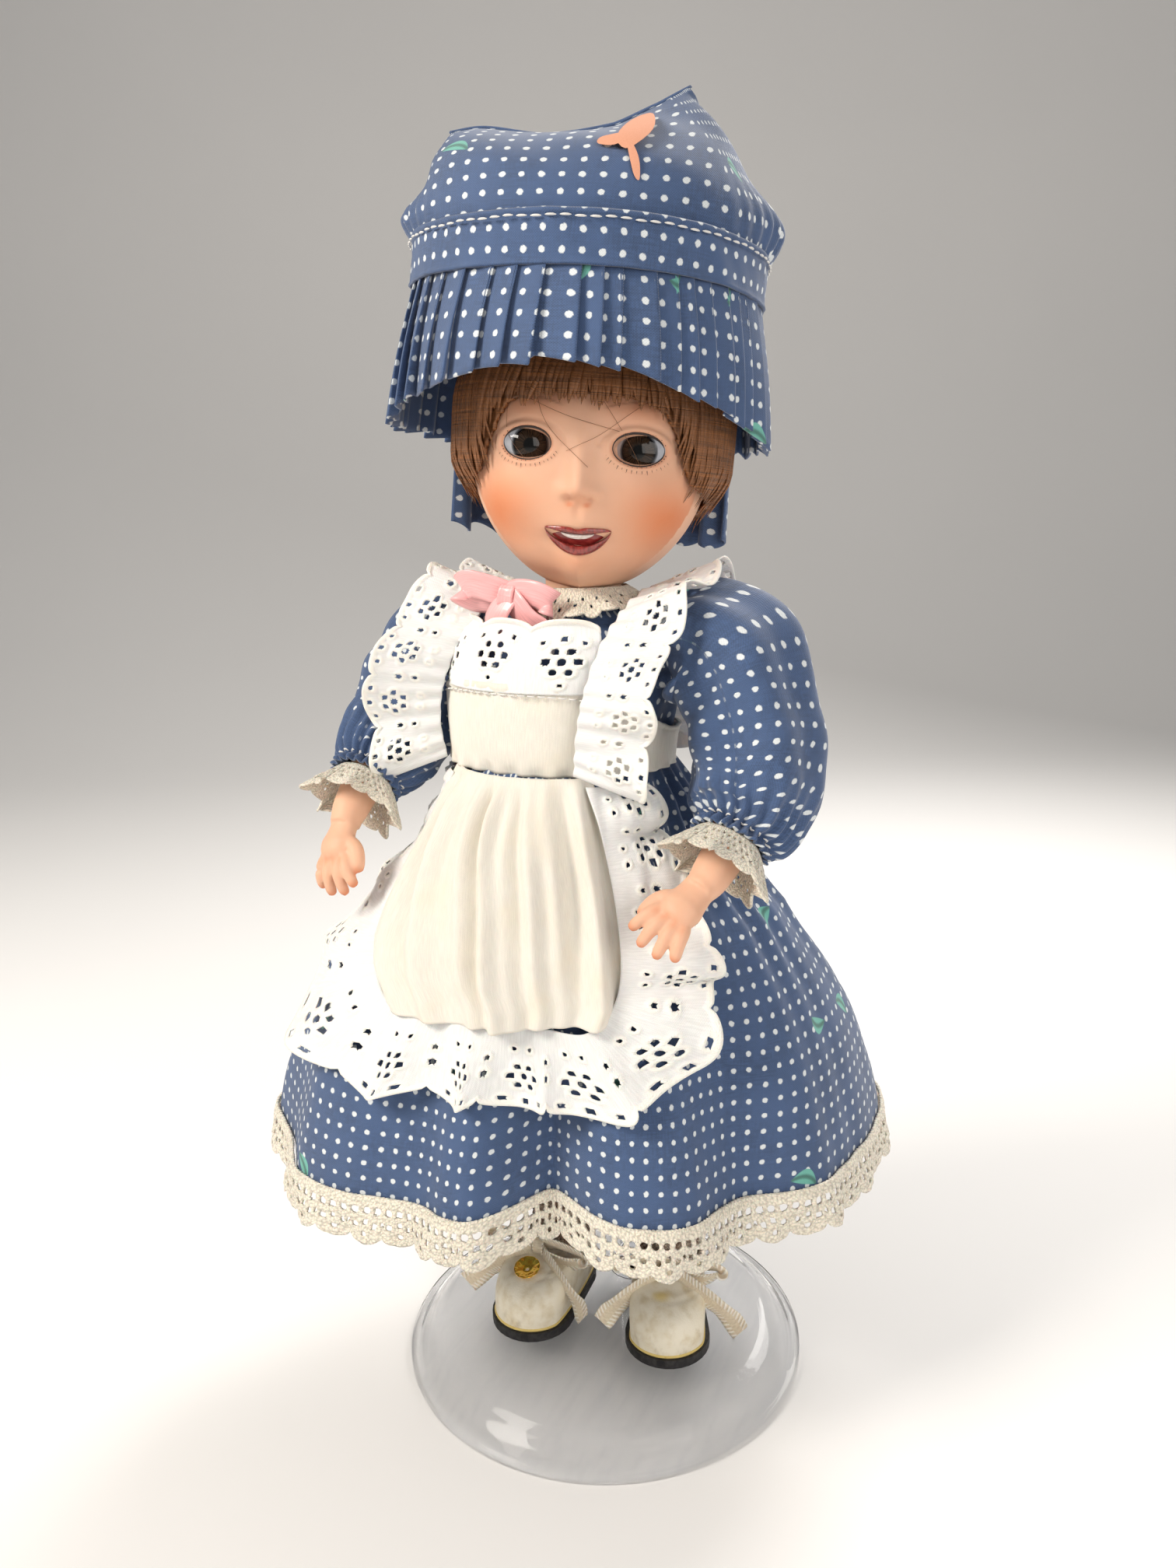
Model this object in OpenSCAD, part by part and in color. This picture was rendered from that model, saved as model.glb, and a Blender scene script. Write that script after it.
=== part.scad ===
// Jointed porcelain doll in a dotted dress, pinafore apron and pleated bonnet,
// standing in a clear telescopic waist stand.
// Millimetres. Origin: centre of the stand's foot rim. +Z up, the doll faces -Y,
// so its left hand side is +X.

/* [Stand] */
// Radius of the clear base
base_r = 44.5; // [38:0.5:60]
// Height of the raised floor of the base
base_h = 7; // [6:0.5:10]
// Depth of the recess under the base
base_recess = 3.4; // [2:0.1:3.8]
// Radius of the fixed lower post
post_r = 3; // [2.8:0.1:4]
// Radius of the sliding upper rod
rod_r = 2; // [1.5:0.1:2.2]
// Radial play of the rod in the post
rod_play = 0.06; // [0.03:0.01:0.1]
// Length of the fixed post above the raised floor
post_len = 78; // [60:1:90]
// Distance of the post behind the middle of the base
post_y = 16; // [15.5:0.25:17]
// Thickness of the waist clip's band
clip_wall = 2; // [1.6:0.1:2.6]
// Height of the waist clip's band
clip_h = 6; // [5:0.5:8]

/* [Porcelain] */
// Height of the hip axis above the raised floor
leg_len = 98; // [94:1:104]
// Distance from the hip axis to the shoulder axis
torso_len = 52; // [50:0.5:56]
// Radius of the torso at the waist
waist_r = 12.6; // [11:0.2:13.4]
// Radius of the chest
chest_r = 15; // [14.6:0.1:15.6]
// Radius of the hips
hip_r = 15.6; // [15.2:0.1:16.4]
// Wall of the hollow castings
cast_wall = 2.8; // [2:0.1:3.2]
// Width of the head at the cheeks
head_w = 45; // [43:0.5:48]
// Height of the head from chin to crown opening
head_h = 50; // [47:0.5:54]
// Turn of the head towards the doll's left at rest
head_turn = 22; // [0:1:30]
// Radius of an eyeball
eye_r = 5.6; // [5:0.1:6]
// Radius of the upper arm at the shoulder
arm_r = 5.6; // [5:0.1:6.2]
// Length from shoulder to elbow
upper_arm = 27; // [24:0.5:30]
// Length from elbow to wrist
forearm = 19; // [17:0.5:22]
// Forward bend moulded into the elbow
elbow_bend = 36; // [20:1:50]
// Forward swing of the left arm at rest
swing_left = 20; // [10:1:35]
// Forward swing of the right arm at rest
swing_right = 28; // [15:1:40]
// Outward splay of the left arm
splay_left = 10; // [4:1:15]
// Outward splay of the right arm
splay_right = 12; // [4:1:15]

/* [Clothes] */
// Half width of the skirt at the hem
hem_rx = 65; // [58:1:72]
// Half depth of the skirt at the hem
hem_ry = 43; // [40:1:52]
// Turn of the hem's long side towards the doll's left back
hem_turn = 26; // [0:1:30]
// How far the hem hangs towards the doll's right
hem_aside = 5; // [0:0.5:6]
// Height of the bottom of the hem lace above the raised floor
hem_z = 42; // [38:1:52]
// Width of the hem lace
lace_w = 8.5; // [6:0.5:11]
// Thickness given to one layer of cloth
cloth = 1; // [0.8:0.1:1.2]
// Gap between two layers of cloth
gap = 0.35; // [0.25:0.05:0.5]
// Radius of the hat at the band
hat_r = 34.5; // [33.5:0.5:37]
// Width of the hat band
band_w = 7.5; // [6:0.5:9]
// Drop of the pleated brim below the band at the sides
brim_drop = 25; // [20:0.5:27]
// Height of the hat's crown above the band
crown_h = 24; // [20:0.5:30]
// Radius of a puffed sleeve
sleeve_r = 13.6; // [12.6:0.1:14]
// Width of the shoe ribbons
ribbon_w = 3.2; // [2.4:0.1:4]

/* [Shoes] */
// Length of a sole
sole_len = 32; // [30:0.5:34]
// Width of a sole at the ball of the foot
sole_w = 18.5; // [17:0.5:20]
// Thickness of a sole
sole_t = 2; // [1.5:0.1:2.5]
// Clear height between the soles and the base
sole_gap = 1; // [1:0.1:2]
// Radius of the sequin on the right shoe
sequin_r = 3; // [2:0.25:3.5]

/* [Hidden] */
$fn = 48;

// --- heights and axes that the pieces share -------------------------------
floor_z = base_h;                       // top of the raised floor
sole_z = floor_z + sole_gap;            // underside of the soles
hip_z = floor_z + leg_len;              // hip axis
shoulder_z = hip_z + torso_len;         // shoulder axis
waist_z = hip_z + 0.41 * torso_len;     // narrowest place of the torso
seam_z = hip_z + 0.63 * torso_len;      // seam between bodice and skirt
neck_z = shoulder_z + 10;               // top of the torso's neck
chin_z = neck_z + 5;                    // lowest point of the face
crown_z = chin_z + head_h;              // cut-off top of the porcelain head
body_y = -3;                            // axis of torso, neck and head
front = -90;                            // direction of the doll's front, in degrees
play = 0.3;                             // between pieces that swing past each other
rod_foot = 60;                          // rod left inside the post at rest
hip_x = 8.7;                            // hip ball, from the middle
hip_y = 0.5;                            // hip ball, fore and aft
ball_r = 7.2;                           // hip ball
boss_r = 5.4;                           // shoulder boss along X
boss_x = 22.5;                          // end face of a shoulder boss
shoulder_x = boss_x + 6;                // centre of the arm's shoulder ball
root_r = 6.8;                           // arm root that faces the boss
wire_r = 0.8;                           // steel hooks
cord_r = 1.2;                           // elastic cords
head_r = head_w / 2;
eye_x = 0.4 * head_r;
eye_y = -(head_r - 0.62 * eye_r);
eye_z = chin_z + 0.49 * head_h;
eye_play = 0.1;
neck_r = 7.4;
neck_hole_r = 5.5;
plug_r = neck_hole_r - 0.4;             // neck plug that the head turns on
plug_h = 3;
crown_r = 0.55 * head_r;                // opening in the crown
pate_t = 1.5;
wig_t = 3;
fringe_z = chin_z + 0.72 * head_h;      // lower edge of the fringe
bob_z = chin_z + 4;                     // lower edge of the bob
bob_half = 128;                         // half angle that the bob covers at the back

// Outer profiles as [height, radius], read with lookup().
torso_shape = [[hip_z - 1, 13], [hip_z + 5, hip_r], [hip_z + 11, hip_r], [waist_z, waist_r],
  [shoulder_z - 13, chest_r], [shoulder_z - 3, chest_r], [shoulder_z + 4, 11], [shoulder_z + 7, neck_r],
  [neck_z, neck_r - 0.9]];
head_shape = [[0, 0.36], [0.04, 0.55], [0.12, 0.76], [0.24, 0.94], [0.36, 1], [0.66, 1], [0.8, 0.94],
  [0.92, 0.78], [1, crown_r / head_r]];
head_levels = [for (s = head_shape) [chin_z + s[0] * head_h, s[1] * head_r]];

// Bodice, worn over the torso.
bodice_in = gap;
bodice_out = gap + cloth;
chest_out = chest_r + bodice_out;
bodice_top = shoulder_z + 3;
waistband_z = seam_z + gap;
waistband_top = waistband_z + 13;
waistband_r = chest_out + gap + cloth;
bib_half = 42;                          // half angle covered by the bib, in degrees
bib_r = waistband_r;
bib_top_z = shoulder_z + 11;
apron_half = 63;                        // half angle covered by the apron skirt
apron_share = 0.62;                     // share of the skirt that the apron skirt covers
flounce_share = 0.84;                   // share that its flounce reaches
strap_angle = 51;                       // straps lie beside the bib
strap_w = 3;

// The skirt's outer surface, from the seam to the lace:
// [share of the drop, share of the spread across, share of the spread fore and aft].
skirt_top = seam_z - gap / 2;
skirt_foot = floor_z + hem_z + lace_w;
skirt_top_rx = waistband_r;
skirt_top_ry = waistband_r;
skirt_shape = [[0, 0, 0], [0.05, 0.12, 0.2], [0.24, 0.15, 0.22], [0.37, 0.3, 0.36],
  [0.5, 0.5, 0.53], [0.63, 0.64, 0.66], [0.8, 0.82, 0.84], [1, 1, 1]];
skirt_rings = [for (s = skirt_shape)
  [skirt_top - s[0] * (skirt_top - skirt_foot),
   skirt_top_rx + s[1] * (hem_rx - skirt_top_rx),
   skirt_top_ry + s[2] * (hem_ry - skirt_top_ry), 0, -s[1] * hem_aside]];

// Hat: band at the top of the head, brim below it, crown above it.
hat_ry = hat_r - 1.5;
band_z = crown_z + 1.8;
band_top = band_z + band_w;
brim_flare = 2.6;
brim_foot = band_z - brim_drop;
brim_lift = 8;                          // the brim is cut shorter over the face
curtain_foot = shoulder_z + 28;
curtain_half = 52;
wig_top = crown_z + pate_t + gap + 1.4;
seat_z = wig_top + gap;                 // underside of the hat's crown
ridge_x = 0.64 * hat_r;                 // pointed ends of the crown's seam
ridge_tilt = 2;
ridge_aside = -7;                       // the crown stands upright on the leaning head

// --- helpers ----------------------------------------------------------------
// A thick sheet over rings [z, half width, half depth, lift], given from the top down.
// It runs from angle a0 to a1 and is thick towards the axis; lift raises a ring at the front,
// and a fifth value moves a ring sideways.
function ring_point(r, a, off) = [(r[1] - off) * cos(a) + (len(r) > 4 ? r[4] : 0),
  (r[2] - off) * sin(a), r[0] + r[3] * pow((1 - sin(a)) / 2, 2)];
function strip(a, b, c, d) = [[a, b, c], [a, c, d]];
module sheet(rings, a0 = 0, a1 = 360, thick = cloth, n = 48) {
  closed = a1 - a0 >= 360;
  cols = closed ? n : max(6, round(n * (a1 - a0) / 360)) + 1;
  rows = len(rings);
  step = (a1 - a0) / (closed ? cols : cols - 1);
  points = [for (off = [0, thick]) for (r = rings) for (i = [0:cols - 1])
    ring_point(r, a0 + i * step, off)];
  function at(side, j, i) = side * rows * cols + j * cols + (closed ? i % cols : i);
  last = closed ? cols - 1 : cols - 2;
  outer = [for (j = [0:rows - 2]) for (i = [0:last])
    each strip(at(0, j, i), at(0, j, i + 1), at(0, j + 1, i + 1), at(0, j + 1, i))];
  inner = [for (j = [0:rows - 2]) for (i = [0:last])
    each strip(at(1, j, i), at(1, j + 1, i), at(1, j + 1, i + 1), at(1, j, i + 1))];
  top = [for (i = [0:last]) each strip(at(0, 0, i), at(1, 0, i), at(1, 0, i + 1), at(0, 0, i + 1))];
  foot = [for (i = [0:last])
    each strip(at(0, rows - 1, i), at(0, rows - 1, i + 1), at(1, rows - 1, i + 1), at(1, rows - 1, i))];
  ends = closed ? [] : [for (j = [0:rows - 2])
    let (k = cols - 1)
    each concat(strip(at(0, j, 0), at(0, j + 1, 0), at(1, j + 1, 0), at(1, j, 0)),
                strip(at(0, j, k), at(1, j, k), at(1, j + 1, k), at(0, j + 1, k)))];
  polyhedron(points, concat(outer, inner, top, foot, ends));
}
// The rings of the skirt between two heights, moved out by grow.
function skirt_at(z, grow) =
  [z, lookup(z, [for (r = skirt_rings) [r[0], r[1]]]) + grow,
   lookup(z, [for (r = skirt_rings) [r[0], r[2]]]) + grow, 0,
   lookup(z, [for (r = skirt_rings) [r[0], r[4]]])];
function skirt_cut(z_top, z_foot, grow) = concat(
  [skirt_at(z_top, grow)],
  [for (r = skirt_rings) if (r[0] < z_top - 0.5 && r[0] > z_foot + 0.5)
    [r[0], r[1] + grow, r[2] + grow, 0, r[4]]],
  [skirt_at(z_foot, grow)]);
function skirt_level(share) = skirt_top - share * (skirt_top - skirt_foot);
// Points of a profile between two heights, as [radius, height], moved out by grow.
function profile(shape, z0, z1, grow) = concat(
  [[lookup(z0, shape) + grow, z0]],
  [for (s = shape) if (s[0] > z0 + 0.01 && s[0] < z1 - 0.01) [s[1] + grow, s[0]]],
  [[lookup(z1, shape) + grow, z1]]);
function backwards(list) = [for (i = [len(list) - 1:-1:0]) list[i]];
// A skin of revolution over a profile, from inner to outer distance.
module skin(shape, z0, z1, inner, outer, angle = 360) {
  rotate_extrude(angle = angle)
    polygon(concat(profile(shape, z0, z1, outer), backwards(profile(shape, z0, z1, inner))));
}
// A flat band swept through stations [one edge, other edge, thickness vector].
module band(stations) {
  n = len(stations);
  points = [for (s = stations) each [s[0], s[1], s[1] + s[2], s[0] + s[2]]];
  walls = [for (j = [0:n - 2]) for (k = [0:3])
    each strip(4 * j + k, 4 * j + (k + 1) % 4, 4 * j + 4 + (k + 1) % 4, 4 * j + 4 + k)];
  ends = concat(strip(3, 2, 1, 0), strip(4 * n - 4, 4 * n - 3, 4 * n - 2, 4 * n - 1));
  polyhedron(points, concat(walls, ends));
}
// A round bar from p to q, r1 at p and r2 at q.
module bar(p, q, r1, r2) {
  d = q - p;
  length = norm(d);
  translate(p) rotate([0, acos(d[2] / length), atan2(d[1], d[0])]) cylinder(h = length, r1 = r1, r2 = r2);
}
module along_x() { rotate([0, 90, 0]) children(); }
module around_body() { translate([0, body_y, 0]) children(); }
module skirt_frame() { around_body() rotate([0, 0, hem_turn]) children(); }
skirt_front = front - hem_turn;
module head_frame() { around_body() rotate([0, 0, head_turn]) children(); }

// --- stand --------------------------------------------------------------------
base_slope = 6.5;
boss_h = 4;
post_boss_r = post_r + 1.4;
fit = 0.05;
collar_gap = 0.1;
module stand_base() {
  color([0.92, 0.94, 0.95, 0.5]) difference() {
    union() {
      rotate_extrude() polygon([[0, 0], [base_r, 0], [base_r, 1.6], [base_r - 1, 2.4],
        [base_r - base_slope + 1, base_h - 0.6], [base_r - base_slope, base_h], [0, base_h]]);
      translate([0, post_y, base_h / 2]) cylinder(h = base_h / 2 + boss_h, r = post_boss_r);
    }
    translate([0, 0, -1]) cylinder(h = 1 + base_recess, r = base_r - base_slope - 1);
    translate([0, post_y, base_h]) cylinder(h = boss_h + 1, r = post_r + fit);
  }
}
module stand_post() {
  color([0.92, 0.94, 0.95, 0.5]) translate([0, post_y, base_h]) difference() {
    cylinder(h = post_len, r = post_r);
    translate([0, 0, 2]) cylinder(h = post_len, r = rod_r + rod_play);
  }
}
clip_z = hip_z + 13;
clip_in = lookup(clip_z, torso_shape) + gap;
clip_out = clip_in + clip_wall;
module post_rod() {
  post_top = floor_z + post_len;
  color([0.9, 0.92, 0.93]) translate([0, post_y, 0]) {
    translate([0, 0, post_top - rod_foot]) cylinder(h = clip_z - post_top + rod_foot, r = rod_r);
    translate([0, 0, post_top + collar_gap]) cylinder(h = 3, r = post_r);
  }
}
module waist_clip() {
  mouth = 60;
  color([0.9, 0.92, 0.93]) {
    around_body() rotate([0, 0, 90 - (180 - mouth / 2)]) rotate_extrude(angle = 360 - mouth)
      translate([clip_in, clip_z]) square([clip_wall, clip_h]);
    translate([-rod_r, body_y + clip_out - 0.3, clip_z])
      cube([2 * rod_r, post_y - body_y - clip_out + 0.3 + rod_r, clip_h]);
  }
}

// --- torso and its strings ------------------------------------------------------
module torso() {
  color([0.94, 0.8, 0.7]) difference() {
    union() {
      around_body() rotate_extrude()
        polygon(concat([[0, hip_z - 1]], profile(torso_shape, hip_z - 1, neck_z, 0), [[0, neck_z]]));
      around_body() translate([-boss_x, 0, shoulder_z]) along_x() cylinder(h = 2 * boss_x, r = boss_r);
      around_body() translate([0, 0, neck_z - 1]) cylinder(h = 1 + plug_h, r = plug_r);
    }
    around_body() rotate_extrude() polygon(concat([[0, hip_z + 10]],
      profile(torso_shape, hip_z + 10, shoulder_z - 3, -cast_wall),
      [[3, shoulder_z + 2], [0, shoulder_z + 2]]));
    around_body() cylinder(h = neck_z + plug_h + 1, r = wire_r + 1.4);
    around_body() translate([-boss_x - 1, 0, shoulder_z]) along_x()
      cylinder(h = 2 * boss_x + 2, r = wire_r + 1.8);
    for (side = [-1, 1]) {
      translate([side * hip_x, hip_y, hip_z]) sphere(r = ball_r + play);
      translate([side * hip_x, body_y, hip_z]) cylinder(h = 14, r = wire_r + 1.2);
    }
  }
}
module arm_elastic() {
  color([0.95, 0.95, 0.92]) around_body()
    translate([-boss_x + 8, 0, shoulder_z]) along_x() cylinder(h = 2 * boss_x - 16, r = cord_r);
}
module leg_elastic() {
  color([0.95, 0.95, 0.92]) translate([-hip_x - 1, body_y, hip_z + 17]) along_x()
    cylinder(h = 2 * hip_x + 2, r = cord_r);
}

// --- underclothes and dress -------------------------------------------------------
module pantalettes_seat() {
  color([0.97, 0.97, 0.95]) difference() {
    around_body() skin(torso_shape, hip_z + 2, clip_z - gap, gap, gap + cloth);
    for (side = [-1, 1]) translate([side * hip_x, hip_y, hip_z]) sphere(r = ball_r + play);
  }
}
module dress_bodice() {
  color([0.25, 0.3, 0.42]) difference() {
    around_body() skin(torso_shape, seam_z + gap / 2, bodice_top, bodice_in, bodice_out);
    around_body() translate([-boss_x - 4, 0, shoulder_z]) along_x()
      cylinder(h = 2 * boss_x + 8, r = boss_r + gap);
  }
}
module dress_collar() {
  color([0.95, 0.93, 0.86]) around_body() translate([0, 0, shoulder_z + 8.6])
    difference() {
      cylinder(h = 1.2, r1 = 13.4, r2 = 12.6);
      translate([0, 0, -1]) cylinder(h = 4, r = neck_r + gap);
    }
}
bow_y = body_y - bib_r - 3;
module collar_bow() {
  color([0.95, 0.72, 0.72]) translate([0, bow_y, bib_top_z + 1]) {
    rotate([90, 0, 0]) cylinder(h = 3, r = 1.6, center = true);
    for (side = [-1, 1]) mirror([side < 0 ? 1 : 0, 0, 0]) {
      translate([1.2, -1, -2]) rotate([0, -8, 0]) cube([8, 2, 4]);
      translate([0.4, -0.5, -1]) rotate([0, 62, 0]) cube([9, 1, ribbon_w]);
    }
  }
}
module dress_snaps() {
  color([0.8, 0.8, 0.8]) around_body() for (z = [waistband_top + 2.2, bodice_top - 2.2])
    translate([0, lookup(z, torso_shape) + bodice_out + 0.9, z]) rotate([-90, 0, 0]) cylinder(h = 1, r = 1.5);
}
module dress_skirt() {
  color([0.25, 0.3, 0.42]) skirt_frame() sheet(skirt_rings);
}
module hem_lace() {
  color([0.94, 0.9, 0.8]) skirt_frame() sheet([[skirt_foot - gap, hem_rx, hem_ry, 0, -hem_aside],
    [floor_z + hem_z, hem_rx + 1.5, hem_ry + 1.2, 0, -hem_aside]]);
}

// --- apron ----------------------------------------------------------------------
module apron_waistband() {
  color([0.97, 0.96, 0.93]) around_body() sheet([
    [waistband_top, waistband_r, waistband_r, 0], [waistband_z, waistband_r, waistband_r, 0]]);
}
module apron_bib() {
  color([0.97, 0.96, 0.93]) around_body() sheet([
    [bib_top_z, bib_r, bib_r, 0], [waistband_top + gap, bib_r, bib_r, 0]],
    front - bib_half, front + bib_half);
}
module apron_skirt() {
  color([0.97, 0.96, 0.93]) skirt_frame()
    sheet(skirt_cut(skirt_level(0.02), skirt_level(apron_share), gap + cloth),
          skirt_front - apron_half, skirt_front + apron_half);
}
module apron_flounce() {
  color([0.98, 0.98, 0.97]) skirt_frame()
    sheet(skirt_cut(skirt_level(apron_share + 0.005), skirt_level(flounce_share), gap + cloth),
          skirt_front - apron_half, skirt_front + apron_half);
}
module apron_tie() {
  tie_y = body_y + waistband_r + gap;
  color([0.97, 0.96, 0.93]) translate([0, tie_y, waistband_z + 6]) {
    translate([-2.5, 0, -2.5]) cube([5, 3, 5]);
    for (side = [-1, 1]) mirror([side < 0 ? 1 : 0, 0, 0]) {
      translate([1.5, 0.4, -3.5]) rotate([0, -14, -6]) cube([19, 2.4, 8]);
      translate([0.5, 3, -1]) rotate([38, 0, 0]) rotate([0, 72, 0]) cube([34, 1, 6]);
    }
  }
}
// Path of the left strap from the front of the waistband over the shoulder to its back.
strap_x = bib_r * sin(strap_angle);
strap_out = bib_r * cos(strap_angle);
strap_path = [for (end = [[-1, waistband_top], [-1, shoulder_z]]) [strap_x, end[0] * strap_out, end[1]]];
strap_half = concat(strap_path, [[strap_x + 0.4, -0.8 * strap_out, shoulder_z + 9]],
  [[strap_x + 0.8, 0, shoulder_z + 11.5]]);
function flip_y(p) = [p[0], -p[1], p[2]];
strap_line = concat(strap_half, [for (i = [len(strap_half) - 2:-1:0]) flip_y(strap_half[i])]);
strap_side = [strap_w / 2, 0, 0];
strap_t = 0.9;
// Direction away from the body at each station, as an angle from the front to the back.
strap_turn = [0, 0, 50, 90, 130, 180, 180];
function strap_away(i) = strap_t * [0, -cos(strap_turn[i]), sin(strap_turn[i])];
module strap() {
  around_body() band([for (i = [0:len(strap_line) - 1])
    [strap_line[i] - strap_side, strap_line[i] + strap_side, strap_away(i)]]);
}
// How far the frill's free edge stands out and up from the strap at each station.
frill_reach = [[2.5, 3, 0], [6, 3.5, 3], [21, 4, 12], [27, 0, 13.5], [21, 4, 12], [6, 3.5, 3], [2.5, 3, 0]];
module strap_frill() {
  around_body() band([for (i = [0:len(strap_line) - 1])
    let (edge = strap_line[i] + [strap_w / 2 + gap, 0, 0],
         away = i < 3 ? -1 : 1)
    [edge, edge + [frill_reach[i][0], away * frill_reach[i][1], frill_reach[i][2]], strap_away(i)]]);
}
module mirror_right() { mirror([1, 0, 0]) children(); }
module apron_strap_left() { color([0.97, 0.96, 0.93]) strap(); }
module apron_strap_right() { color([0.97, 0.96, 0.93]) mirror_right() strap(); }
module strap_frill_left() { color([0.98, 0.98, 0.97]) strap_frill(); }
module strap_frill_right() { color([0.98, 0.98, 0.97]) mirror_right() strap_frill(); }

// --- head -----------------------------------------------------------------------
hollow_z = chin_z + 7;
module head() {
  color([0.95, 0.77, 0.64]) head_frame() difference() {
    union() {
      rotate_extrude()
        polygon(concat([[0, chin_z]], profile(head_levels, chin_z, crown_z, 0), [[0, crown_z]]));
      translate([0, 0, neck_z + play]) cylinder(h = hollow_z - neck_z - play, r = neck_r - 0.9);
    }
    rotate_extrude() polygon(concat([[0, hollow_z]], profile(head_levels, hollow_z, crown_z, -cast_wall),
      [[crown_r - cast_wall, crown_z + 1], [0, crown_z + 1]]));
    translate([0, 0, neck_z - 1]) cylinder(h = hollow_z - neck_z + 2, r = neck_hole_r);
    for (side = [-1, 1]) translate([side * eye_x, eye_y + eye_r, eye_z]) rotate([90, 0, 0])
      cylinder(h = 3 * eye_r, r = eye_r + eye_play);
  }
}
module eye(side) {
  color([0.2, 0.15, 0.12]) head_frame() translate([side * eye_x, eye_y, eye_z]) sphere(r = eye_r);
}
module eye_left() { eye(1); }
module eye_right() { eye(-1); }
module eye_plaster() {
  color([0.9, 0.9, 0.88]) head_frame() difference() {
    translate([-eye_x - 2, eye_y + eye_r - 1, eye_z - 2.5]) cube([2 * eye_x + 4, 4, 5]);
    for (side = [-1, 1]) translate([side * eye_x, eye_y, eye_z]) sphere(r = eye_r + eye_play);
  }
}
module pate() {
  color([0.85, 0.8, 0.7]) head_frame() translate([0, 0, crown_z + fit])
    cylinder(h = pate_t - fit, r = crown_r);
}
module head_hook() {
  hook_foot = shoulder_z + 3;
  color([0.7, 0.7, 0.72]) head_frame() {
    translate([0, 0, hook_foot]) cylinder(h = hollow_z + 0.2 - hook_foot, r = wire_r);
    translate([-neck_hole_r - 1.5, 0, hollow_z + wire_r]) along_x()
      cylinder(h = 2 * neck_hole_r + 3, r = wire_r);
  }
}
module wig() {
  pate_top = crown_z + pate_t + gap;
  color([0.3, 0.17, 0.11]) head_frame() difference() {
    rotate_extrude() polygon(concat(profile(head_levels, bob_z, crown_z, wig_t),
      [[crown_r, wig_top], [0, wig_top], [0, pate_top], [crown_r + gap, pate_top]],
      backwards(profile(head_levels, bob_z, crown_z, gap))));
    translate([0, 0, bob_z - 1]) linear_extrude(fringe_z - bob_z + 1)
      polygon([[0, 0], 2 * head_w * [-sin(180 - bob_half), -cos(180 - bob_half)],
        [0, -3 * head_w], 2 * head_w * [sin(180 - bob_half), -cos(180 - bob_half)]]);
  }
}

// --- hat ------------------------------------------------------------------------
module hat_band() {
  color([0.25, 0.3, 0.42]) head_frame() sheet([[band_top, hat_r, hat_ry, 0], [band_z, hat_r, hat_ry, 0]]);
}
module hat_crown() {
  top = band_top + gap;
  color([0.25, 0.3, 0.42]) head_frame() {
    hull() {
      translate([0, 0, top]) cylinder(h = 4, r1 = hat_ry - 0.5, r2 = hat_ry + 1.5);
      for (side = [-1, 1]) {
        translate([-1.5 + side * 0.42 * hat_r, 0, top + 8]) cylinder(h = 3, r = 0.6 * hat_r, $fn = 32);
        translate([ridge_aside + side * ridge_x, 0, top + crown_h + side * ridge_tilt / 2])
          sphere(r = 1.5, $fn = 16);
      }
    }
    translate([0, 0, seat_z]) cylinder(h = top - seat_z + 0.5, r = hat_ry - cloth - 1);
  }
}
module hat_brim() {
  foot = band_z - gap;
  color([0.25, 0.3, 0.42]) head_frame() sheet([
    [foot, hat_r - 1, hat_ry - 1, 0],
    [foot - 0.4 * brim_drop, hat_r + 0.3 * brim_flare, hat_ry + 0.3 * brim_flare, 0.4 * brim_lift],
    [brim_foot, hat_r + brim_flare, hat_ry + brim_flare, brim_lift]]);
}
module hat_curtain() {
  color([0.25, 0.3, 0.42]) head_frame() sheet([
    [band_z - 6, hat_r - 3, hat_ry - 3, 0], [curtain_foot, hat_r - 3, hat_ry - 3, 0]],
    90 - curtain_half, 90 + curtain_half);
}

// --- arms -------------------------------------------------------------------------
// Built for the left side about the shoulder ball, hanging down and bending forward.
elbow = [0, 0, -upper_arm];
wrist = elbow + forearm * [0, -sin(elbow_bend), -cos(elbow_bend)];
palm = wrist + 6.5 * [0, -sin(elbow_bend), -cos(elbow_bend)];
fingertip = palm + 5.5 * [0, -sin(elbow_bend + 14), -cos(elbow_bend + 14)];
// The hanging part of the arm, thicker by grow.
module arm_limb(grow) {
  bar([0, 0, 0], elbow, arm_r + grow, arm_r - 1.2 + grow);
  translate(elbow) sphere(r = arm_r - 1 + grow);
  bar(elbow, wrist, arm_r - 1.2 + grow, arm_r - 2.2 + grow);
}
// The turned root that faces the boss, thicker by grow.
module arm_root(grow) {
  translate([boss_x + play - shoulder_x, 0, 0]) along_x()
    cylinder(h = shoulder_x - boss_x - play, r = root_r + grow);
  sphere(r = root_r + 0.3 + grow);
}
module arm_frame(side, swing) {
  translate([side * shoulder_x, body_y, shoulder_z]) rotate([-swing, 0, 0])
    mirror([side < 0 ? 1 : 0, 0, 0]) children();
}
module splay_out(angle) { rotate([0, -angle, 0]) children(); }
module arm_casting(side, swing, splay) {
  color([0.95, 0.77, 0.64]) arm_frame(side, swing) difference() {
    union() {
      arm_root(0);
      splay_out(splay) {
        arm_limb(0);
        bar(wrist, palm, arm_r - 2.5, 3.2);
        translate(palm) sphere(r = 3.7);
        bar(palm, fingertip, 3, 2);
        translate(fingertip) sphere(r = 2.3);
      }
    }
    translate([boss_x + play - shoulder_x - 1, 0, 0]) along_x() cylinder(h = 7.5, r = wire_r + 0.1);
    translate([boss_x + play - shoulder_x - 4, 0, 0]) along_x() cylinder(h = 4, r = root_r + 3);
  }
}
module arm_hook(side, swing) {
  color([0.7, 0.7, 0.72]) arm_frame(side, swing) translate([-shoulder_x + boss_x - 5, 0, 0])
    along_x() cylinder(h = 10 + play, r = wire_r);
}
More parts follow.
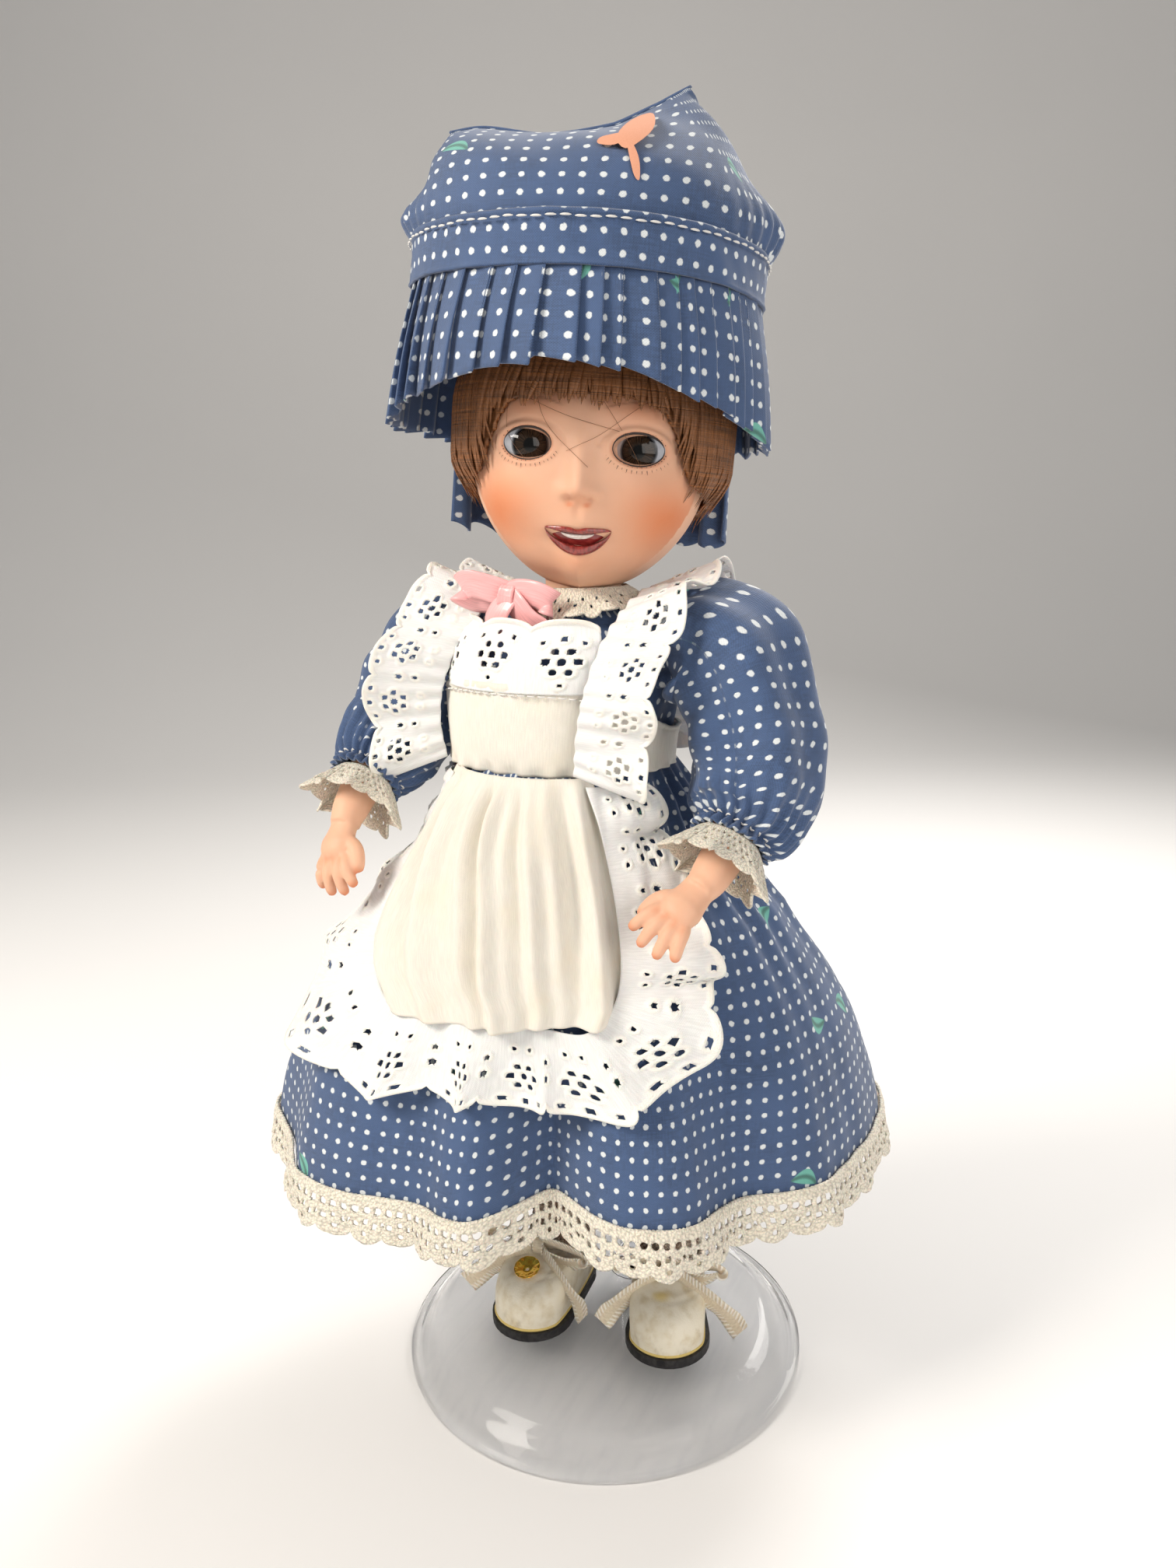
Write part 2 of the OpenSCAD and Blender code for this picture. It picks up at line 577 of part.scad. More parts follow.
sleeve_x = 26.9;                        // flat inner end of a sleeve's puff
puff_w = 20;
module sleeve(side, swing, splay) {
  end = elbow + 0.42 * (wrist - elbow);
  color([0.25, 0.3, 0.42]) arm_frame(side, swing) difference() {
    union() {
      translate([sleeve_x - shoulder_x, 0, 0]) along_x() rotate_extrude() polygon([[0, 0], [11, 0],
        [sleeve_r - 0.6, 3], [sleeve_r, 8], [sleeve_r - 1, 14], [9, puff_w], [0, puff_w]]);
      splay_out(splay) {
        bar([5, 0, -3], elbow, sleeve_r - 3.4, sleeve_r - 4);
        translate(elbow) sphere(r = sleeve_r - 3.7);
        bar(elbow, end, sleeve_r - 4, sleeve_r - 4.6);
      }
    }
    translate([boss_x - shoulder_x - 4, 0, 0]) along_x()
      cylinder(h = shoulder_x - boss_x + root_r + 5, r = root_r + 1);
    splay_out(splay) arm_limb(gap);
  }
}
module cuff_lace(side, swing, splay) {
  start = elbow + 0.57 * (wrist - elbow);
  end = elbow + 0.8 * (wrist - elbow);
  color([0.94, 0.9, 0.8]) arm_frame(side, swing) splay_out(splay) difference() {
    bar(start, end, sleeve_r - 5, sleeve_r - 4.2);
    arm_limb(gap);
  }
}
module arm_left() { arm_casting(1, swing_left, splay_left); }
module arm_right() { arm_casting(-1, swing_right, splay_right); }
module arm_hook_left() { arm_hook(1, swing_left); }
module arm_hook_right() { arm_hook(-1, swing_right); }
module sleeve_left() { sleeve(1, swing_left, splay_left); }
module sleeve_right() { sleeve(-1, swing_right, splay_right); }
module cuff_lace_left() { cuff_lace(1, swing_left, splay_left); }
module cuff_lace_right() { cuff_lace(-1, swing_right, splay_right); }

// --- legs -------------------------------------------------------------------------
// Heel and toe of each foot: [side, heel centre x, heel centre y, turned out by].
left_foot = [1, 12.8, 9, 20];
right_foot = [-1, 12.2, 4.6, 1];
heel_r = 0.38 * sole_w;
toe_r = sole_w / 2;
toe_reach = sole_len - heel_r - toe_r;
shoe_h = 12;
ankle_r = 4.4;
sock_t = 1.8;
sock_h = 15;
module foot_frame(foot) {
  mirror([foot[0] < 0 ? 1 : 0, 0, 0]) translate([foot[1], foot[2], sole_z])
    rotate([0, 0, foot[3]]) children();
}
module sole_outline(grow) {
  hull() {
    circle(r = heel_r + grow, $fn = 32);
    translate([0, -toe_reach]) circle(r = toe_r + grow, $fn = 32);
  }
}
// The body of a shoe, thicker by grow all round.
module shoe_form(grow) {
  z0 = sole_t + 0.3 - grow;
  hull() {
    translate([0, 0, z0]) linear_extrude(1) sole_outline(grow - 0.8);
    translate([0, -toe_reach, sole_t + 3.4])
      cylinder(h = 3 + grow, r1 = toe_r - 0.6 + grow, r2 = toe_r - 4 + grow, $fn = 32);
    translate([0, -1.5, sole_t + shoe_h - 2]) cylinder(h = 3 + grow, r = 6.6 + grow, $fn = 32);
    translate([0, 0, sole_t + 4]) cylinder(h = 1, r = heel_r - 0.4 + grow, $fn = 32);
  }
}
module sole(foot) {
  color([0.16, 0.15, 0.15]) foot_frame(foot) linear_extrude(sole_t) sole_outline(0);
}
module shoe(foot) {
  color([0.9, 0.87, 0.8]) foot_frame(foot) difference() {
    shoe_form(0);
    shoe_form(-1.2);
    translate([0, -1.5, sole_t + shoe_h - 2]) cylinder(h = 6, r = 5.6);
  }
}
function ankle(foot) = [foot[0] * (foot[1] + 1.5 * sin(foot[3])), foot[2] - 1.5 * cos(foot[3]),
  sole_z + sole_t + shoe_h - 2];
function knee(foot) = [foot[0] * (hip_x + 0.45 * (foot[1] - hip_x)), hip_y + 0.3 * (foot[2] - hip_y),
  hip_z - 0.46 * leg_len];
function hip(foot) = [foot[0] * hip_x, hip_y, hip_z];
module leg_casting(foot) {
  color([0.95, 0.77, 0.64]) difference() {
    union() {
      translate(hip(foot)) sphere(r = ball_r);
      bar(hip(foot), knee(foot), ball_r - 1.2, 5.4);
      translate(knee(foot)) sphere(r = 5.7);
      bar(knee(foot), ankle(foot), 5.4, ankle_r);
      foot_frame(foot) shoe_form(-1.5);
    }
    translate(hip(foot) + [0, body_y - hip_y, -3]) cylinder(h = 12, r = wire_r + 0.1);
  }
}
module leg_hook(foot) {
  color([0.7, 0.7, 0.72]) translate(hip(foot) + [0, body_y - hip_y, -3]) cylinder(h = 13, r = wire_r);
}
module pantalette_leg(foot) {
  thigh = knee(foot) - hip(foot);
  color([0.97, 0.97, 0.95]) difference() {
    bar(hip(foot) + 0.2 * thigh, hip(foot) + 0.96 * thigh, hip_x - 0.5, hip_x - 0.5);
    bar(hip(foot) + 0.1 * thigh, hip(foot) + 1.1 * thigh, ball_r - 1.2 + gap, ball_r - 1.2 + gap);
  }
}
module sock(foot) {
  shin = (knee(foot) - ankle(foot)) / norm(knee(foot) - ankle(foot));
  low = ankle(foot) + 4.6 * shin;
  up = low + sock_h * shin;
  color([0.62, 0.52, 0.42]) difference() {
    bar(low, up, ankle_r + sock_t + 1.2, ankle_r + sock_t + 0.6);
    bar(ankle(foot), knee(foot), ankle_r + gap, 5.4 + gap);
  }
}
module shoe_ribbon(foot) {
  color([0.95, 0.9, 0.84]) difference() {
    foot_frame(foot) translate([0, -1.5 - 7.6 - 4.2, sole_t + shoe_h - 0.5]) {
      translate([-1.5, 0, -1.5]) cube([3, 2, 3]);
      for (side = [-1, 1]) mirror([side < 0 ? 1 : 0, 0, 0]) {
        translate([1, 0, -1.4]) rotate([0, -22, 10]) cube([9, 1.2, ribbon_w]);
        translate([1, 0, -1.4]) rotate([0, 28, 34]) cube([15, 0.9, ribbon_w]);
      }
    }
    foot_frame(foot) shoe_form(gap);
    bar(knee(foot), ankle(foot) - [0, 0, 4], 5.4 + gap, ankle_r + gap);
  }
}
module leg_left() { leg_casting(left_foot); }
module leg_right() { leg_casting(right_foot); }
module leg_hook_left() { leg_hook(left_foot); }
module leg_hook_right() { leg_hook(right_foot); }
module pantalette_leg_left() { pantalette_leg(left_foot); }
module pantalette_leg_right() { pantalette_leg(right_foot); }
module sock_left() { sock(left_foot); }
module sock_right() { sock(right_foot); }
module shoe_left() { shoe(left_foot); }
module shoe_right() { shoe(right_foot); }
module sole_left() { sole(left_foot); }
module sole_right() { sole(right_foot); }
module shoe_ribbon_left() { shoe_ribbon(left_foot); }
module shoe_ribbon_right() { shoe_ribbon(right_foot); }
module sequin() {
  color([0.95, 0.8, 0.3]) foot_frame(right_foot)
    translate([0, -toe_reach - 1, sole_t + 9.6]) rotate([14, 0, 0]) cylinder(h = 0.8, r = sequin_r);
}

stand_base();
stand_post();
post_rod();
waist_clip();
torso();
arm_elastic();
leg_elastic();
pantalettes_seat();
dress_bodice();
dress_collar();
collar_bow();
dress_snaps();
dress_skirt();
hem_lace();
apron_waistband();
apron_bib();
apron_skirt();
apron_flounce();
apron_tie();
apron_strap_left();
apron_strap_right();
strap_frill_left();
strap_frill_right();
head();
eye_left();
eye_right();
eye_plaster();
pate();
head_hook();
wig();
hat_band();
hat_crown();
hat_brim();
hat_curtain();
arm_left();
arm_hook_left();
sleeve_left();
cuff_lace_left();
arm_right();
arm_hook_right();
sleeve_right();
cuff_lace_right();
leg_left();
leg_hook_left();
pantalette_leg_left();
sock_left();
shoe_left();
sole_left();
shoe_ribbon_left();
leg_right();
leg_hook_right();
pantalette_leg_right();
sock_right();
shoe_right();
sole_right();
shoe_ribbon_right();
sequin();
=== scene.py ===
import math

import bpy
import numpy as np
from mathutils import Matrix, Vector


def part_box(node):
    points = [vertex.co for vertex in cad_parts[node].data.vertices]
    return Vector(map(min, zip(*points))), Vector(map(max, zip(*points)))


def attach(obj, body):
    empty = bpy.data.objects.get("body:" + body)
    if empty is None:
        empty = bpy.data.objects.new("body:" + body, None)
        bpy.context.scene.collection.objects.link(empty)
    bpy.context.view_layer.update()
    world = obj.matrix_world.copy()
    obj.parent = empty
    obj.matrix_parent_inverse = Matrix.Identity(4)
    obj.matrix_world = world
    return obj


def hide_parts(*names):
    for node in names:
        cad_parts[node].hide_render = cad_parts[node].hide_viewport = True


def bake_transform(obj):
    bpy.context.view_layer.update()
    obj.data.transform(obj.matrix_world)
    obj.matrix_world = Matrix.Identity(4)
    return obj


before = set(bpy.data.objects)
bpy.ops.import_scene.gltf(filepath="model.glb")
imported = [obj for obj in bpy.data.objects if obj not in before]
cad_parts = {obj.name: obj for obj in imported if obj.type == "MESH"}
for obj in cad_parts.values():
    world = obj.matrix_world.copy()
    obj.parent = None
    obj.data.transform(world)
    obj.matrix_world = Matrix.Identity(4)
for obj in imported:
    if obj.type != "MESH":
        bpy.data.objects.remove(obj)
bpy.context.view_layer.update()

bl_info = {
    "name": "Porcelain Doll",
    "version": (1, 0, 0),
    "blender": (4, 5, 0),
    "location": "View3D > Sidebar > Doll",
    "description": "A jointed porcelain doll in a dotted dress, apron and bonnet on a clear stand",
    "category": "Object",
}

MM = 0.001
TAU = 2 * math.pi
BODY_Y = -3.0            # axis of the doll's body, neck and head, mm
HEAD_TURN = math.radians(22)
HEAD_TILT = math.radians(5)
TILT_Z = 172.0           # the head leans about this height, mm


# ---------------------------------------------------------------- settings
class DollColours(bpy.types.PropertyGroup):
    """Colours that a maker would change."""

    bisque: bpy.props.FloatVectorProperty(
        name="Bisque", description="Fired porcelain skin", subtype="COLOR", size=3,
        min=0, max=1, default=(0.73, 0.43, 0.29))
    blush: bpy.props.FloatVectorProperty(
        name="Blush", description="Painted cheeks", subtype="COLOR", size=3,
        min=0, max=1, default=(0.66, 0.22, 0.09))
    lips: bpy.props.FloatVectorProperty(
        name="Lips", description="Glossy painted lips", subtype="COLOR", size=3,
        min=0, max=1, default=(0.23, 0.028, 0.022))
    cotton: bpy.props.FloatVectorProperty(
        name="Dress cotton", description="Ground colour of the dotted cotton", subtype="COLOR",
        size=3, min=0, max=1, default=(0.038, 0.072, 0.158))
    dot: bpy.props.FloatVectorProperty(
        name="Dots", description="Printed pin dots", subtype="COLOR", size=3,
        min=0, max=1, default=(0.72, 0.76, 0.78))
    leaf: bpy.props.FloatVectorProperty(
        name="Leaves", description="Printed leaves", subtype="COLOR", size=3,
        min=0, max=1, default=(0.13, 0.40, 0.33))
    apron: bpy.props.FloatVectorProperty(
        name="Apron cotton", description="Off-white apron cotton", subtype="COLOR", size=3,
        min=0, max=1, default=(0.80, 0.76, 0.68))
    eyelet: bpy.props.FloatVectorProperty(
        name="Eyelet", description="White eyelet embroidery", subtype="COLOR", size=3,
        min=0, max=1, default=(0.86, 0.86, 0.85))
    lace: bpy.props.FloatVectorProperty(
        name="Lace", description="Cream crochet lace", subtype="COLOR", size=3,
        min=0, max=1, default=(0.85, 0.79, 0.66))
    hair: bpy.props.FloatVectorProperty(
        name="Hair", description="Auburn wig", subtype="COLOR", size=3,
        min=0, max=1, default=(0.20, 0.075, 0.022))
    satin: bpy.props.FloatVectorProperty(
        name="Satin bow", description="Pink satin at the collar", subtype="COLOR", size=3,
        min=0, max=1, default=(0.86, 0.42, 0.42))
    shoe: bpy.props.FloatVectorProperty(
        name="Shoes", description="Cream leathercloth", subtype="COLOR", size=3,
        min=0, max=1, default=(0.80, 0.74, 0.60))


class DollSizes(bpy.types.PropertyGroup):
    """Sizes that a maker would change, in metres."""

    dot_pitch: bpy.props.FloatProperty(
        name="Dot pitch", description="Distance between printed dots", unit="LENGTH",
        default=3.3 * MM, min=1 * MM, max=8 * MM)
    dot_radius: bpy.props.FloatProperty(
        name="Dot radius", description="Radius of a printed dot", unit="LENGTH",
        default=0.55 * MM, min=0.2 * MM, max=2 * MM)
    leaf_pitch: bpy.props.FloatProperty(
        name="Leaf spacing", description="Distance between printed leaves", unit="LENGTH",
        default=26 * MM, min=10 * MM, max=80 * MM)
    strand: bpy.props.FloatProperty(
        name="Hair lock", description="Width of a lock of the wig", unit="LENGTH",
        default=0.55 * MM, min=0.3 * MM, max=3 * MM)


def colours():
    return bpy.context.scene.doll_colours


def sizes():
    return bpy.context.scene.doll_sizes


# ---------------------------------------------------------------- arithmetic
def smooth(x, a, b):
    """0 below a, 1 above b, and 3t^2 - 2t^3 between them."""
    t = np.clip((x - a) / (b - a), 0, 1)
    return t * t * (3 - 2 * t)


def bump(x, y, sx, sy):
    """A bell, exp(-(x/sx)^2 - (y/sy)^2)."""
    return np.exp(-(x / sx) ** 2 - (y / sy) ** 2)


def spline(t, points):
    """A Catmull-Rom curve through points, read at t from 0 to 1 by the points' own order."""
    p = np.asarray(points, float)
    if p.ndim == 1:
        p = p[:, None]
    n = len(p) - 1
    s = np.clip(np.asarray(t, float), 0, 1) * n
    i = np.minimum(s.astype(int), n - 1)
    f = (s - i)[..., None]
    ends = np.vstack([2 * p[0] - p[1], p, 2 * p[-1] - p[-2]])
    a, b, c, d = ends[i], ends[i + 1], ends[i + 2], ends[i + 3]
    return 0.5 * (2 * b + (c - a) * f + (2 * a - 5 * b + 4 * c - d) * f ** 2
                  + (3 * b - a - 3 * c + d) * f ** 3)


def level(x, table):
    """Reads a table of (x, value) pairs along a smooth curve."""
    t = np.array(table, float)
    xs = np.asarray(x, float)
    k = np.interp(xs, t[:, 0], np.arange(len(t))) / (len(t) - 1)
    out = spline(k, t[:, 1:])
    return out[..., 0] if t.shape[1] == 2 else out


def wobble(x, seed, n=5, base=1.0):
    """A sum of n sines with seeded phases, of size about 1."""
    rng = np.random.default_rng(seed)
    out = np.zeros_like(np.asarray(x, float))
    for k in range(n):
        out = out + np.sin(base * (k + 1) * rng.uniform(0.7, 1.3) * x + rng.uniform(0, TAU)) / (k + 1) ** 0.7
    return out / 1.6


def unit(v):
    return v / np.maximum(np.linalg.norm(v, axis=-1, keepdims=True), 1e-9)


def turn_z(p, angle):
    c, s = math.cos(angle), math.sin(angle)
    return np.stack([p[..., 0] * c - p[..., 1] * s, p[..., 0] * s + p[..., 1] * c, p[..., 2]], -1)


def in_head(p):
    """From the head's own axes (x its left, y its back) to the frame: lean, turn, then shift."""
    p = np.asarray(p, float)
    c, s = math.cos(HEAD_TILT), math.sin(HEAD_TILT)
    z = p[..., 2] - TILT_Z
    leaned = np.stack([p[..., 0] * c + z * s, p[..., 1], TILT_Z - p[..., 0] * s + z * c], -1)
    return turn_z(leaned, HEAD_TURN) + [0, BODY_Y, 0]


def in_body(p):
    return np.asarray(p, float) + [0, BODY_Y, 0]


# ---------------------------------------------------------------- meshes
def grid(nu, nv, u=(0, 1), v=(0, 1)):
    """Two arrays of parameters, nu rows by nv columns."""
    return np.meshgrid(np.linspace(*u, nu), np.linspace(*v, nv), indexing="ij")


def quads(nu, nv, wrap_u=False, wrap_v=False):
    """Faces of a grid of nu by nv points, row by row."""
    i, j = np.meshgrid(np.arange(nu if wrap_u else nu - 1), np.arange(nv if wrap_v else nv - 1),
                       indexing="ij")
    i, j = i.ravel(), j.ravel()
    k = (i + 1) % nu
    m = (j + 1) % nv
    return np.stack([i * nv + j, k * nv + j, k * nv + m, i * nv + m], 1)


def piece(name, points, faces, uv=None, paint=None, weld=True, flip=False):
    """An object from points in mm and quads; uv is one pair of mm per point, paint is RGBA."""
    points = np.asarray(points, float).reshape(-1, 3)
    faces = np.asarray(faces)
    if flip:
        faces = faces[:, ::-1]
    mesh = bpy.data.meshes.new(name)
    mesh.vertices.add(len(points))
    mesh.vertices.foreach_set("co", (points * MM).ravel())
    mesh.loops.add(faces.size)
    mesh.loops.foreach_set("vertex_index", faces.ravel().astype(np.int32))
    mesh.polygons.add(len(faces))
    mesh.polygons.foreach_set("loop_start", np.arange(0, faces.size, faces.shape[1], dtype=np.int32))
    mesh.update(calc_edges=True)
    if uv is not None:
        layer = mesh.uv_layers.new(name="cloth")
        layer.data.foreach_set("uv", np.asarray(uv, float).reshape(-1, 2)[faces.ravel()].ravel())
    if paint is not None:
        attribute = mesh.attributes.new("paint", "FLOAT_COLOR", "POINT")
        attribute.data.foreach_set("color", np.asarray(paint, float).reshape(-1, 4).ravel())
    mesh.polygons.foreach_set("use_smooth", np.ones(len(faces), bool))
    obj = bpy.data.objects.new(name, mesh)
    bpy.context.scene.collection.objects.link(obj)
    if weld:
        tidy_mesh(obj)
    return obj


def tidy_mesh(obj, distance=2e-6):
    """Merges doubled points, so that poles and seams are closed."""
    import bmesh
    bm = bmesh.new()
    bm.from_mesh(obj.data)
    bmesh.ops.remove_doubles(bm, verts=bm.verts, dist=distance)
    bmesh.ops.dissolve_degenerate(bm, edges=bm.edges, dist=1e-7)
    bm.to_mesh(obj.data)
    bm.free()


def outwards(obj):
    """Recalculates a closed mesh's normals so that they point out."""
    import bmesh
    bm = bmesh.new()
    bm.from_mesh(obj.data)
    bmesh.ops.recalc_face_normals(bm, faces=bm.faces)
    bm.to_mesh(obj.data)
    bm.free()


def join(name, objs):
    """One object from several, with the first one's name changed to name."""
    bpy.ops.object.select_all(action="DESELECT")
    for o in objs:
        o.select_set(True)
    bpy.context.view_layer.objects.active = objs[0]
    bpy.ops.object.join()
    objs[0].name = name
    objs[0].data.name = name
    return objs[0]


def apply_modifiers(obj):
    bpy.ops.object.select_all(action="DESELECT")
    obj.select_set(True)
    bpy.context.view_layer.objects.active = obj
    for m in list(obj.modifiers):
        bpy.ops.object.modifier_apply(modifier=m.name)
    return obj


def thicken(obj, t, offset=-1.0):
    m = obj.modifiers.new("cloth thickness", "SOLIDIFY")
    m.thickness = t * MM
    m.offset = offset
    m.use_even_offset = False
    return obj


def dress(obj, material, body, slot, *nodes):
    """Gives a piece its material and its body, and hides the nodes that it stands for; slot is not used."""
    obj.data.materials.clear()
    obj.data.materials.append(material)
    if body:
        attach(obj, body)
    if nodes:
        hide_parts(*nodes)
    return obj


def frames_along(path, up=(0, 0, 1)):
    """Tangent, side and up vectors at each point of a path, from a fixed up direction."""
    t = unit(np.gradient(path, axis=0))
    side = unit(np.cross(t, np.asarray(up, float)))
    return t, side, np.cross(side, t)


def tube_points(path, radius, sides, up=(0, 0, 1), flat=1.0, twist=0.0):
    """Rings of an ellipse, radius by radius*flat, along a path."""
    _, side, over = frames_along(path, up)
    a = np.linspace(0, TAU, sides, endpoint=False) + twist
    r = np.broadcast_to(np.asarray(radius, float), (len(path),))[:, None, None]
    ring = np.cos(a)[None, :, None] * side[:, None] + flat * np.sin(a)[None, :, None] * over[:, None]
    return path[:, None] + r * ring


def tube(name, path, radius, sides=12, up=(0, 0, 1), flat=1.0, closed_ends=True, uv_scale=1.0):
    """A tube along a path whose ends close to a point."""
    path = np.asarray(path, float)
    p = tube_points(path, radius, sides, up, flat)
    if closed_ends:
        first = np.broadcast_to(path[0], (1, sides, 3))
        last = np.broadcast_to(path[-1], (1, sides, 3))
        p = np.concatenate([first, p, last], 0)
    n = len(p)
    run = np.concatenate([[0], np.cumsum(np.linalg.norm(np.diff(p.mean(1), axis=0), axis=1))])
    uv = np.stack(np.broadcast_arrays(run[:, None] * uv_scale,
                  np.linspace(0, TAU * float(np.mean(radius)), sides)[None] * uv_scale), -1)
    o = piece(name, p, quads(n, sides, wrap_v=True), uv=uv)
    outwards(o)
    return o


def ribbon(name, path, width_dir, width, thickness=0.35, crown=0.0, uv_v=None, n=220):
    """A flat band along a path: width_dir gives the direction across it at each chosen point.
    crown lifts its middle, in mm."""
    s = np.linspace(0, 1, n)
    line = spline(s, path)
    across = unit(spline(s, width_dir))
    tangent = unit(np.gradient(line, axis=0))
    across = unit(across - (across * tangent).sum(-1, keepdims=True) * tangent)
    normal = np.cross(tangent, across)
    k = np.linspace(-1, 1, 9)
    w = np.broadcast_to(np.asarray(width, float), (n,)) / 2
    p = (line[:, None] + across[:, None] * (w[:, None] * k[None])[..., None]
         + normal[:, None] * (crown * (1 - k ** 2))[None, :, None])
    run = np.concatenate([[0], np.cumsum(np.linalg.norm(np.diff(line, axis=0), axis=1))])
    uv = np.stack(np.broadcast_arrays(run[:, None], (w[:, None] * k[None]) + 50), -1)
    o = piece(name, p, quads(n, len(k)), uv=uv)
    return thicken(o, thickness, 0)


# ---------------------------------------------------------------- node materials
class Mix:
    """A material's node tree, built by short calls."""

    def __init__(self, name, **sockets):
        self.material = bpy.data.materials.new(name)
        self.material.use_nodes = True
        self.tree = self.material.node_tree
        self.shader = self.tree.nodes["Principled BSDF"]
        for key, value in sockets.items():
            self.shader.inputs[key.replace("_", " ")].default_value = value

    def node(self, kind, settings=None, **inputs):
        n = self.tree.nodes.new("ShaderNode" + kind)
        for key, value in (settings or {}).items():
            setattr(n, key, value)
        for key, value in inputs.items():
            self.put(n.inputs[int(key[1:])] if key[0] == "i" and key[1:].isdigit()
                     else n.inputs[key.replace("_", " ")], value)
        return n

    def put(self, socket, value):
        if isinstance(value, bpy.types.NodeSocket):
            self.tree.links.new(value, socket)
        elif isinstance(value, bpy.types.Node):
            self.tree.links.new(value.outputs[0], socket)
        else:
            socket.default_value = value

    def maths(self, op, a, b=0.0, c=0.0, clamp=False):
        return self.node("Math", {"operation": op, "use_clamp": clamp}, i0=a, i1=b, i2=c)

    def ramp(self, value, lo, hi):
        """0 below lo and 1 above hi, smoothly."""
        return self.node("MapRange", {"interpolation_type": "SMOOTHSTEP"}, Value=value,
                         From_Min=lo, From_Max=hi)

    def blend(self, factor, a, b, mode="MIX"):
        n = self.tree.nodes.new("ShaderNodeMix")
        n.data_type = "RGBA"
        n.blend_type = mode
        for socket, value in zip((n.inputs[0], n.inputs[6], n.inputs[7]), (factor, a, b)):
            self.put(socket, (*value, 1) if isinstance(value, (tuple, list)) and len(value) == 3 else value)
        return n.outputs[2]

    def coordinates(self, source="Object", scale=1000.0):
        """Object or UV coordinates in mm."""
        if source == "UV":
            start = self.node("UVMap", {"uv_map": "cloth"}).outputs[0]
            scale = 1.0
        else:
            start = self.node("TexCoord").outputs[source]
        return self.node("Mapping", None, Vector=start, Scale=(scale, scale, scale)).outputs[0]

    def noise(self, vector, scale, detail=3.0, roughness=0.5, distortion=0.0):
        return self.node("TexNoise", None, Vector=vector, Scale=scale, Detail=detail,
                         Roughness=roughness, Distortion=distortion).outputs[0]

    def split(self, vector):
        n = self.node("SeparateXYZ", None, Vector=vector)
        return n.outputs[0], n.outputs[1], n.outputs[2]

    def bump(self, height, strength, distance=1.0, normal=None):
        n = self.node("Bump", None, Height=height, Strength=strength, Distance=distance * MM)
        if normal is not None:
            self.put(n.inputs["Normal"], normal)
        self.put(self.shader.inputs["Normal"], n.outputs[0])
        return n.outputs[0]

    def colour(self, value):
        self.put(self.shader.inputs["Base Color"], value)

    def rough(self, value):
        self.put(self.shader.inputs["Roughness"], value)


def shade(colour, k):
    return tuple(min(1.0, c * k) for c in colour)


def weave(m, uv, pitch=0.42):
    """Height of a plain weave: two crossed sines of the thread pitch."""
    x, y, _ = m.split(uv)
    a = m.maths("SINE", m.maths("MULTIPLY", x, TAU / pitch))
    b = m.maths("SINE", m.maths("MULTIPLY", y, TAU / pitch))
    return m.maths("MULTIPLY_ADD", m.maths("MULTIPLY", a, b), 0.5, 0.5)


_made = {}


def material(name):
    """The named finish, made once."""
    if name not in _made:
        _made[name] = FINISHES[name]()
        _made[name].name = name
    return _made[name]


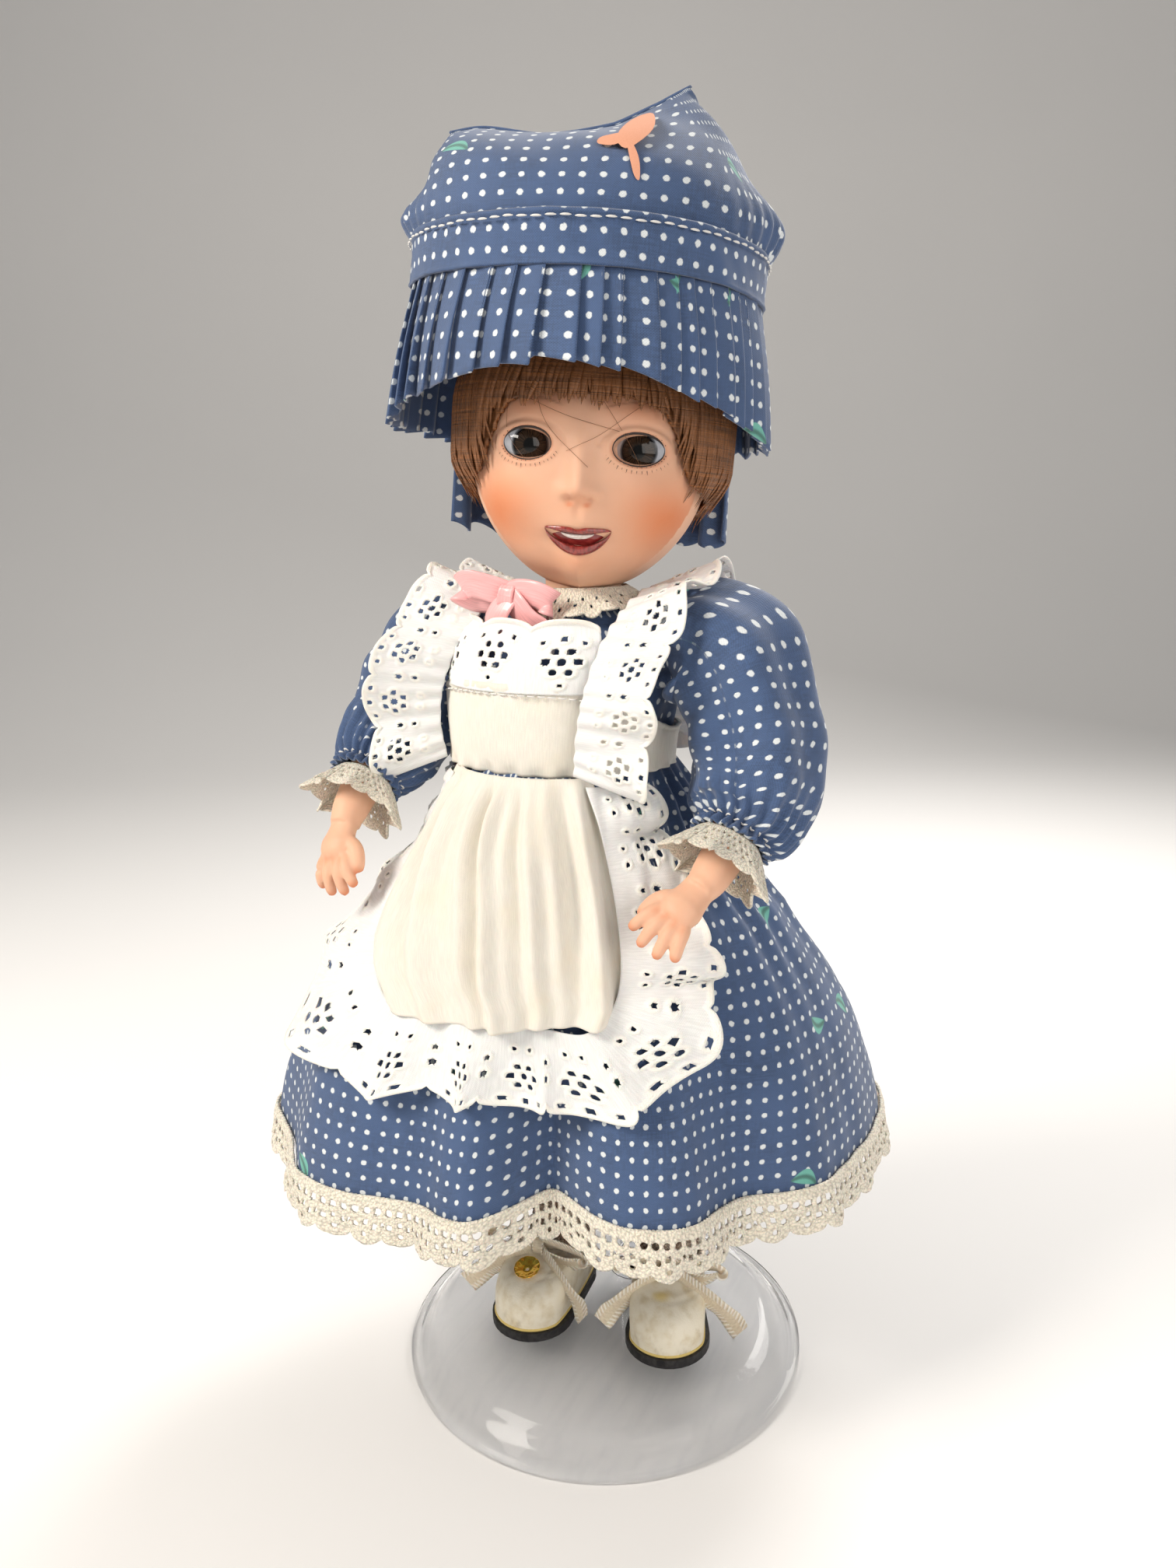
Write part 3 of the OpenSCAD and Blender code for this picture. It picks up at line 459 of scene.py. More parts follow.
# ---------------------------------------------------------------- finishes
def dotted_cotton():
    """Printed cotton: pin dots on a square grid, scattered leaves, thread colour and weave, with painted highlight on
    the raised threads of the weave and painted shade in the hollows between them.
    """
    c, s = colours(), sizes()
    m = Mix("dotted cotton", Roughness=0.82, Sheen_Weight=0.25, Sheen_Roughness=0.5)
    uv = m.coordinates("UV")
    pitch, radius = s.dot_pitch / MM, s.dot_radius / MM
    warp = m.node("TexNoise", None, Vector=uv, Scale=0.35, Detail=1.0)
    moved = m.node("VectorMath", {"operation": "MULTIPLY_ADD"}, i0=warp.outputs[1], i1=(0.5, 0.5, 0), i2=uv)
    x, y, _ = m.split(moved)
    # each dot: distance from the centre of its own square
    fx = m.maths("SUBTRACT", m.maths("FRACT", m.maths("DIVIDE", x, pitch)), 0.5)
    fy = m.maths("SUBTRACT", m.maths("FRACT", m.maths("DIVIDE", y, pitch)), 0.5)
    d = m.maths("SQRT", m.maths("ADD", m.maths("MULTIPLY", fx, fx), m.maths("MULTIPLY", fy, fy)))
    ragged = m.maths("MULTIPLY_ADD", m.noise(uv, 2.6, 2.0), 0.10, m.maths("SUBTRACT", d, 0.05))
    dot = m.maths("SUBTRACT", 1.0, m.ramp(ragged, radius / pitch - 0.03, radius / pitch + 0.035))
    # leaves: an ellipse turned by a random angle in a few cells
    leaf_pitch = s.leaf_pitch / MM
    cell = m.node("TexVoronoi", {"voronoi_dimensions": "2D"}, Vector=uv, Scale=1 / leaf_pitch,
                  Randomness=0.75)
    away = m.node("VectorMath", {"operation": "SUBTRACT"}, i0=uv, i1=cell.outputs[2])
    offset = m.node("VectorMath", {"operation": "SCALE"}, i0=away.outputs[0], Scale=1 / leaf_pitch)
    red, green, _ = m.split(cell.outputs[1])
    turned = m.node("VectorRotate", {"rotation_type": "Z_AXIS"}, Vector=offset.outputs[0],
                    Angle=m.maths("MULTIPLY", red, TAU))
    lx, ly, _ = m.split(turned.outputs[0])
    long_, wide = 3.4 / leaf_pitch, 1.7 / leaf_pitch
    bend = m.maths("MULTIPLY", m.maths("MULTIPLY", lx, lx), 3.2)
    ly = m.maths("ADD", ly, bend)
    shape = m.maths("ADD", m.maths("POWER", m.maths("ABSOLUTE", m.maths("DIVIDE", lx, long_)), 2.0),
                    m.maths("ABSOLUTE", m.maths("DIVIDE", ly, wide)))
    leaf = m.maths("MULTIPLY", m.maths("SUBTRACT", 1.0, m.ramp(shape, 0.86, 1.0)),
                   m.maths("GREATER_THAN", green, 0.45))
    vein = m.ramp(m.maths("ABSOLUTE", ly), 0.004, 0.03)
    thread = weave(m, uv)
    slub = m.noise(m.node("Mapping", None, Vector=uv, Scale=(3.2, 0.35, 1)), 1.0, 3.0, 0.6)
    slub2 = m.noise(m.node("Mapping", None, Vector=uv, Scale=(0.35, 3.2, 1)), 1.0, 3.0, 0.6)
    worn = m.noise(uv, 0.09, 3.0)
    base = tuple(c.cotton)
    ground = m.blend(m.ramp(m.maths("MULTIPLY", slub, slub2), 0.12, 0.40), shade(base, 0.70),
                     shade(base, 1.38))
    ground = m.blend(m.ramp(worn, 0.35, 0.75), ground, shade(base, 1.25))
    # painted highlight: the raised threads of the weave are lightened
    ground = m.blend(m.maths("MULTIPLY", thread, 0.35), ground, shade(base, 2.0))
    leafy = m.blend(vein, shade(tuple(c.leaf), 0.45), shade(tuple(c.leaf), 1.15))
    pattern = m.blend(leaf, m.blend(dot, ground, tuple(c.dot)), leafy)
    # painted shade: the hollows between the threads of the weave are darkened
    m.colour(m.blend(m.maths("MULTIPLY", m.maths("SUBTRACT", 1.0, thread), 0.16), pattern, shade(base, 0.5)))
    m.rough(m.maths("MULTIPLY_ADD", slub, 0.2, 0.7))
    m.bump(m.maths("ADD", thread, m.maths("MULTIPLY", slub, 1.3)), 0.45, 0.10)
    return m.material


def plain_cotton(name, colour, uneven=1.0):
    """Fine white cotton: weave, slubs, a slight yellowing in broad random patches, and painted shade in the hollows of
    the weave.
    """
    m = Mix(name, Roughness=0.85, Sheen_Weight=0.2, Subsurface_Weight=0.12, Subsurface_Scale=0.6 * MM)
    uv = m.coordinates("UV")
    thread = weave(m, uv, 0.36)
    slub = m.noise(m.node("Mapping", None, Vector=uv, Scale=(4.0, 0.3, 1)), 1.0, 3.0, 0.6)
    aged = m.noise(uv, 0.06, 3.0)
    ground = m.blend(m.ramp(slub, 0.3, 0.75), shade(colour, 0.90), shade(colour, 1.04))
    ground = m.blend(m.maths("MULTIPLY", m.ramp(aged, 0.45, 0.8), 0.5 * uneven), ground,
                     (colour[0] * 0.97, colour[1] * 0.90, colour[2] * 0.76))
    # painted shade: the hollows between the threads of the weave are darkened
    m.colour(m.blend(m.maths("MULTIPLY", m.maths("SUBTRACT", 1.0, thread), 0.14), ground,
                     shade(colour, 0.62)))
    m.rough(m.maths("MULTIPLY_ADD", slub, 0.15, 0.75))
    m.bump(m.maths("ADD", thread, m.maths("MULTIPLY", slub, 1.2)), 0.4, 0.09)
    return m.material


def apron_cotton():
    return plain_cotton("apron cotton", tuple(colours().apron))


def eyelet_cotton():
    """White eyelet cotton with painted shade in the hollows of its weave; paint.r marks the satin-stitched rims and
    edges.
    """
    c = tuple(colours().eyelet)
    m = Mix("eyelet cotton", Roughness=0.8, Sheen_Weight=0.2, Subsurface_Weight=0.12,
            Subsurface_Scale=0.6 * MM)
    uv = m.coordinates("UV")
    thread = weave(m, uv, 0.34)
    rim, _, _ = m.split(m.node("Attribute", {"attribute_name": "paint"}).outputs[0])
    stitch = m.noise(uv, 4.5, 2.0)
    slub = m.noise(m.node("Mapping", None, Vector=uv, Scale=(4.0, 0.3, 1)), 1.0, 3.0, 0.6)
    ground = m.blend(m.ramp(slub, 0.3, 0.75), shade(c, 0.88), shade(c, 1.02))
    # painted shade: the hollows between the threads of the weave are darkened
    ground = m.blend(m.maths("MULTIPLY", m.maths("SUBTRACT", 1.0, thread), 0.2), ground, shade(c, 0.62))
    m.colour(m.blend(rim, ground, (min(1, c[0] * 1.08), c[1] * 1.05, c[2] * 0.98)))
    m.rough(m.maths("MULTIPLY_ADD", rim, -0.3, 0.82))
    height = m.maths("ADD", m.maths("MULTIPLY", thread, 0.6),
                     m.maths("MULTIPLY", rim, m.maths("MULTIPLY_ADD", stitch, 3.0, 1.0)))
    m.bump(height, 0.6, 0.12)
    return m.material


def crochet():
    """Cream cotton lace: twisted thread loops."""
    c = tuple(colours().lace)
    m = Mix("crochet lace", Roughness=0.85, Sheen_Weight=0.25, Subsurface_Weight=0.12,
            Subsurface_Scale=0.6 * MM)
    p = m.coordinates("UV")
    loops = m.node("TexVoronoi", {"voronoi_dimensions": "2D"}, Vector=p, Scale=1.7)
    twist = m.noise(p, 3.4, 3.0)
    tone = m.ramp(loops.outputs[0], 0.1, 0.75)
    m.colour(m.blend(tone, shade(c, 1.06), m.blend(m.ramp(twist, 0.3, 0.8), shade(c, 0.62), shade(c, 0.9))))
    m.rough(0.85)
    m.bump(m.maths("ADD", m.maths("SUBTRACT", 1.0, loops.outputs[0]), twist), 0.9, 0.3)
    return m.material


def bisque(name="bisque", painted=False):
    """Fired unglazed porcelain with china paint. paint.r is blush, paint.g a fingertip or crease,
    paint.b hair-fine brow strokes."""
    c = colours()
    m = Mix(name, Roughness=0.55, Subsurface_Weight=0.20, Subsurface_Scale=2.0 * MM, Specular_IOR_Level=0.28)
    m.shader.inputs["Subsurface Radius"].default_value = (1.0, 0.45, 0.25)
    p = m.coordinates("Object")
    grain = m.noise(p, 1.6, 4.0)
    cloud = m.noise(p, 0.10, 3.0)
    base = m.blend(m.ramp(cloud, 0.35, 0.7), shade(tuple(c.bisque), 0.97), shade(tuple(c.bisque), 1.05))
    blush, crease, brow = m.split(m.node("Attribute", {"attribute_name": "paint"}).outputs[0])
    mottled = m.maths("MULTIPLY", blush, m.maths("MULTIPLY_ADD", cloud, 0.5, 0.75), clamp=True)
    skin = m.blend(mottled, base, tuple(c.blush))
    skin = m.blend(crease, skin, (0.62, 0.20, 0.09))
    m.colour(m.blend(brow, skin, (0.16, 0.05, 0.03)))
    m.rough(m.maths("MULTIPLY_ADD", grain, 0.18, 0.46))
    m.bump(grain, 0.10, 0.06)
    return m.material


def lip_paint():
    c = tuple(colours().lips)
    m = Mix("lip paint", Roughness=0.12, Coat_Weight=0.8, Coat_Roughness=0.05)
    p = m.coordinates("Object")
    lines = m.noise(m.node("Mapping", None, Vector=p, Scale=(2.2, 2.2, 0.35)), 1.0, 3.0)
    m.colour(m.blend(m.ramp(lines, 0.35, 0.7), shade(c, 0.7), shade(c, 1.5)))
    m.rough(m.maths("MULTIPLY_ADD", lines, 0.10, 0.10))
    m.bump(lines, 0.15, 0.1)
    return m.material


def mouth_paint():
    m = Mix("mouth paint", Roughness=0.2, Coat_Weight=0.5)
    p = m.coordinates("Object")
    tone = m.noise(p, 0.8, 2.0)
    m.colour(m.blend(m.ramp(tone, 0.35, 0.7), (0.16, 0.012, 0.012), (0.26, 0.03, 0.025)))
    return m.material


def tooth_paint():
    m = Mix("tooth paint", Roughness=0.18, Coat_Weight=0.5)
    p = m.coordinates("Object")
    m.colour(m.blend(m.ramp(m.noise(p, 1.2, 2.0), 0.3, 0.7), (0.72, 0.62, 0.56), (0.86, 0.80, 0.76)))
    return m.material


def eye_glass():
    """Blown glass eye; paint.r grows from the pupil to the iris edge, paint.g marks the white."""
    m = Mix("eye glass", Roughness=0.06, Coat_Weight=0.15, Coat_Roughness=0.01, IOR=1.45,
            Specular_IOR_Level=0.30)
    run, white, angle = m.split(m.node("Attribute", {"attribute_name": "paint"}).outputs[0])
    spokes = m.node("TexNoise", {"noise_dimensions": "1D"}, W=angle, Scale=60.0, Detail=3.0).outputs[0]
    iris = m.blend(m.ramp(spokes, 0.3, 0.7), (0.008, 0.005, 0.004), (0.045, 0.026, 0.014))
    ring = m.ramp(run, 0.30, 0.42)
    iris = m.blend(ring, (0.002, 0.002, 0.002), iris)
    rim = m.ramp(run, 0.74, 0.95)
    iris = m.blend(rim, iris, (0.003, 0.003, 0.004))
    ball = m.blend(m.ramp(m.noise(m.coordinates("Object"), 0.4, 2.0), 0.3, 0.7),
                   (0.34, 0.35, 0.39), (0.46, 0.47, 0.50))
    m.colour(m.blend(white, iris, ball))
    return m.material


def lash_paint():
    m = Mix("lash paint", Roughness=0.5)
    m.colour(m.blend(m.noise(m.coordinates("Object"), 2.0), (0.010, 0.006, 0.006), (0.035, 0.018, 0.014)))
    return m.material


def hair():
    """Auburn fibre: streaks that run along the lock, from the piece's own UV."""
    c = tuple(colours().hair)
    m = Mix("wig fibre", Roughness=0.42, Anisotropic=0.5, Coat_Weight=0.1, Coat_Roughness=0.3)
    uv = m.coordinates("UV")
    fine = m.noise(m.node("Mapping", None, Vector=uv, Scale=(0.05, 5.5, 1)), 1.0, 4.0, 0.65)
    lock = m.noise(m.node("Mapping", None, Vector=uv, Scale=(0.02, 0.9, 1)), 1.0, 3.0)
    tone = m.blend(m.ramp(fine, 0.3, 0.72), shade(c, 0.35), shade(c, 2.1))
    tone = m.blend(m.maths("MULTIPLY", m.ramp(lock, 0.4, 0.75), 0.5), tone, shade(c, 0.6))
    m.colour(tone)
    m.rough(m.maths("MULTIPLY_ADD", fine, 0.25, 0.30))
    m.bump(m.maths("ADD", fine, lock), 0.7, 0.25)
    return m.material


def satin():
    c = tuple(colours().satin)
    m = Mix("satin", Roughness=0.28, Anisotropic=0.7, Sheen_Weight=0.3, Coat_Weight=0.15)
    uv = m.coordinates("UV")
    rib = m.noise(m.node("Mapping", None, Vector=uv, Scale=(0.2, 7.0, 1)), 1.0, 2.0)
    m.colour(m.blend(m.ramp(rib, 0.3, 0.7), shade(c, 0.85), shade(c, 1.12)))
    m.rough(m.maths("MULTIPLY_ADD", rib, 0.14, 0.24))
    m.bump(rib, 0.25, 0.06)
    return m.material


def organza():
    """Cream sheer ribbon: shiny stitched edges and a rib of stitches; uv y is 50 at its middle."""
    m = Mix("ribbon", Roughness=0.35, Sheen_Weight=0.3, Subsurface_Weight=0.1, Subsurface_Scale=0.5 * MM)
    uv = m.coordinates("UV")
    x, y, _ = m.split(uv)
    off = m.maths("ABSOLUTE", m.maths("SUBTRACT", y, 50.0))
    edge = m.ramp(off, 0.95, 1.25)
    stitch = m.maths("SINE", m.maths("MULTIPLY_ADD", x, TAU / 0.85, m.maths("MULTIPLY", off, 3.0)))
    thread = m.noise(m.node("Mapping", None, Vector=uv, Scale=(5.0, 1.0, 1)), 1.0, 2.0)
    body = m.blend(m.ramp(thread, 0.3, 0.7), (0.66, 0.56, 0.40), (0.82, 0.72, 0.55))
    m.colour(m.blend(m.maths("MULTIPLY", edge, m.ramp(stitch, -0.2, 0.6)), body, (0.93, 0.88, 0.78)))
    m.rough(m.maths("MULTIPLY_ADD", edge, -0.15, 0.42))
    m.bump(m.maths("ADD", m.maths("MULTIPLY", edge, stitch), thread), 0.5, 0.12)
    return m.material


def knit():
    """Brown speckled sock knit, with painted shade between its rows."""
    m = Mix("sock knit", Roughness=0.9, Sheen_Weight=0.4)
    uv = m.coordinates("UV")
    x, y, _ = m.split(uv)
    rib = m.maths("SINE", m.maths("MULTIPLY", x, TAU / 0.9))
    row = m.maths("SINE", m.maths("MULTIPLY_ADD", y, TAU / 0.8, m.maths("MULTIPLY", rib, 1.2)))
    fleck = m.noise(uv, 1.1, 4.0, 0.7)
    tone = m.blend(m.ramp(fleck, 0.38, 0.62), (0.22, 0.11, 0.06), (0.62, 0.50, 0.36))
    tone = m.blend(m.ramp(m.noise(uv, 0.5, 3.0), 0.5, 0.75), tone, (0.74, 0.64, 0.50))
    # painted shade: the hollows between the knit's rows are darkened
    m.colour(m.blend(m.maths("MULTIPLY", m.maths("SUBTRACT", 1.0, m.ramp(row, -1.0, 1.0)), 0.3), tone,
                     (0.10, 0.05, 0.03)))
    m.bump(m.maths("ADD", m.maths("MULTIPLY", rib, 0.7), row), 0.7, 0.2)
    return m.material


def leathercloth():
    """Cream leathercloth with rubbed grey edges; paint.r marks rubbed places, paint.g a glue stain."""
    c = tuple(colours().shoe)
    m = Mix("shoe leathercloth", Roughness=0.5, Coat_Weight=0.1)
    p = m.coordinates("Object")
    pebble = m.node("TexVoronoi", None, Vector=p, Scale=2.4).outputs[0]
    soil = m.noise(p, 0.35, 4.0)
    worn, glue, _ = m.split(m.node("Attribute", {"attribute_name": "paint"}).outputs[0])
    tone = m.blend(m.ramp(soil, 0.40, 0.75), shade(c, 1.03), (c[0] * 0.86, c[1] * 0.80, c[2] * 0.68))
    tone = m.blend(m.maths("MULTIPLY", worn, m.ramp(soil, 0.3, 0.6)), tone, (0.30, 0.24, 0.17))
    m.colour(m.blend(glue, tone, (0.66, 0.50, 0.16)))
    m.rough(m.maths("MULTIPLY_ADD", soil, 0.25, 0.38))
    m.bump(m.maths("ADD", pebble, soil), 0.25, 0.12)
    return m.material


def sole_black():
    m = Mix("sole board", Roughness=0.6)
    p = m.coordinates("Object")
    n = m.noise(p, 0.9, 4.0)
    m.colour(m.blend(m.ramp(n, 0.35, 0.7), (0.006, 0.006, 0.007), (0.035, 0.032, 0.032)))
    m.rough(m.maths("MULTIPLY_ADD", n, 0.3, 0.45))
    m.bump(n, 0.3, 0.2)
    return m.material


def sequin_gilt():
    m = Mix("sequin", Roughness=0.12, Metallic=0.75, Coat_Weight=1.0, Coat_Roughness=0.05)
    p = m.coordinates("Object")
    n = m.noise(p, 0.9, 2.0)
    m.colour(m.blend(m.ramp(n, 0.35, 0.65), (0.85, 0.42, 0.02), (1.0, 0.72, 0.08)))
    m.bump(n, 0.1, 0.1)
    return m.material


def clear_plastic():
    """Water-clear moulding with fine scuffs."""
    m = Mix("clear plastic", Roughness=0.03, Transmission_Weight=1.0, IOR=1.2, Specular_IOR_Level=0.7)
    p = m.coordinates("Object")
    scuff = m.noise(m.node("Mapping", None, Vector=p, Scale=(0.5, 0.05, 0.5), Rotation=(0, 0, 0.6)), 1.0, 5.0)
    m.rough(m.maths("MULTIPLY", m.ramp(scuff, 0.55, 0.8), 0.12))
    m.colour(m.blend(m.ramp(scuff, 0.45, 0.8), (0.97, 0.975, 0.985), (0.90, 0.91, 0.93)))
    m.bump(m.ramp(scuff, 0.6, 0.75), 0.04, 0.05)
    return m.material


def steel():
    m = Mix("steel wire", Metallic=1.0, Roughness=0.3)
    p = m.coordinates("Object")
    n = m.noise(m.node("Mapping", None, Vector=p, Scale=(3, 3, 0.2)), 1.0, 3.0)
    m.colour(m.blend(n, (0.42, 0.42, 0.43), (0.66, 0.66, 0.67)))
    m.rough(m.maths("MULTIPLY_ADD", n, 0.2, 0.2))
    m.bump(n, 0.1, 0.05)
    return m.material


def elastic():
    m = Mix("elastic cord", Roughness=0.8)
    p = m.coordinates("Object")
    n = m.node("TexWave", None, Vector=p, Scale=1.4, Distortion=1.0).outputs[1]
    m.colour(m.blend(n, (0.62, 0.60, 0.54), (0.82, 0.80, 0.75)))
    m.bump(n, 0.5, 0.2)
    return m.material


def plaster():
    m = Mix("plaster", Roughness=0.95)
    n = m.noise(m.coordinates("Object"), 0.8, 5.0)
    m.colour(m.blend(n, (0.60, 0.58, 0.54), (0.80, 0.78, 0.74)))
    m.bump(n, 0.6, 0.4)
    return m.material


def card():
    m = Mix("pressed card", Roughness=0.9)
    n = m.noise(m.coordinates("Object"), 1.5, 5.0)
    m.colour(m.blend(n, (0.40, 0.31, 0.19), (0.58, 0.47, 0.32)))
    m.bump(n, 0.4, 0.2)
    return m.material


def stitching(name, light, dark):
    """Twisted sewing thread."""
    m = Mix(name, Roughness=0.7)
    n = m.noise(m.coordinates("Object"), 5.0, 2.0)
    m.colour(m.blend(n, dark, light))
    m.bump(n, 0.4, 0.1)
    return m.material


FINISHES = {
    "dotted cotton": dotted_cotton, "apron cotton": apron_cotton, "eyelet": eyelet_cotton,
    "underwear": lambda: plain_cotton("underwear cotton", (0.85, 0.84, 0.80)),
    "lace": crochet, "bisque": bisque, "lips": lip_paint, "mouth": mouth_paint, "teeth": tooth_paint,
    "eye": eye_glass, "lashes": lash_paint, "hair": hair, "satin": satin, "organza": organza,
    "knit": knit, "shoe": leathercloth, "sole": sole_black, "sequin": sequin_gilt,
    "clear": clear_plastic, "steel": steel, "elastic": elastic, "plaster": plaster, "card": card,
    "white thread": lambda: stitching("white thread", (0.80, 0.79, 0.76), (0.60, 0.58, 0.55)),
    "peach print": lambda: stitching("peach print", (0.80, 0.40, 0.26), (0.68, 0.30, 0.18)),
}


# ---------------------------------------------------------------- stage
CAMERA_AZIMUTH = 27.0
CAMERA_PITCH = 13.2
CAMERA_DISTANCE = 235.0   # level distance from the middle of the stand's base, mm
CAMERA_HEIGHT = 185.6
CAMERA_ASIDE = -1.3
CAMERA_ROLL = -1.2
FOCAL_SHARE = 1500 / 2016  # focal length as a share of the frame's long side
SENSOR = 36.0


class DOLL_OT_stage(bpy.types.Operator):
    """Makes the floor, the soft lights and the camera."""

    bl_idname = "doll.stage"
    bl_label = "Stage"

    def execute(self, context):
        scene = context.scene
        world = bpy.data.worlds.new("studio")
        scene.world = world
        world.use_nodes = True
        sky = world.node_tree.nodes["Background"]
        sky.inputs["Color"].default_value = (1.0, 0.985, 0.965, 1)
        sky.inputs["Strength"].default_value = 0.30
        scene.view_settings.view_transform = "Standard"
        self.floor()
        self.light("key", (-320, -430, 520), 260, 4.5, (1.0, 0.94, 0.86))
        self.light("fill", (480, -300, 300), 420, 1.6, (1.0, 0.95, 0.90))
        self.light("rim", (60, 420, 480), 300, 3.0, (1.0, 0.97, 0.93))
        self.camera(scene)
        return {"FINISHED"}

    def floor(self):
        """A sweep: flat under the doll, then a quarter circle up to a wall behind it."""
        u, v = grid(60, 12)
        run = (u - 0.35) * 2600
        bend = 500.0
        flat = 600.0
        a = np.clip((run - flat) / bend, 0, math.pi / 2)
        y = np.where(run < flat, run, flat + bend * np.sin(a))
        z = np.where(run < flat, 0, bend * (1 - np.cos(a))) + np.maximum(run - flat - bend * math.pi / 2, 0)
        x = (v - 0.5) * 3600
        az = math.radians(CAMERA_AZIMUTH)
        p = turn_z(np.stack([x, y, z], -1), az)
        o = piece("floor", p, quads(60, 12), flip=True)
        m = Mix("pale floor", Roughness=0.9)
        n = m.noise(m.coordinates("Object"), 0.004, 2.0)
        m.colour(m.blend(n, (0.80, 0.79, 0.78), (0.84, 0.83, 0.82)))
        o.data.materials.append(m.material)

    def light(self, name, place, size, power, colour):
        data = bpy.data.lights.new(name, "AREA")
        data.size = size * MM
        data.energy = power
        data.color = colour
        o = bpy.data.objects.new(name, data)
        o.location = Vector(place) * MM
        o.rotation_euler = (Vector((0, 0, 130)) * MM - o.location).to_track_quat("-Z", "Y").to_euler()
        bpy.context.scene.collection.objects.link(o)

    def camera(self, scene):
        data = bpy.data.cameras.new("camera")
        data.sensor_width = SENSOR
        data.lens = SENSOR * FOCAL_SHARE
        data.clip_start = 5 * MM
        data.clip_end = 10
        o = bpy.data.objects.new("camera", data)
        a, p = math.radians(CAMERA_AZIMUTH), math.radians(CAMERA_PITCH)
        right = Vector((math.cos(a), math.sin(a), 0))
        level_ = Vector((-math.sin(a), math.cos(a), 0))
        forward = level_ * math.cos(p) - Vector((0, 0, math.sin(p)))
        eye = right * CAMERA_ASIDE - level_ * CAMERA_DISTANCE + Vector((0, 0, CAMERA_HEIGHT))
        turn = forward.to_track_quat("-Z", "Y").to_matrix() @ Matrix.Rotation(math.radians(CAMERA_ROLL), 3,
                                                            "Z")
        o.matrix_world = Matrix.Translation(eye * MM) @ turn.to_4x4()
        scene.collection.objects.link(o)
        scene.camera = o


# ---------------------------------------------------------------- stand
class DOLL_OT_stand(bpy.types.Operator):
    """Makes the clear moulded base and finishes the post, rod and clip."""

    bl_idname = "doll.stand"
    bl_label = "Clear stand"

    def execute(self, context):
        _, high = [np.array(c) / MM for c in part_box("stand_base")]
        r = high[0]
        # Outline of the dish, from the middle of the top, over the rim, back under: (radius, height).
        top = [(0, 7), (20, 7), (33, 7), (36.2, 6.95), (37.4, 6.6), (38.6, 5.6), (40, 4.2), (41.5, 2.9),
               (43.2, 2.1), (r - 0.25, 1.75), (r, 1.2), (r - 0.1, 0.35), (r - 0.7, 0), (42.9, 0.1),
               (41.9, 0.9), (40.2, 2.4), (38.6, 3.9), (37.2, 4.7), (35.8, 5.0), (33, 5.05), (18, 5.05),
               (0, 5.05)]
        s = np.linspace(0, 1, 150)
        line = spline(s, top)
        line[0, 0] = line[-1, 0] = 0
        a = np.linspace(0, TAU, 180, endpoint=False)
        p = np.stack(np.broadcast_arrays(line[:, :1] * np.cos(a), line[:, :1] * np.sin(a), line[:, 1:]), -1)
        base = piece("clear_base", p, quads(150, 180, wrap_v=True))
        outwards(base)
        boss_low, boss_high = [np.array(c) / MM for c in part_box("stand_post")]
        y = (boss_low[1] + boss_high[1]) / 2
        ring = spline(np.linspace(0, 1, 40), [(3.1, 7.0), (5.6, 7.0), (4.9, 7.5), (4.4, 8.6), (4.3, 10.4),
                                              (4.0, 11.0), (3.3, 11.0), (3.1, 10.6), (3.1, 7.0)])
        b = np.linspace(0, TAU, 64, endpoint=False)
        q = np.stack(np.broadcast_arrays(ring[:, :1] * np.cos(b), y + ring[:, :1] * np.sin(b), ring[:, 1:]),
                     -1)
        socket = piece("post_socket", q, quads(40, 64, wrap_v=True))
        outwards(socket)
        whole = join("clear_base", [base, socket])
        dress(whole, material("clear"), "stand", "clear_plastic", "stand_base")
        for node, finish in (("stand_post", "clear"), ("post_rod", "steel"), ("waist_clip", "steel")):
            finish_node(node, finish)
        return {"FINISHED"}


def finish_node(node, finish):
    """Gives a CAD node that stays its finish."""
    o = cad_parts[node]
    for slot_ in o.material_slots:
        slot_.material = material(finish)
    if not o.material_slots:
        raise RuntimeError(f"{node} has no material slot")


# ---------------------------------------------------------------- head
HEAD_MID = 196.0          # height of the head's middle, mm
EYE_X, EYE_Z = 9.8, 196.6
EYE_WIDE, EYE_TALL = 4.45, 2.8
EYE_BALL = 6.6


def face_radius(d):
    """Distance of the porcelain from the head's middle along unit directions d: an egg, plus bells
    for brow, eye hollows, nose, cheeks, lips and chin."""
    x, y, z = d[..., 0], d[..., 1], d[..., 2]
    egg = 1 / np.sqrt((x / 22.6) ** 2 + (y / 23.0) ** 2 + (z / 26.4) ** 2)
    across = np.degrees(np.arctan2(x, -y))
    up = np.degrees(np.arcsin(np.clip(z, -1, 1)))
    front = np.where(y < 0.1, 1.0, 0.0)
    jaw = smooth(-up, 8, 62)
    r = egg - 1.0 * jaw * np.abs(np.sin(np.radians(across)))
    r = r - 0.9 * bump(np.abs(across) - 25, up - 2, 13, 8.5) * front          # eye hollows
    r = r + 0.5 * bump(np.abs(across) - 22, up - 16, 16, 5) * front            # brow
    r = r + 1.0 * bump(np.abs(across) - 33, up + 22, 15, 13) * front           # cheeks
    r = r + 0.8 * bump(across, up - 1, 5.0, 8.0) * front                       # bridge
    r = r + 2.0 * bump(across, up + 9, 5.2, 8.0) * front                       # nose
    r = r + 1.7 * bump(across, up + 16.0, 5.4, 4.4) * front                    # nose tip
    r = r + 0.75 * bump(np.abs(across) - 7.2, up + 17.4, 3.6, 3.2) * front     # nostril wings
    r = r - 0.7 * bump(np.abs(across) - 4.2, up + 20.6, 2.2, 1.7) * front      # nostrils
    r = r + 1.25 * bump(across, up + 31, 17, 12) * front                       # muzzle
    r = r - 0.35 * bump(across, up + 24.5, 2.2, 4.0) * front                   # philtrum
    r = r - 0.8 * bump(across, up + 42.5, 13, 3.6) * front                     # under the lip
    r = r + 1.7 * bump(across, up + 53, 13, 10) * front                        # chin
    return r


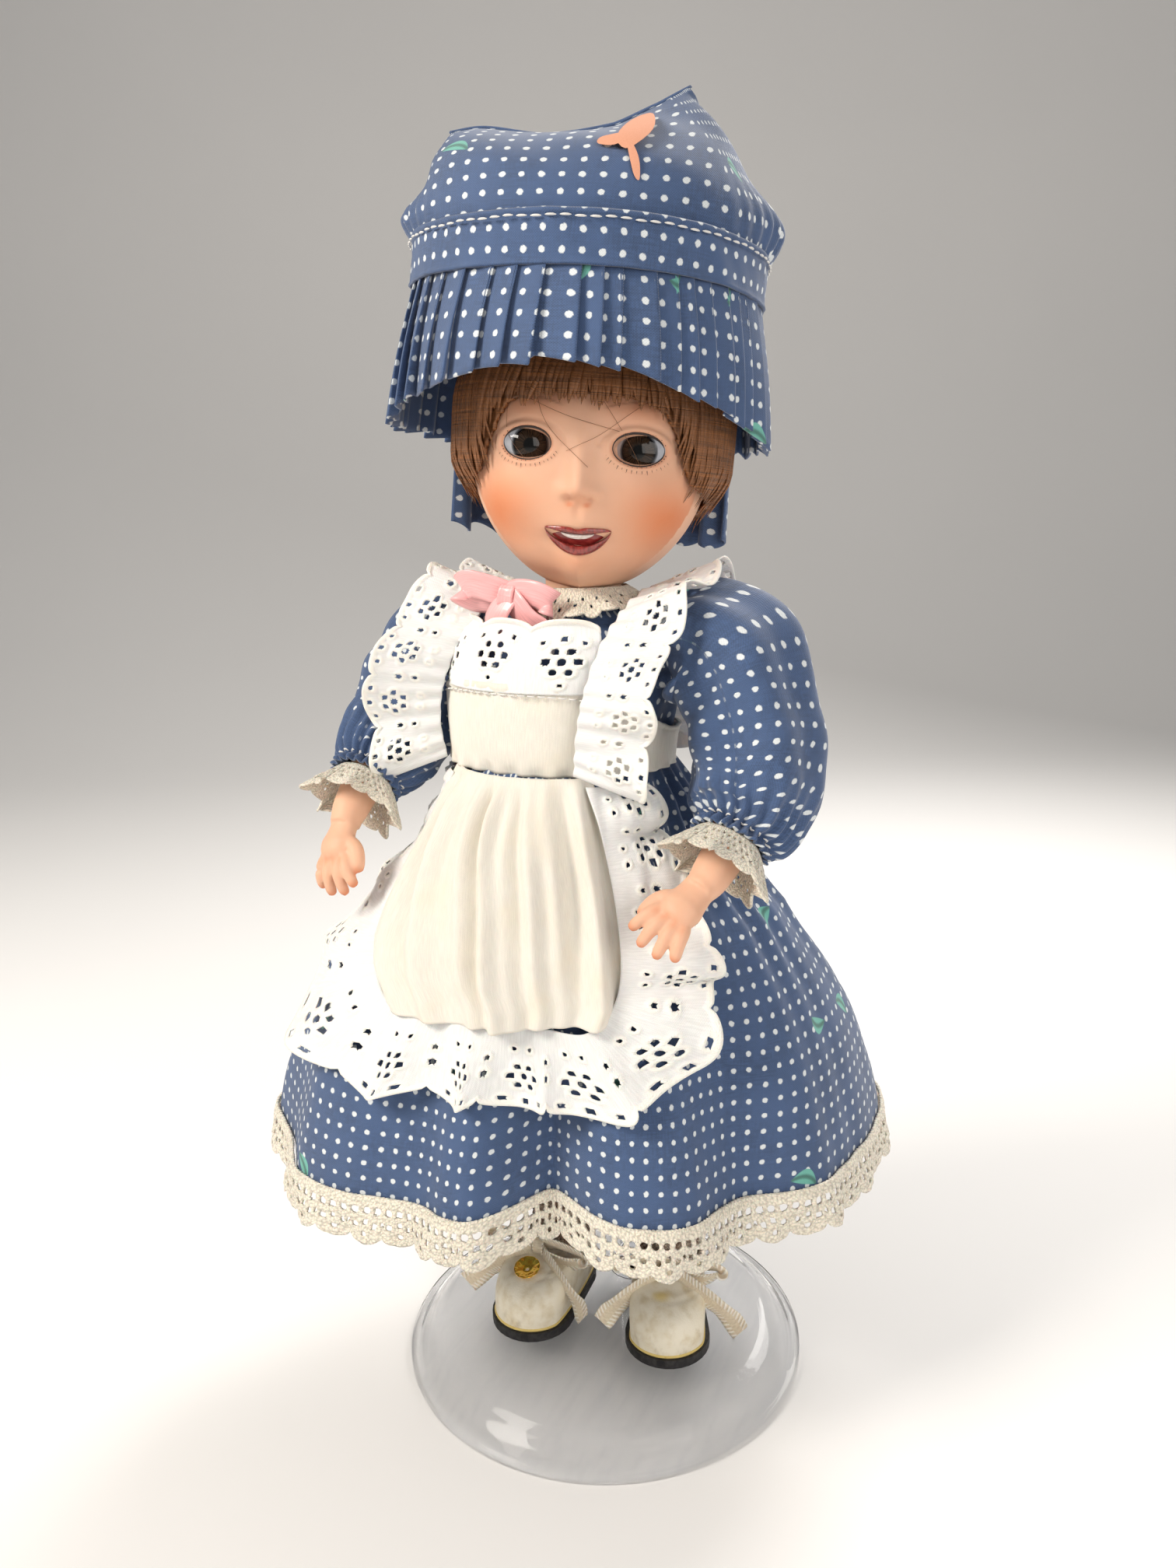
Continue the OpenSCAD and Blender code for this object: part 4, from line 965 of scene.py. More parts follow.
def on_face(x, z, lift=0.0):
    """Points on the face above (x, z) of the head's own axes, found by two passes."""
    x, z = np.broadcast_arrays(np.asarray(x, float), np.asarray(z, float))
    y = np.full(x.shape, -21.0)
    for _ in range(12):
        p = np.stack([x, y, z - HEAD_MID], -1)
        d = unit(p)
        r = face_radius(d) + lift
        y = -np.sqrt(np.maximum(r ** 2 - x ** 2 - (z - HEAD_MID) ** 2, 1.0))
    return np.stack([x, y, z], -1)


class DOLL_OT_face(bpy.types.Operator):
    """Makes the bisque head with open eye sockets, its paint, lips, brows and lashes."""

    bl_idname = "doll.face"
    bl_label = "Bisque head"

    def execute(self, context):
        self.head()
        self.lips()
        self.eyes()
        self.lashes()
        return {"FINISHED"}

    def head(self):
        """Latitude and longitude grid, closer together at the front."""
        nu, nv = 230, 300
        u, v = grid(nu, nv + 1)
        u, v = u[:, :-1], v[:, :-1]
        up = (u - 0.5) * math.pi
        round_ = TAU * v - 0.72 * np.sin(TAU * v)            # dense at v = 0, the front
        d = np.stack([np.cos(up) * np.sin(round_), -np.cos(up) * np.cos(round_), np.sin(up)], -1)
        r = face_radius(d)
        p = d * r[..., None] + [0, 0, HEAD_MID]
        x, z = p[..., 0], p[..., 2]
        front = p[..., 1] < -8
        # lids: the skin rolls outwards a little round each opening and then dives in
        ex = np.abs(x) - EYE_X
        q = np.sqrt((ex / EYE_WIDE) ** 2 + ((z - EYE_Z) / EYE_TALL) ** 2)
        lid = np.where(front, np.exp(-((q - 1.16) / 0.16) ** 2) * 0.42, 0)
        dive = np.where(front, smooth(-q, -1.04, -0.70) * 3.2, 0)
        crease = np.where(front & (z > EYE_Z), np.exp(-((q - 1.50) / 0.09) ** 2) * 0.22, 0)
        mouth = bump(x, z - MOUTH_Z + 0.4, 4.6, 1.2) * np.where(front, 1, 0)
        p = p + d * (lid - dive - crease - 0.9 * mouth)[..., None]
        cheek = bump(np.abs(x) - 15.5, z - 184.5, 7.5, 6.5) + 0.35 * bump(x, z - 176.5, 6, 2.8)
        cheek = cheek + 0.30 * bump(x, z - 187.2, 2.8, 1.8) + 0.42 * bump(np.abs(x) - EYE_X,
                                                            z - EYE_Z - 6.5, 6.5, 2.4)
        nostril = bump(np.abs(x) - 1.55, z - 186.6, 0.62, 0.38)
        rim = np.exp(-((q - 1.05) / 0.10) ** 2)
        brow = self.brow_strokes(x, z) * front
        paint = np.stack([np.clip(0.92 * cheek * front, 0, 1),
                          np.clip((0.8 * nostril + 0.35 * rim) * front, 0, 1),
                          brow, np.ones_like(x)], -1)
        # the neck: below the chin the head runs down into a short neck
        p = in_head(p)
        o = piece("bisque_head", p, quads(nu, nv, wrap_v=True), paint=paint)
        outwards(o)
        neck = spline(np.linspace(0, 1, 30),
                      [(6.6, 167.4), (7.3, 168.2), (7.4, 171), (7.6, 174), (8.6, 178), (9.5, 182)])
        a = np.linspace(0, TAU, 72, endpoint=False)
        n = np.stack(np.broadcast_arrays(neck[:, :1] * np.cos(a), neck[:, :1] * np.sin(a), neck[:, 1:]), -1)
        zero = np.zeros(n.shape[:2] + (4,))
        throat = piece("neck", in_body(n), quads(30, 72, wrap_v=True), paint=zero)
        dress(throat, material("bisque"), "head", "bisque")
        dress(o, material("bisque"), "head", "bisque", "head", "eye_plaster", "pate", "head_hook")

    def brow_strokes(self, x, z):
        """Thin feathered brows: a few slanted strokes above each eye."""
        side = np.abs(x)
        out = np.zeros_like(x)
        for k in range(9):
            t = k / 8
            cx, cz = 5.2 + 9.0 * t, EYE_Z + 6.5 + 1.25 * math.sin(math.pi * (0.15 + 0.8 * t))
            tilt = 0.30 - 0.75 * t
            along = (side - cx) * math.cos(tilt) + (z - cz) * math.sin(tilt)
            over = -(side - cx) * math.sin(tilt) + (z - cz) * math.cos(tilt)
            out = np.maximum(out, np.exp(-(along / 1.5) ** 4 - (over / 0.20) ** 2) * (0.75 - 0.25 * t))
        return np.clip(out * 0.62, 0, 1)

    def lips(self):
        """Two lofted lips with a dark opening and a row of teeth between them."""
        half = MOUTH_HALF
        nu, nv = 90, 22
        u, v = grid(nu, nv)
        x = half * np.sin((u - 0.5) * math.pi)
        k = x / half
        # height of the four lines of the mouth over the mouth's middle, as functions of k in -1..1
        corner = 1.25 * k ** 2
        bow = 0.42 * np.exp(-(k / 0.16) ** 2)
        upper_top = corner + (1 - k ** 2) ** 0.65 * 1.62 - bow * 0.9 + 0.1
        upper_low = corner + (1 - k ** 2) ** 0.9 * 0.42
        lower_top = corner - (1 - k ** 2) ** 0.8 * 1.30
        lower_low = corner - (1 - k ** 2) ** 0.62 * 3.25 - 0.05
        for name, top, low, full in (("upper_lip", upper_top, upper_low, 0.55),
                                     ("lower_lip", lower_top, lower_low, 0.72)):
            s = v
            z = MOUTH_Z + top + (low - top) * s
            p = on_face(x, z)
            thick = np.sin(np.pi * np.clip(s, 0, 1)) ** 0.6 * full * (1 - k ** 2) ** 0.35
            inward = (s if name == "upper_lip" else 1 - s)
            p = p + np.stack([0 * x, -(thick + 0.10) + 1.1 * smooth(inward, 0.72, 1.0), 0 * x], -1)
            # the back closes the lip behind its front
            back = p + [0, 1.1, 0]
            shell = np.concatenate([p, back[:, ::-1]], 1)
            o = piece(name, in_head(shell), quads(nu, 2 * nv, wrap_v=True))
            outwards(o)
            dress(o, material("lips"), "head", "bisque")
        u, v = grid(60, 14)
        x = half * 0.93 * np.sin((u - 0.5) * math.pi)
        k = x / (half * 0.93)
        top = 1.25 * k ** 2 + (1 - k ** 2) ** 0.9 * 0.7
        low = 1.25 * k ** 2 - (1 - k ** 2) ** 0.8 * 1.6
        z = MOUTH_Z + top + (low - top) * v
        p = on_face(x, z) + [0, 0.35, 0]
        inside = piece("mouth_inside", in_head(p), quads(60, 14))
        dress(inside, material("mouth"), "head", "bisque")
        x = 3.0 * np.sin((u - 0.5) * math.pi)
        k = x / 3.0
        z = MOUTH_Z + 1.25 * (x / half) ** 2 + 0.45 - 0.80 * v * (1 - k ** 2) ** 0.5
        p = on_face(x, z) + np.stack([0 * x, 0.22 - 0.30 * np.sin(math.pi * v), 0 * x], -1)
        teeth = piece("teeth", in_head(p), quads(60, 14))
        dress(teeth, material("teeth"), "head", "bisque")

    def eyes(self):
        """Balls of glass: a grid about the gaze axis, painted by the angle from it."""
        for side, name in ((1, "left"), (-1, "right")):
            u, v = grid(70, 96)
            off = u * math.pi
            a = v * TAU
            gaze = np.array([0.0 if side > 0 else 0.06, -1.0, -0.04])
            gaze = gaze / np.linalg.norm(gaze)
            centre = on_face(side * EYE_X, EYE_Z)[()] + np.array([0, EYE_BALL + 0.35, 0])
            sx = np.cross(gaze, [0, 0, 1])
            sx = sx / np.linalg.norm(sx)
            sz = np.cross(sx, gaze)
            bulge = 0.25 * np.exp(-(off / 0.30) ** 2)
            p = centre + (EYE_BALL + bulge)[..., None] * (
                np.cos(off)[..., None] * gaze + (np.sin(off) * np.cos(a))[..., None] * sx
                + (np.sin(off) * np.sin(a))[..., None] * sz)
            iris = 0.49
            paint = np.stack([np.clip(off / iris, 0, 1), smooth(off, iris * 1.0, iris * 1.07), a / TAU,
                              1 + 0 * a], -1)
            o = piece(f"glass_eye_{name}", in_head(p), quads(70, 96), paint=paint)
            outwards(o)
            dress(o, material("eye"), "head", "eye_glass", f"eye_{name}")

    def lashes(self):
        """Painted lashes: thin tapered strokes that follow the porcelain, and a line round each eye."""
        rng = np.random.default_rng(5)
        strokes = []
        for side in (-1, 1):
            for k in range(17):
                t = k / 16
                a = math.radians(-168 + 156 * t)
                fan = math.radians(-90 + (t - 0.5) * 95)
                q = 1.08
                x0, z0 = EYE_WIDE * q * math.cos(a), EYE_TALL * q * math.sin(a)
                length = rng.uniform(1.0, 1.5)
                strokes.append((side, x0, z0, fan, length, 0.085))
            for k in range(9):
                t = k / 8
                a = math.radians(20 + 140 * t)
                strokes.append((side, EYE_WIDE * 1.1 * math.cos(a), EYE_TALL * 1.1 * math.sin(a),
                                math.radians(90 - (t - 0.5) * 80), rng.uniform(0.35, 0.6), 0.07))
        objs = []
        s = np.linspace(0, 1, 9)
        for side, x0, z0, fan, length, w in strokes:
            cx = x0 + length * s * math.cos(fan)
            cz = z0 + length * s * math.sin(fan) - 0.0 * s
            width = w * (1 - s) ** 0.7 + 0.004
            nx, nz = -math.sin(fan), math.cos(fan)
            edge = np.stack([np.stack([cx - nx * width, cz - nz * width], -1),
                             np.stack([cx + nx * width, cz + nz * width], -1)], 1)
            p = on_face(side * EYE_X + side * edge[..., 0], EYE_Z + edge[..., 1], 0.34 - 0.18 * s[:, None])
            objs.append((p, side))
        faces = quads(9, 2)
        points = np.concatenate([p.reshape(-1, 3) for p, _ in objs])
        allfaces = np.concatenate([(faces if side > 0 else faces[:, ::-1]) + 18 * i for i,
                                   (_, side) in enumerate(objs)])
        o = piece("painted_lashes", in_head(points), allfaces, weld=False)
        dress(o, material("lashes"), "head", "bisque")
        a = np.linspace(0, TAU, 80, endpoint=False)
        rings = []
        for side in (-1, 1):
            path = on_face(side * EYE_X + EYE_WIDE * 1.0 * np.cos(a), EYE_Z + EYE_TALL * 1.0 * np.sin(a),
                           0.05)
            heavy = 0.13 + 0.13 * smooth(np.sin(a), 0.1, 0.9)
            b = np.linspace(0, TAU, 8, endpoint=False)
            mid = np.array([side * EYE_X, path[:, 1].mean(), EYE_Z])
            outward = unit(path - mid)
            ring = path[:, None] + heavy[:, None, None] * (np.cos(b)[None, :, None] * outward[:, None]
                                                           + np.sin(b)[None, :,
                                                            None] * np.array([0, -1.0, 0]))
            rings.append(ring.reshape(-1, 3))
        f = quads(80, 8, wrap_u=True, wrap_v=True)
        o = piece("eye_line", in_head(np.concatenate(rings)), np.concatenate([f, f + 640]))
        outwards(o)
        dress(o, material("lashes"), "head", "bisque")


MOUTH_Z, MOUTH_HALF = 181.0, 6.0


# ---------------------------------------------------------------- hat
HAT_X, HAT_RX, HAT_RY = -2.6, 31.8, 32.2      # middle and half sizes of the band, head's axes, mm
BAND_FOOT, BAND_TOP = 223.6, 231.4
RIDGE_MID, RIDGE_HALF = -8.3, 21.5


def hat_ring(a, grow=0.0):
    """A point of the band's ellipse at a degrees from the face's front."""
    b = np.radians(a)
    return HAT_X + (HAT_RX + grow) * np.sin(b), -(HAT_RY + grow) * np.cos(b)


def ridge_height(x):
    return level(x, [(-31, 251.0), (-24, 252.2), (-12, 251.4), (0, 253.6), (8, 257.5), (14, 261.0)])


class DOLL_OT_hat(bpy.types.Operator):
    """Makes the hat: pointed crown, stitched band, knife-pleated brim and the curtain behind."""

    bl_idname = "doll.hat"
    bl_label = "Hat"

    def execute(self, context):
        crown = self.crown()
        band = self.band()
        brim = self.brim()
        curtain = self.curtain()
        return {"FINISHED"}

    def crown(self):
        """From the band the cloth stands up, swells at both ears, and closes along a level seam
        whose two ends are points: each column runs from the band's ellipse to the seam's line."""
        nu, nv = 84, 340
        u, v = grid(nu, nv + 1)
        t, a = u[:, :-1], v[:, :-1] * 360 - 180
        b = np.radians(a)
        bx, by = hat_ring(a, -0.6)
        rx = RIDGE_MID + RIDGE_HALF * np.sign(np.sin(b)) * np.abs(np.sin(b)) ** 0.9
        rz = ridge_height(rx)
        inward = smooth(t, 0.0, 1.0) ** 1.05 * 0.55 + 0.45 * t ** 2.2
        x = bx + (rx - bx) * inward
        y = by + (1.5 - by) * (0.30 * t + 0.70 * t ** 2.6)
        z = BAND_TOP - 0.4 + (rz - BAND_TOP + 0.4) * (t + 0.10 * np.sin(math.pi * t))
        ear = np.exp(-((np.abs(a) - 96) / 30) ** 2)
        lump = ear * np.exp(-((t - 0.17) / 0.15) ** 2)
        swell = 4.2 * lump + 1.6 * np.sin(math.pi * np.clip(t * 1.35, 0, 1)) * np.cos(b) ** 2
        gather = 0.62 * np.sin(b * 44 + 1.5 * np.sin(5 * b)) * ear * np.exp(-((t - 0.10) / 0.18) ** 2)
        back = smooth(-np.cos(b), -0.2, 0.5)
        gather = gather + 0.7 * np.sin(b * 38 + np.sin(7 * b)) * back * np.exp(-((t - 0.1) / 0.3) ** 2)
        slack = 0.75 * wobble(b * 2.2 + t * 2.6, 3, 4) * smooth(t, 0.1, 0.4) * (1 - smooth(t, 0.8, 1))
        pull = 0.55 * np.sin(9 * b + 5 * t) * smooth(t, 0.5, 0.8) * (1 - smooth(t, 0.93,
                                                            1)) * np.abs(np.sin(b)) ** 3
        out = swell + gather + slack + pull
        n = np.stack([np.sin(b), -np.cos(b), 0 * b], -1)
        p = np.stack([x, y, z], -1) + n * out[..., None]
        side = smooth(np.abs(np.sin(b)), 0.80, 1.0)
        flat_u = np.where(np.cos(b) > 0, 1, -1) * p[..., 0] * (1 - side) + b * 31 * side
        uv = np.stack([flat_u + 200 * (np.cos(b) < 0), BAND_TOP + t * 31], -1)
        o = piece("hat_crown_cloth", in_head(p), quads(nu, nv, wrap_v=True), uv=uv)
        outwards(o)
        thicken(o, 0.45, -1)
        dress(o, material("dotted cotton"), "head", "dotted_cotton", "hat_crown")
        self.seam()
        self.motif()
        return o

    def seam(self):
        """The ridge's seam: a thin doubled edge that stands up along it."""
        s = np.linspace(0, 1, 60)
        x = RIDGE_MID + RIDGE_HALF * np.sin((s - 0.5) * math.pi) * 1.005
        path = np.stack([x, 1.5 + 0.35 * np.sin(9 * s), ridge_height(x) + 0.1], -1)
        o = tube("hat_ridge_seam", in_head(path), 0.62 * np.sin(math.pi * np.clip(s, 0.04, 0.96)) ** 0.3,
                 10, flat=0.8)
        dress(o, material("dotted cotton"), "head", "dotted_cotton")

    def motif(self):
        """A printed bud with two leaves, lying on the crown's front: a thin film over the cloth."""
        nu, nv = 40, 26
        made = []
        for cx, cz, long_, wide, turn in ((5.6, 247.6, 5.4, 2.5, 0.25), (2.2, 244.2, 2.6, 1.2, 1.25),
                                          (6.0, 240.6, 3.4, 0.7, -0.30)):
            u, v = grid(nu, nv)
            r = u
            a = v * TAU
            lx = r * wide * np.cos(a) * (1 + 0.12 * np.cos(3 * a))
            lz = r * long_ * np.sin(a)
            x = cx + lx * math.cos(turn) + lz * math.sin(turn)
            z = cz - lx * math.sin(turn) + lz * math.cos(turn)
            made.append((x, z))
        points, faces = [], []
        for i, (x, z) in enumerate(made):
            points.append(np.stack([x, crown_front(x, z) - 0.12, z], -1).reshape(-1, 3))
            faces.append(quads(nu, nv) + i * nu * nv)
        p = np.concatenate(points)
        o = piece("hat_print", in_head(p), np.concatenate(faces), uv=p[:, [0, 2]])
        outwards_sheet(o, (0, BODY_Y))
        dress(o, material("peach print"), "head", "dotted_cotton")

    def band(self):
        nu, nv = 26, 420
        u, v = grid(nu, nv + 1)
        w, a = u[:, :-1], v[:, :-1] * 360 - 180
        b = np.radians(a)
        edge = 0.30 * smooth(w, 0.86, 0.9) * (1 - smooth(w, 0.97,
                                                         1.0)) - 0.22 * np.exp(-((w - 0.84) / 0.03) ** 2)
        low = 0.25 * (1 - smooth(w, 0.0, 0.10))
        x, y = hat_ring(a, 0.75 + edge + low + 0.28 * wobble(b * 5 + w, 12))
        z = BAND_FOOT + (BAND_TOP + 0.5 - BAND_FOOT) * w + 0.45 * np.sin(2 * b + 0.6)
        p = np.stack([x, y, z], -1)
        uv = np.stack([b * 33 + 3, z], -1)
        o = piece("hat_band_cloth", in_head(p), quads(nu, nv, wrap_v=True), uv=uv)
        outwards_sheet(o, (0, BODY_Y))
        thicken(o, 0.6, -1)
        dress(o, material("dotted cotton"), "head", "dotted_cotton", "hat_band")
        self.topstitch()
        return o

    def topstitch(self):
        """White stitches along the band's upper edge: one short thread for each."""
        made_p, made_f = [], []
        count = 86
        s = np.linspace(0, 1, 5)
        sides = 6
        f = quads(5, sides, wrap_v=True)
        for k in range(count):
            a = (k + 0.12 + 0.76 * s) * 360 / count - 180
            b = np.radians(a)
            x, y = hat_ring(a, 1.18 + 0.18 * np.sin(math.pi * s))
            z = BAND_FOOT + (BAND_TOP + 0.5 - BAND_FOOT) * 0.84 + 0.45 * np.sin(2 * b + 0.6)
            path = np.stack([x, y, z + 0.1 * math.sin(k * 1.7)], -1)
            radius = 0.20 * np.array([0.3, 0.95, 1.0, 0.95, 0.3])
            made_p.append(tube_points(path, radius, sides).reshape(-1, 3))
            made_f.append(f + k * 5 * sides)
        o = piece("hat_topstitch", in_head(np.concatenate(made_p)), np.concatenate(made_f))
        outwards(o)
        dress(o, material("white thread"), "head", "dotted_cotton")

    def brim(self):
        """Knife pleats: along each one the cloth runs 1.2 pitches forward on its face and 0.2 back
        beneath, and it opens out and steps down towards the hem."""
        pleats, each, nu = 42, 22, 24
        q = np.linspace(0, 1, each, endpoint=False)
        table = np.array([(0, 0, 0.0), (0.2, 0.36, 0.32), (0.45, 0.82, 0.72), (0.62, 1.12, 1.0),
                          (0.69, 1.20, 0.93),
                          (0.75, 1.15, 0.62), (0.88, 1.05, 0.2), (1.0, 1.0, 0.0)])
        arc = np.interp(q, table[:, 0], table[:, 1])
        high = np.interp(q, table[:, 0], table[:, 2])
        rng = np.random.default_rng(11)
        vary = 1 + 0.22 * rng.standard_normal(pleats).clip(-1.6, 1.6)
        start = np.cumsum(vary) - vary
        start, vary = start / vary.sum() * 360, vary / vary.sum() * 360
        lean = rng.uniform(-1, 1, pleats)
        tall = rng.uniform(0.75, 1.3, pleats)
        a_top = (start[:, None] + vary[:, None] * arc[None]).ravel() - 180
        a_low = (start[:, None] + vary[:, None] * (0.08 * lean[:, None] + arc[None] * 0.96 + 0.02)).ravel() - 180
        h = (tall[:, None] * high[None]).ravel()
        step = (0.9 * high[None] * tall[:, None] - 0.4 * lean[:, None]).ravel()
        t = np.linspace(0, 1, nu)[:, None]
        a = a_top[None] + (a_low - a_top)[None] * t
        b = np.radians(a)
        folded = h[None] * (0.75 + 1.35 * t ** 1.2)
        droop = 0.7 * np.sin(3 * b + 1.4) * t
        flare = 3.4 * t ** 1.3 + 0.9 * np.sin(math.pi * t)
        x, y = hat_ring(a, -0.6 + flare + folded + droop)
        front = np.exp(-(a / 58) ** 2)
        foot = 198.6 + 10.8 * front
        z = BAND_FOOT + 0.9 - (BAND_FOOT + 0.9 - foot) * t - step[None] * t
        p = np.stack([x, y, z], -1)
        nv = pleats * each
        cloth_run = (np.arange(pleats)[:, None] * 8.0 + np.interp(q, [0, 0.62, 0.75, 1],
                                                            [0, 5.4, 6.0, 8.0])[None]).ravel()
        uv = np.stack([np.broadcast_to(cloth_run[None], p.shape[:2]), z], -1)
        o = piece("hat_brim_pleats", in_head(p), quads(nu, nv, wrap_v=True), uv=uv, weld=False)
        outwards_sheet(o, (0, BODY_Y))
        thicken(o, 0.4, -1)
        dress(o, material("dotted cotton"), "head", "dotted_cotton", "hat_brim")
        return o

    def curtain(self):
        nu, nv = 46, 200
        t, v = grid(nu, nv)
        a = 180 + (v - 0.5) * 132
        b = np.radians(a)
        wave = np.sin(v * TAU * 9 + 0.7 * np.sin(v * 9)) * (0.5 + 1.5 * t)
        r = 29.8 + 0.6 * t + wave * 0.9 - 1.2 * t * (1 - np.abs(2 * v - 1) ** 2)
        z = 222 - t * (222 - 180.5) + 1.0 * np.cos(v * TAU * 9) * t
        p = np.stack([HAT_X * 0.4 + r * np.sin(b), -r * np.cos(b), z], -1)
        uv = np.stack([v * 85, z], -1)
        o = piece("hat_curtain_cloth", in_head(p), quads(nu, nv), uv=uv)
        outwards_sheet(o, (0, BODY_Y))
        thicken(o, 0.45, -1)
        dress(o, material("dotted cotton"), "head", "dotted_cotton", "hat_curtain")
        return o


def crown_front(x, z):
    """The crown's front face at a place (x, z) of the head's axes, read back from its own formula."""
    t = np.clip((z - BAND_TOP + 0.4) / (ridge_height(x) - BAND_TOP + 0.4), 0, 1)
    for _ in range(6):
        t = np.clip((z - BAND_TOP + 0.4) / (ridge_height(x) - BAND_TOP + 0.4) - 0.10 * np.sin(math.pi * t),
                    0, 1)
    inward = smooth(t, 0.0, 1.0) ** 1.05 * 0.55 + 0.45 * t ** 2.2
    s = np.zeros_like(x)
    for _ in range(12):
        bx = HAT_X + (HAT_RX - 0.6) * s
        rx = RIDGE_MID + RIDGE_HALF * np.sign(s) * np.abs(s) ** 0.9
        s = np.clip(s + (x - bx - (rx - bx) * inward) / 34, -0.95, 0.95)
    b = np.arcsin(s)
    by = -(HAT_RY - 0.6) * np.cos(b)
    y = by + (1.5 - by) * (0.30 * t + 0.70 * t ** 2.6)
    swell = 1.6 * np.sin(math.pi * np.clip(t * 1.35, 0, 1)) * np.cos(b) ** 2
    slack = 0.75 * wobble(b * 2.2 + t * 2.6, 3, 4) * smooth(t, 0.1, 0.4) * (1 - smooth(t, 0.8, 1))
    return y - np.cos(b) * (swell + slack)


# ---------------------------------------------------------------- hair
class DOLL_OT_hair(bpy.types.Operator):
    """Makes the wig: a combed cap, locks that hang to the bob's line, a fringe and stray hairs."""

    bl_idname = "doll.hair"
    bl_label = "Wig"

    def execute(self, context):
        self.cap()
        self.locks()
        return {"FINISHED"}

    def foot(self, a):
        """Height that the hair hangs to, by the angle from the face's front."""
        return level(np.abs(a), [(0, 204.6), (24, 204.2), (38, 202.2), (46, 197.0), (54, 191.0),
                                 (75, 188.4), (120, 184.5), (180, 181.5)])

    def radius(self, a, z):
        side = level(np.abs(a), [(0, 23.6), (40, 24.2), (60, 25.2), (90, 26.0), (180, 25.8)])
        top = np.sqrt(np.clip(1 - (np.maximum(z - 203, 0) / 21.5) ** 2, 0.02, 1))
        tuck = 1 - 0.16 * smooth(-z, -194, -182)
        return side * top * tuck

    def cap(self):
        nu, nv = 50, 420
        u, v = grid(nu, nv + 1)
        u, v = u[:, :-1], v[:, :-1]
        a = v * 360 - 180
        b = np.radians(a)
        foot = self.foot(a) + 0.7
        z = 224.0 - (224.0 - foot) * u ** 0.8
        strand = 0.22 * np.sin(a * 2.9 + 3 * np.sin(b * 7) + 1.5 * u) + 0.20 * np.sin(a * 1.3 + 2 * np.sin(b * 4) + u)
        r = self.radius(a, z) + strand * smooth(u, 0.05, 0.3) - 0.7
        p = np.stack([r * np.sin(b), -r * np.cos(b), z], -1)
        uv = np.stack([a * 0.42, z], -1)
        o = piece("hair_cap", in_head(p), quads(nu, nv, wrap_v=True), uv=uv)
        outwards_sheet(o, (0, BODY_Y))
        thicken(o, 0.8, -1)
        dress(o, material("hair"), "head", "hair", "wig")

    def locks(self):
        rng = np.random.default_rng(31)
        n, sides = 14, 6
        s = np.linspace(0, 1, n)
        points, uvs, faces = [], [], []
        f = quads(n, sides, wrap_v=True)
        count = 640
        for k in range(count):
            a0 = -180 + 360 * (k + rng.uniform(0, 1)) / count
            fringe = abs(a0) < 47
            foot = float(self.foot(np.array(a0))) + rng.normal(0, 0.8 if fringe else 1.1)
            top = rng.uniform(211, 217)
            drift = rng.normal(0, 2.0 if fringe else 2.4) + (0.10 * a0 if fringe else 0)
            a = a0 + drift * s ** 1.3
            z = top + (foot - top) * s
            curl = 1.5 * smooth(s, 0.72, 1) * (0.25 if fringe else 1)
            r = self.radius(a, z) + 0.35 + rng.uniform(-0.15, 0.5) - curl * rng.uniform(0.3, 1.3)
            if fringe:
                clear = np.linalg.norm(face_clear(a, z), axis=-1)
                r = np.maximum(r, clear)
            b = np.radians(a)
            path = np.stack([r * np.sin(b), -r * np.cos(b), z], -1)
            thick = rng.uniform(0.42, 0.78) * np.clip(np.sin(math.pi * np.clip(0.12 + 0.86 * s, 0, 1)),
                                                      0.06, 1) ** 0.6
            thick[-1] = 0.03
            ring = tube_points(path, thick, sides, up=(math.sin(b[0]), -math.cos(b[0]), 0.01), flat=0.5)
            points.append(ring.reshape(-1, 3))
            uvs.append(np.stack(np.broadcast_arrays(a0 * 0.42 + np.linspace(0, 1.2, sides)[None],
                                                    z[:, None]), -1).reshape(-1, 2))
            faces.append(f + k * n * sides)
        o = piece("hair_locks", in_head(np.concatenate(points)), np.concatenate(faces),
                  uv=np.concatenate(uvs), weld=False)
        dress(o, material("hair"), "head", "hair")
        self.stray(rng)

    def stray(self, rng):
        """A few single hairs that fell over the forehead."""
        ways = [((-9, 206), (-6, 199.5), (1.5, 193.0)), ((-12, 205), (-3, 201.5), (8, 199.0)),
                ((2, 206), (7.5, 198.5), (10.5, 193.5)), ((10, 204), (3, 198.5), (-2.5, 195.5)),
                ((-14, 203), (-13.5, 198), (-9.5, 193.2))]
        made = []
        for way in ways:
            line = spline(np.linspace(0, 1, 26), [np.array(w, float) for w in way])
            path = on_face(line[:, 0], line[:, 1], 0.28)
            made.append(tube("stray_hair", in_head(path), 0.038, 5))
        o = join("stray_hairs", made)
        dress(o, material("hair"), "head", "hair")


def face_clear(a, z):
    """A point just outside the porcelain in the direction a, at height z, head's axes."""
    b = np.radians(a)
    r = np.full(np.shape(z), 22.0)
    for _ in range(8):
        d = unit(np.stack([r * np.sin(b), -r * np.cos(b), z - HEAD_MID], -1))
        full = face_radius(d) + 0.55
        r = np.sqrt(np.maximum(full ** 2 - (z - HEAD_MID) ** 2, 4.0))
    return np.stack([r, 0 * r], -1)


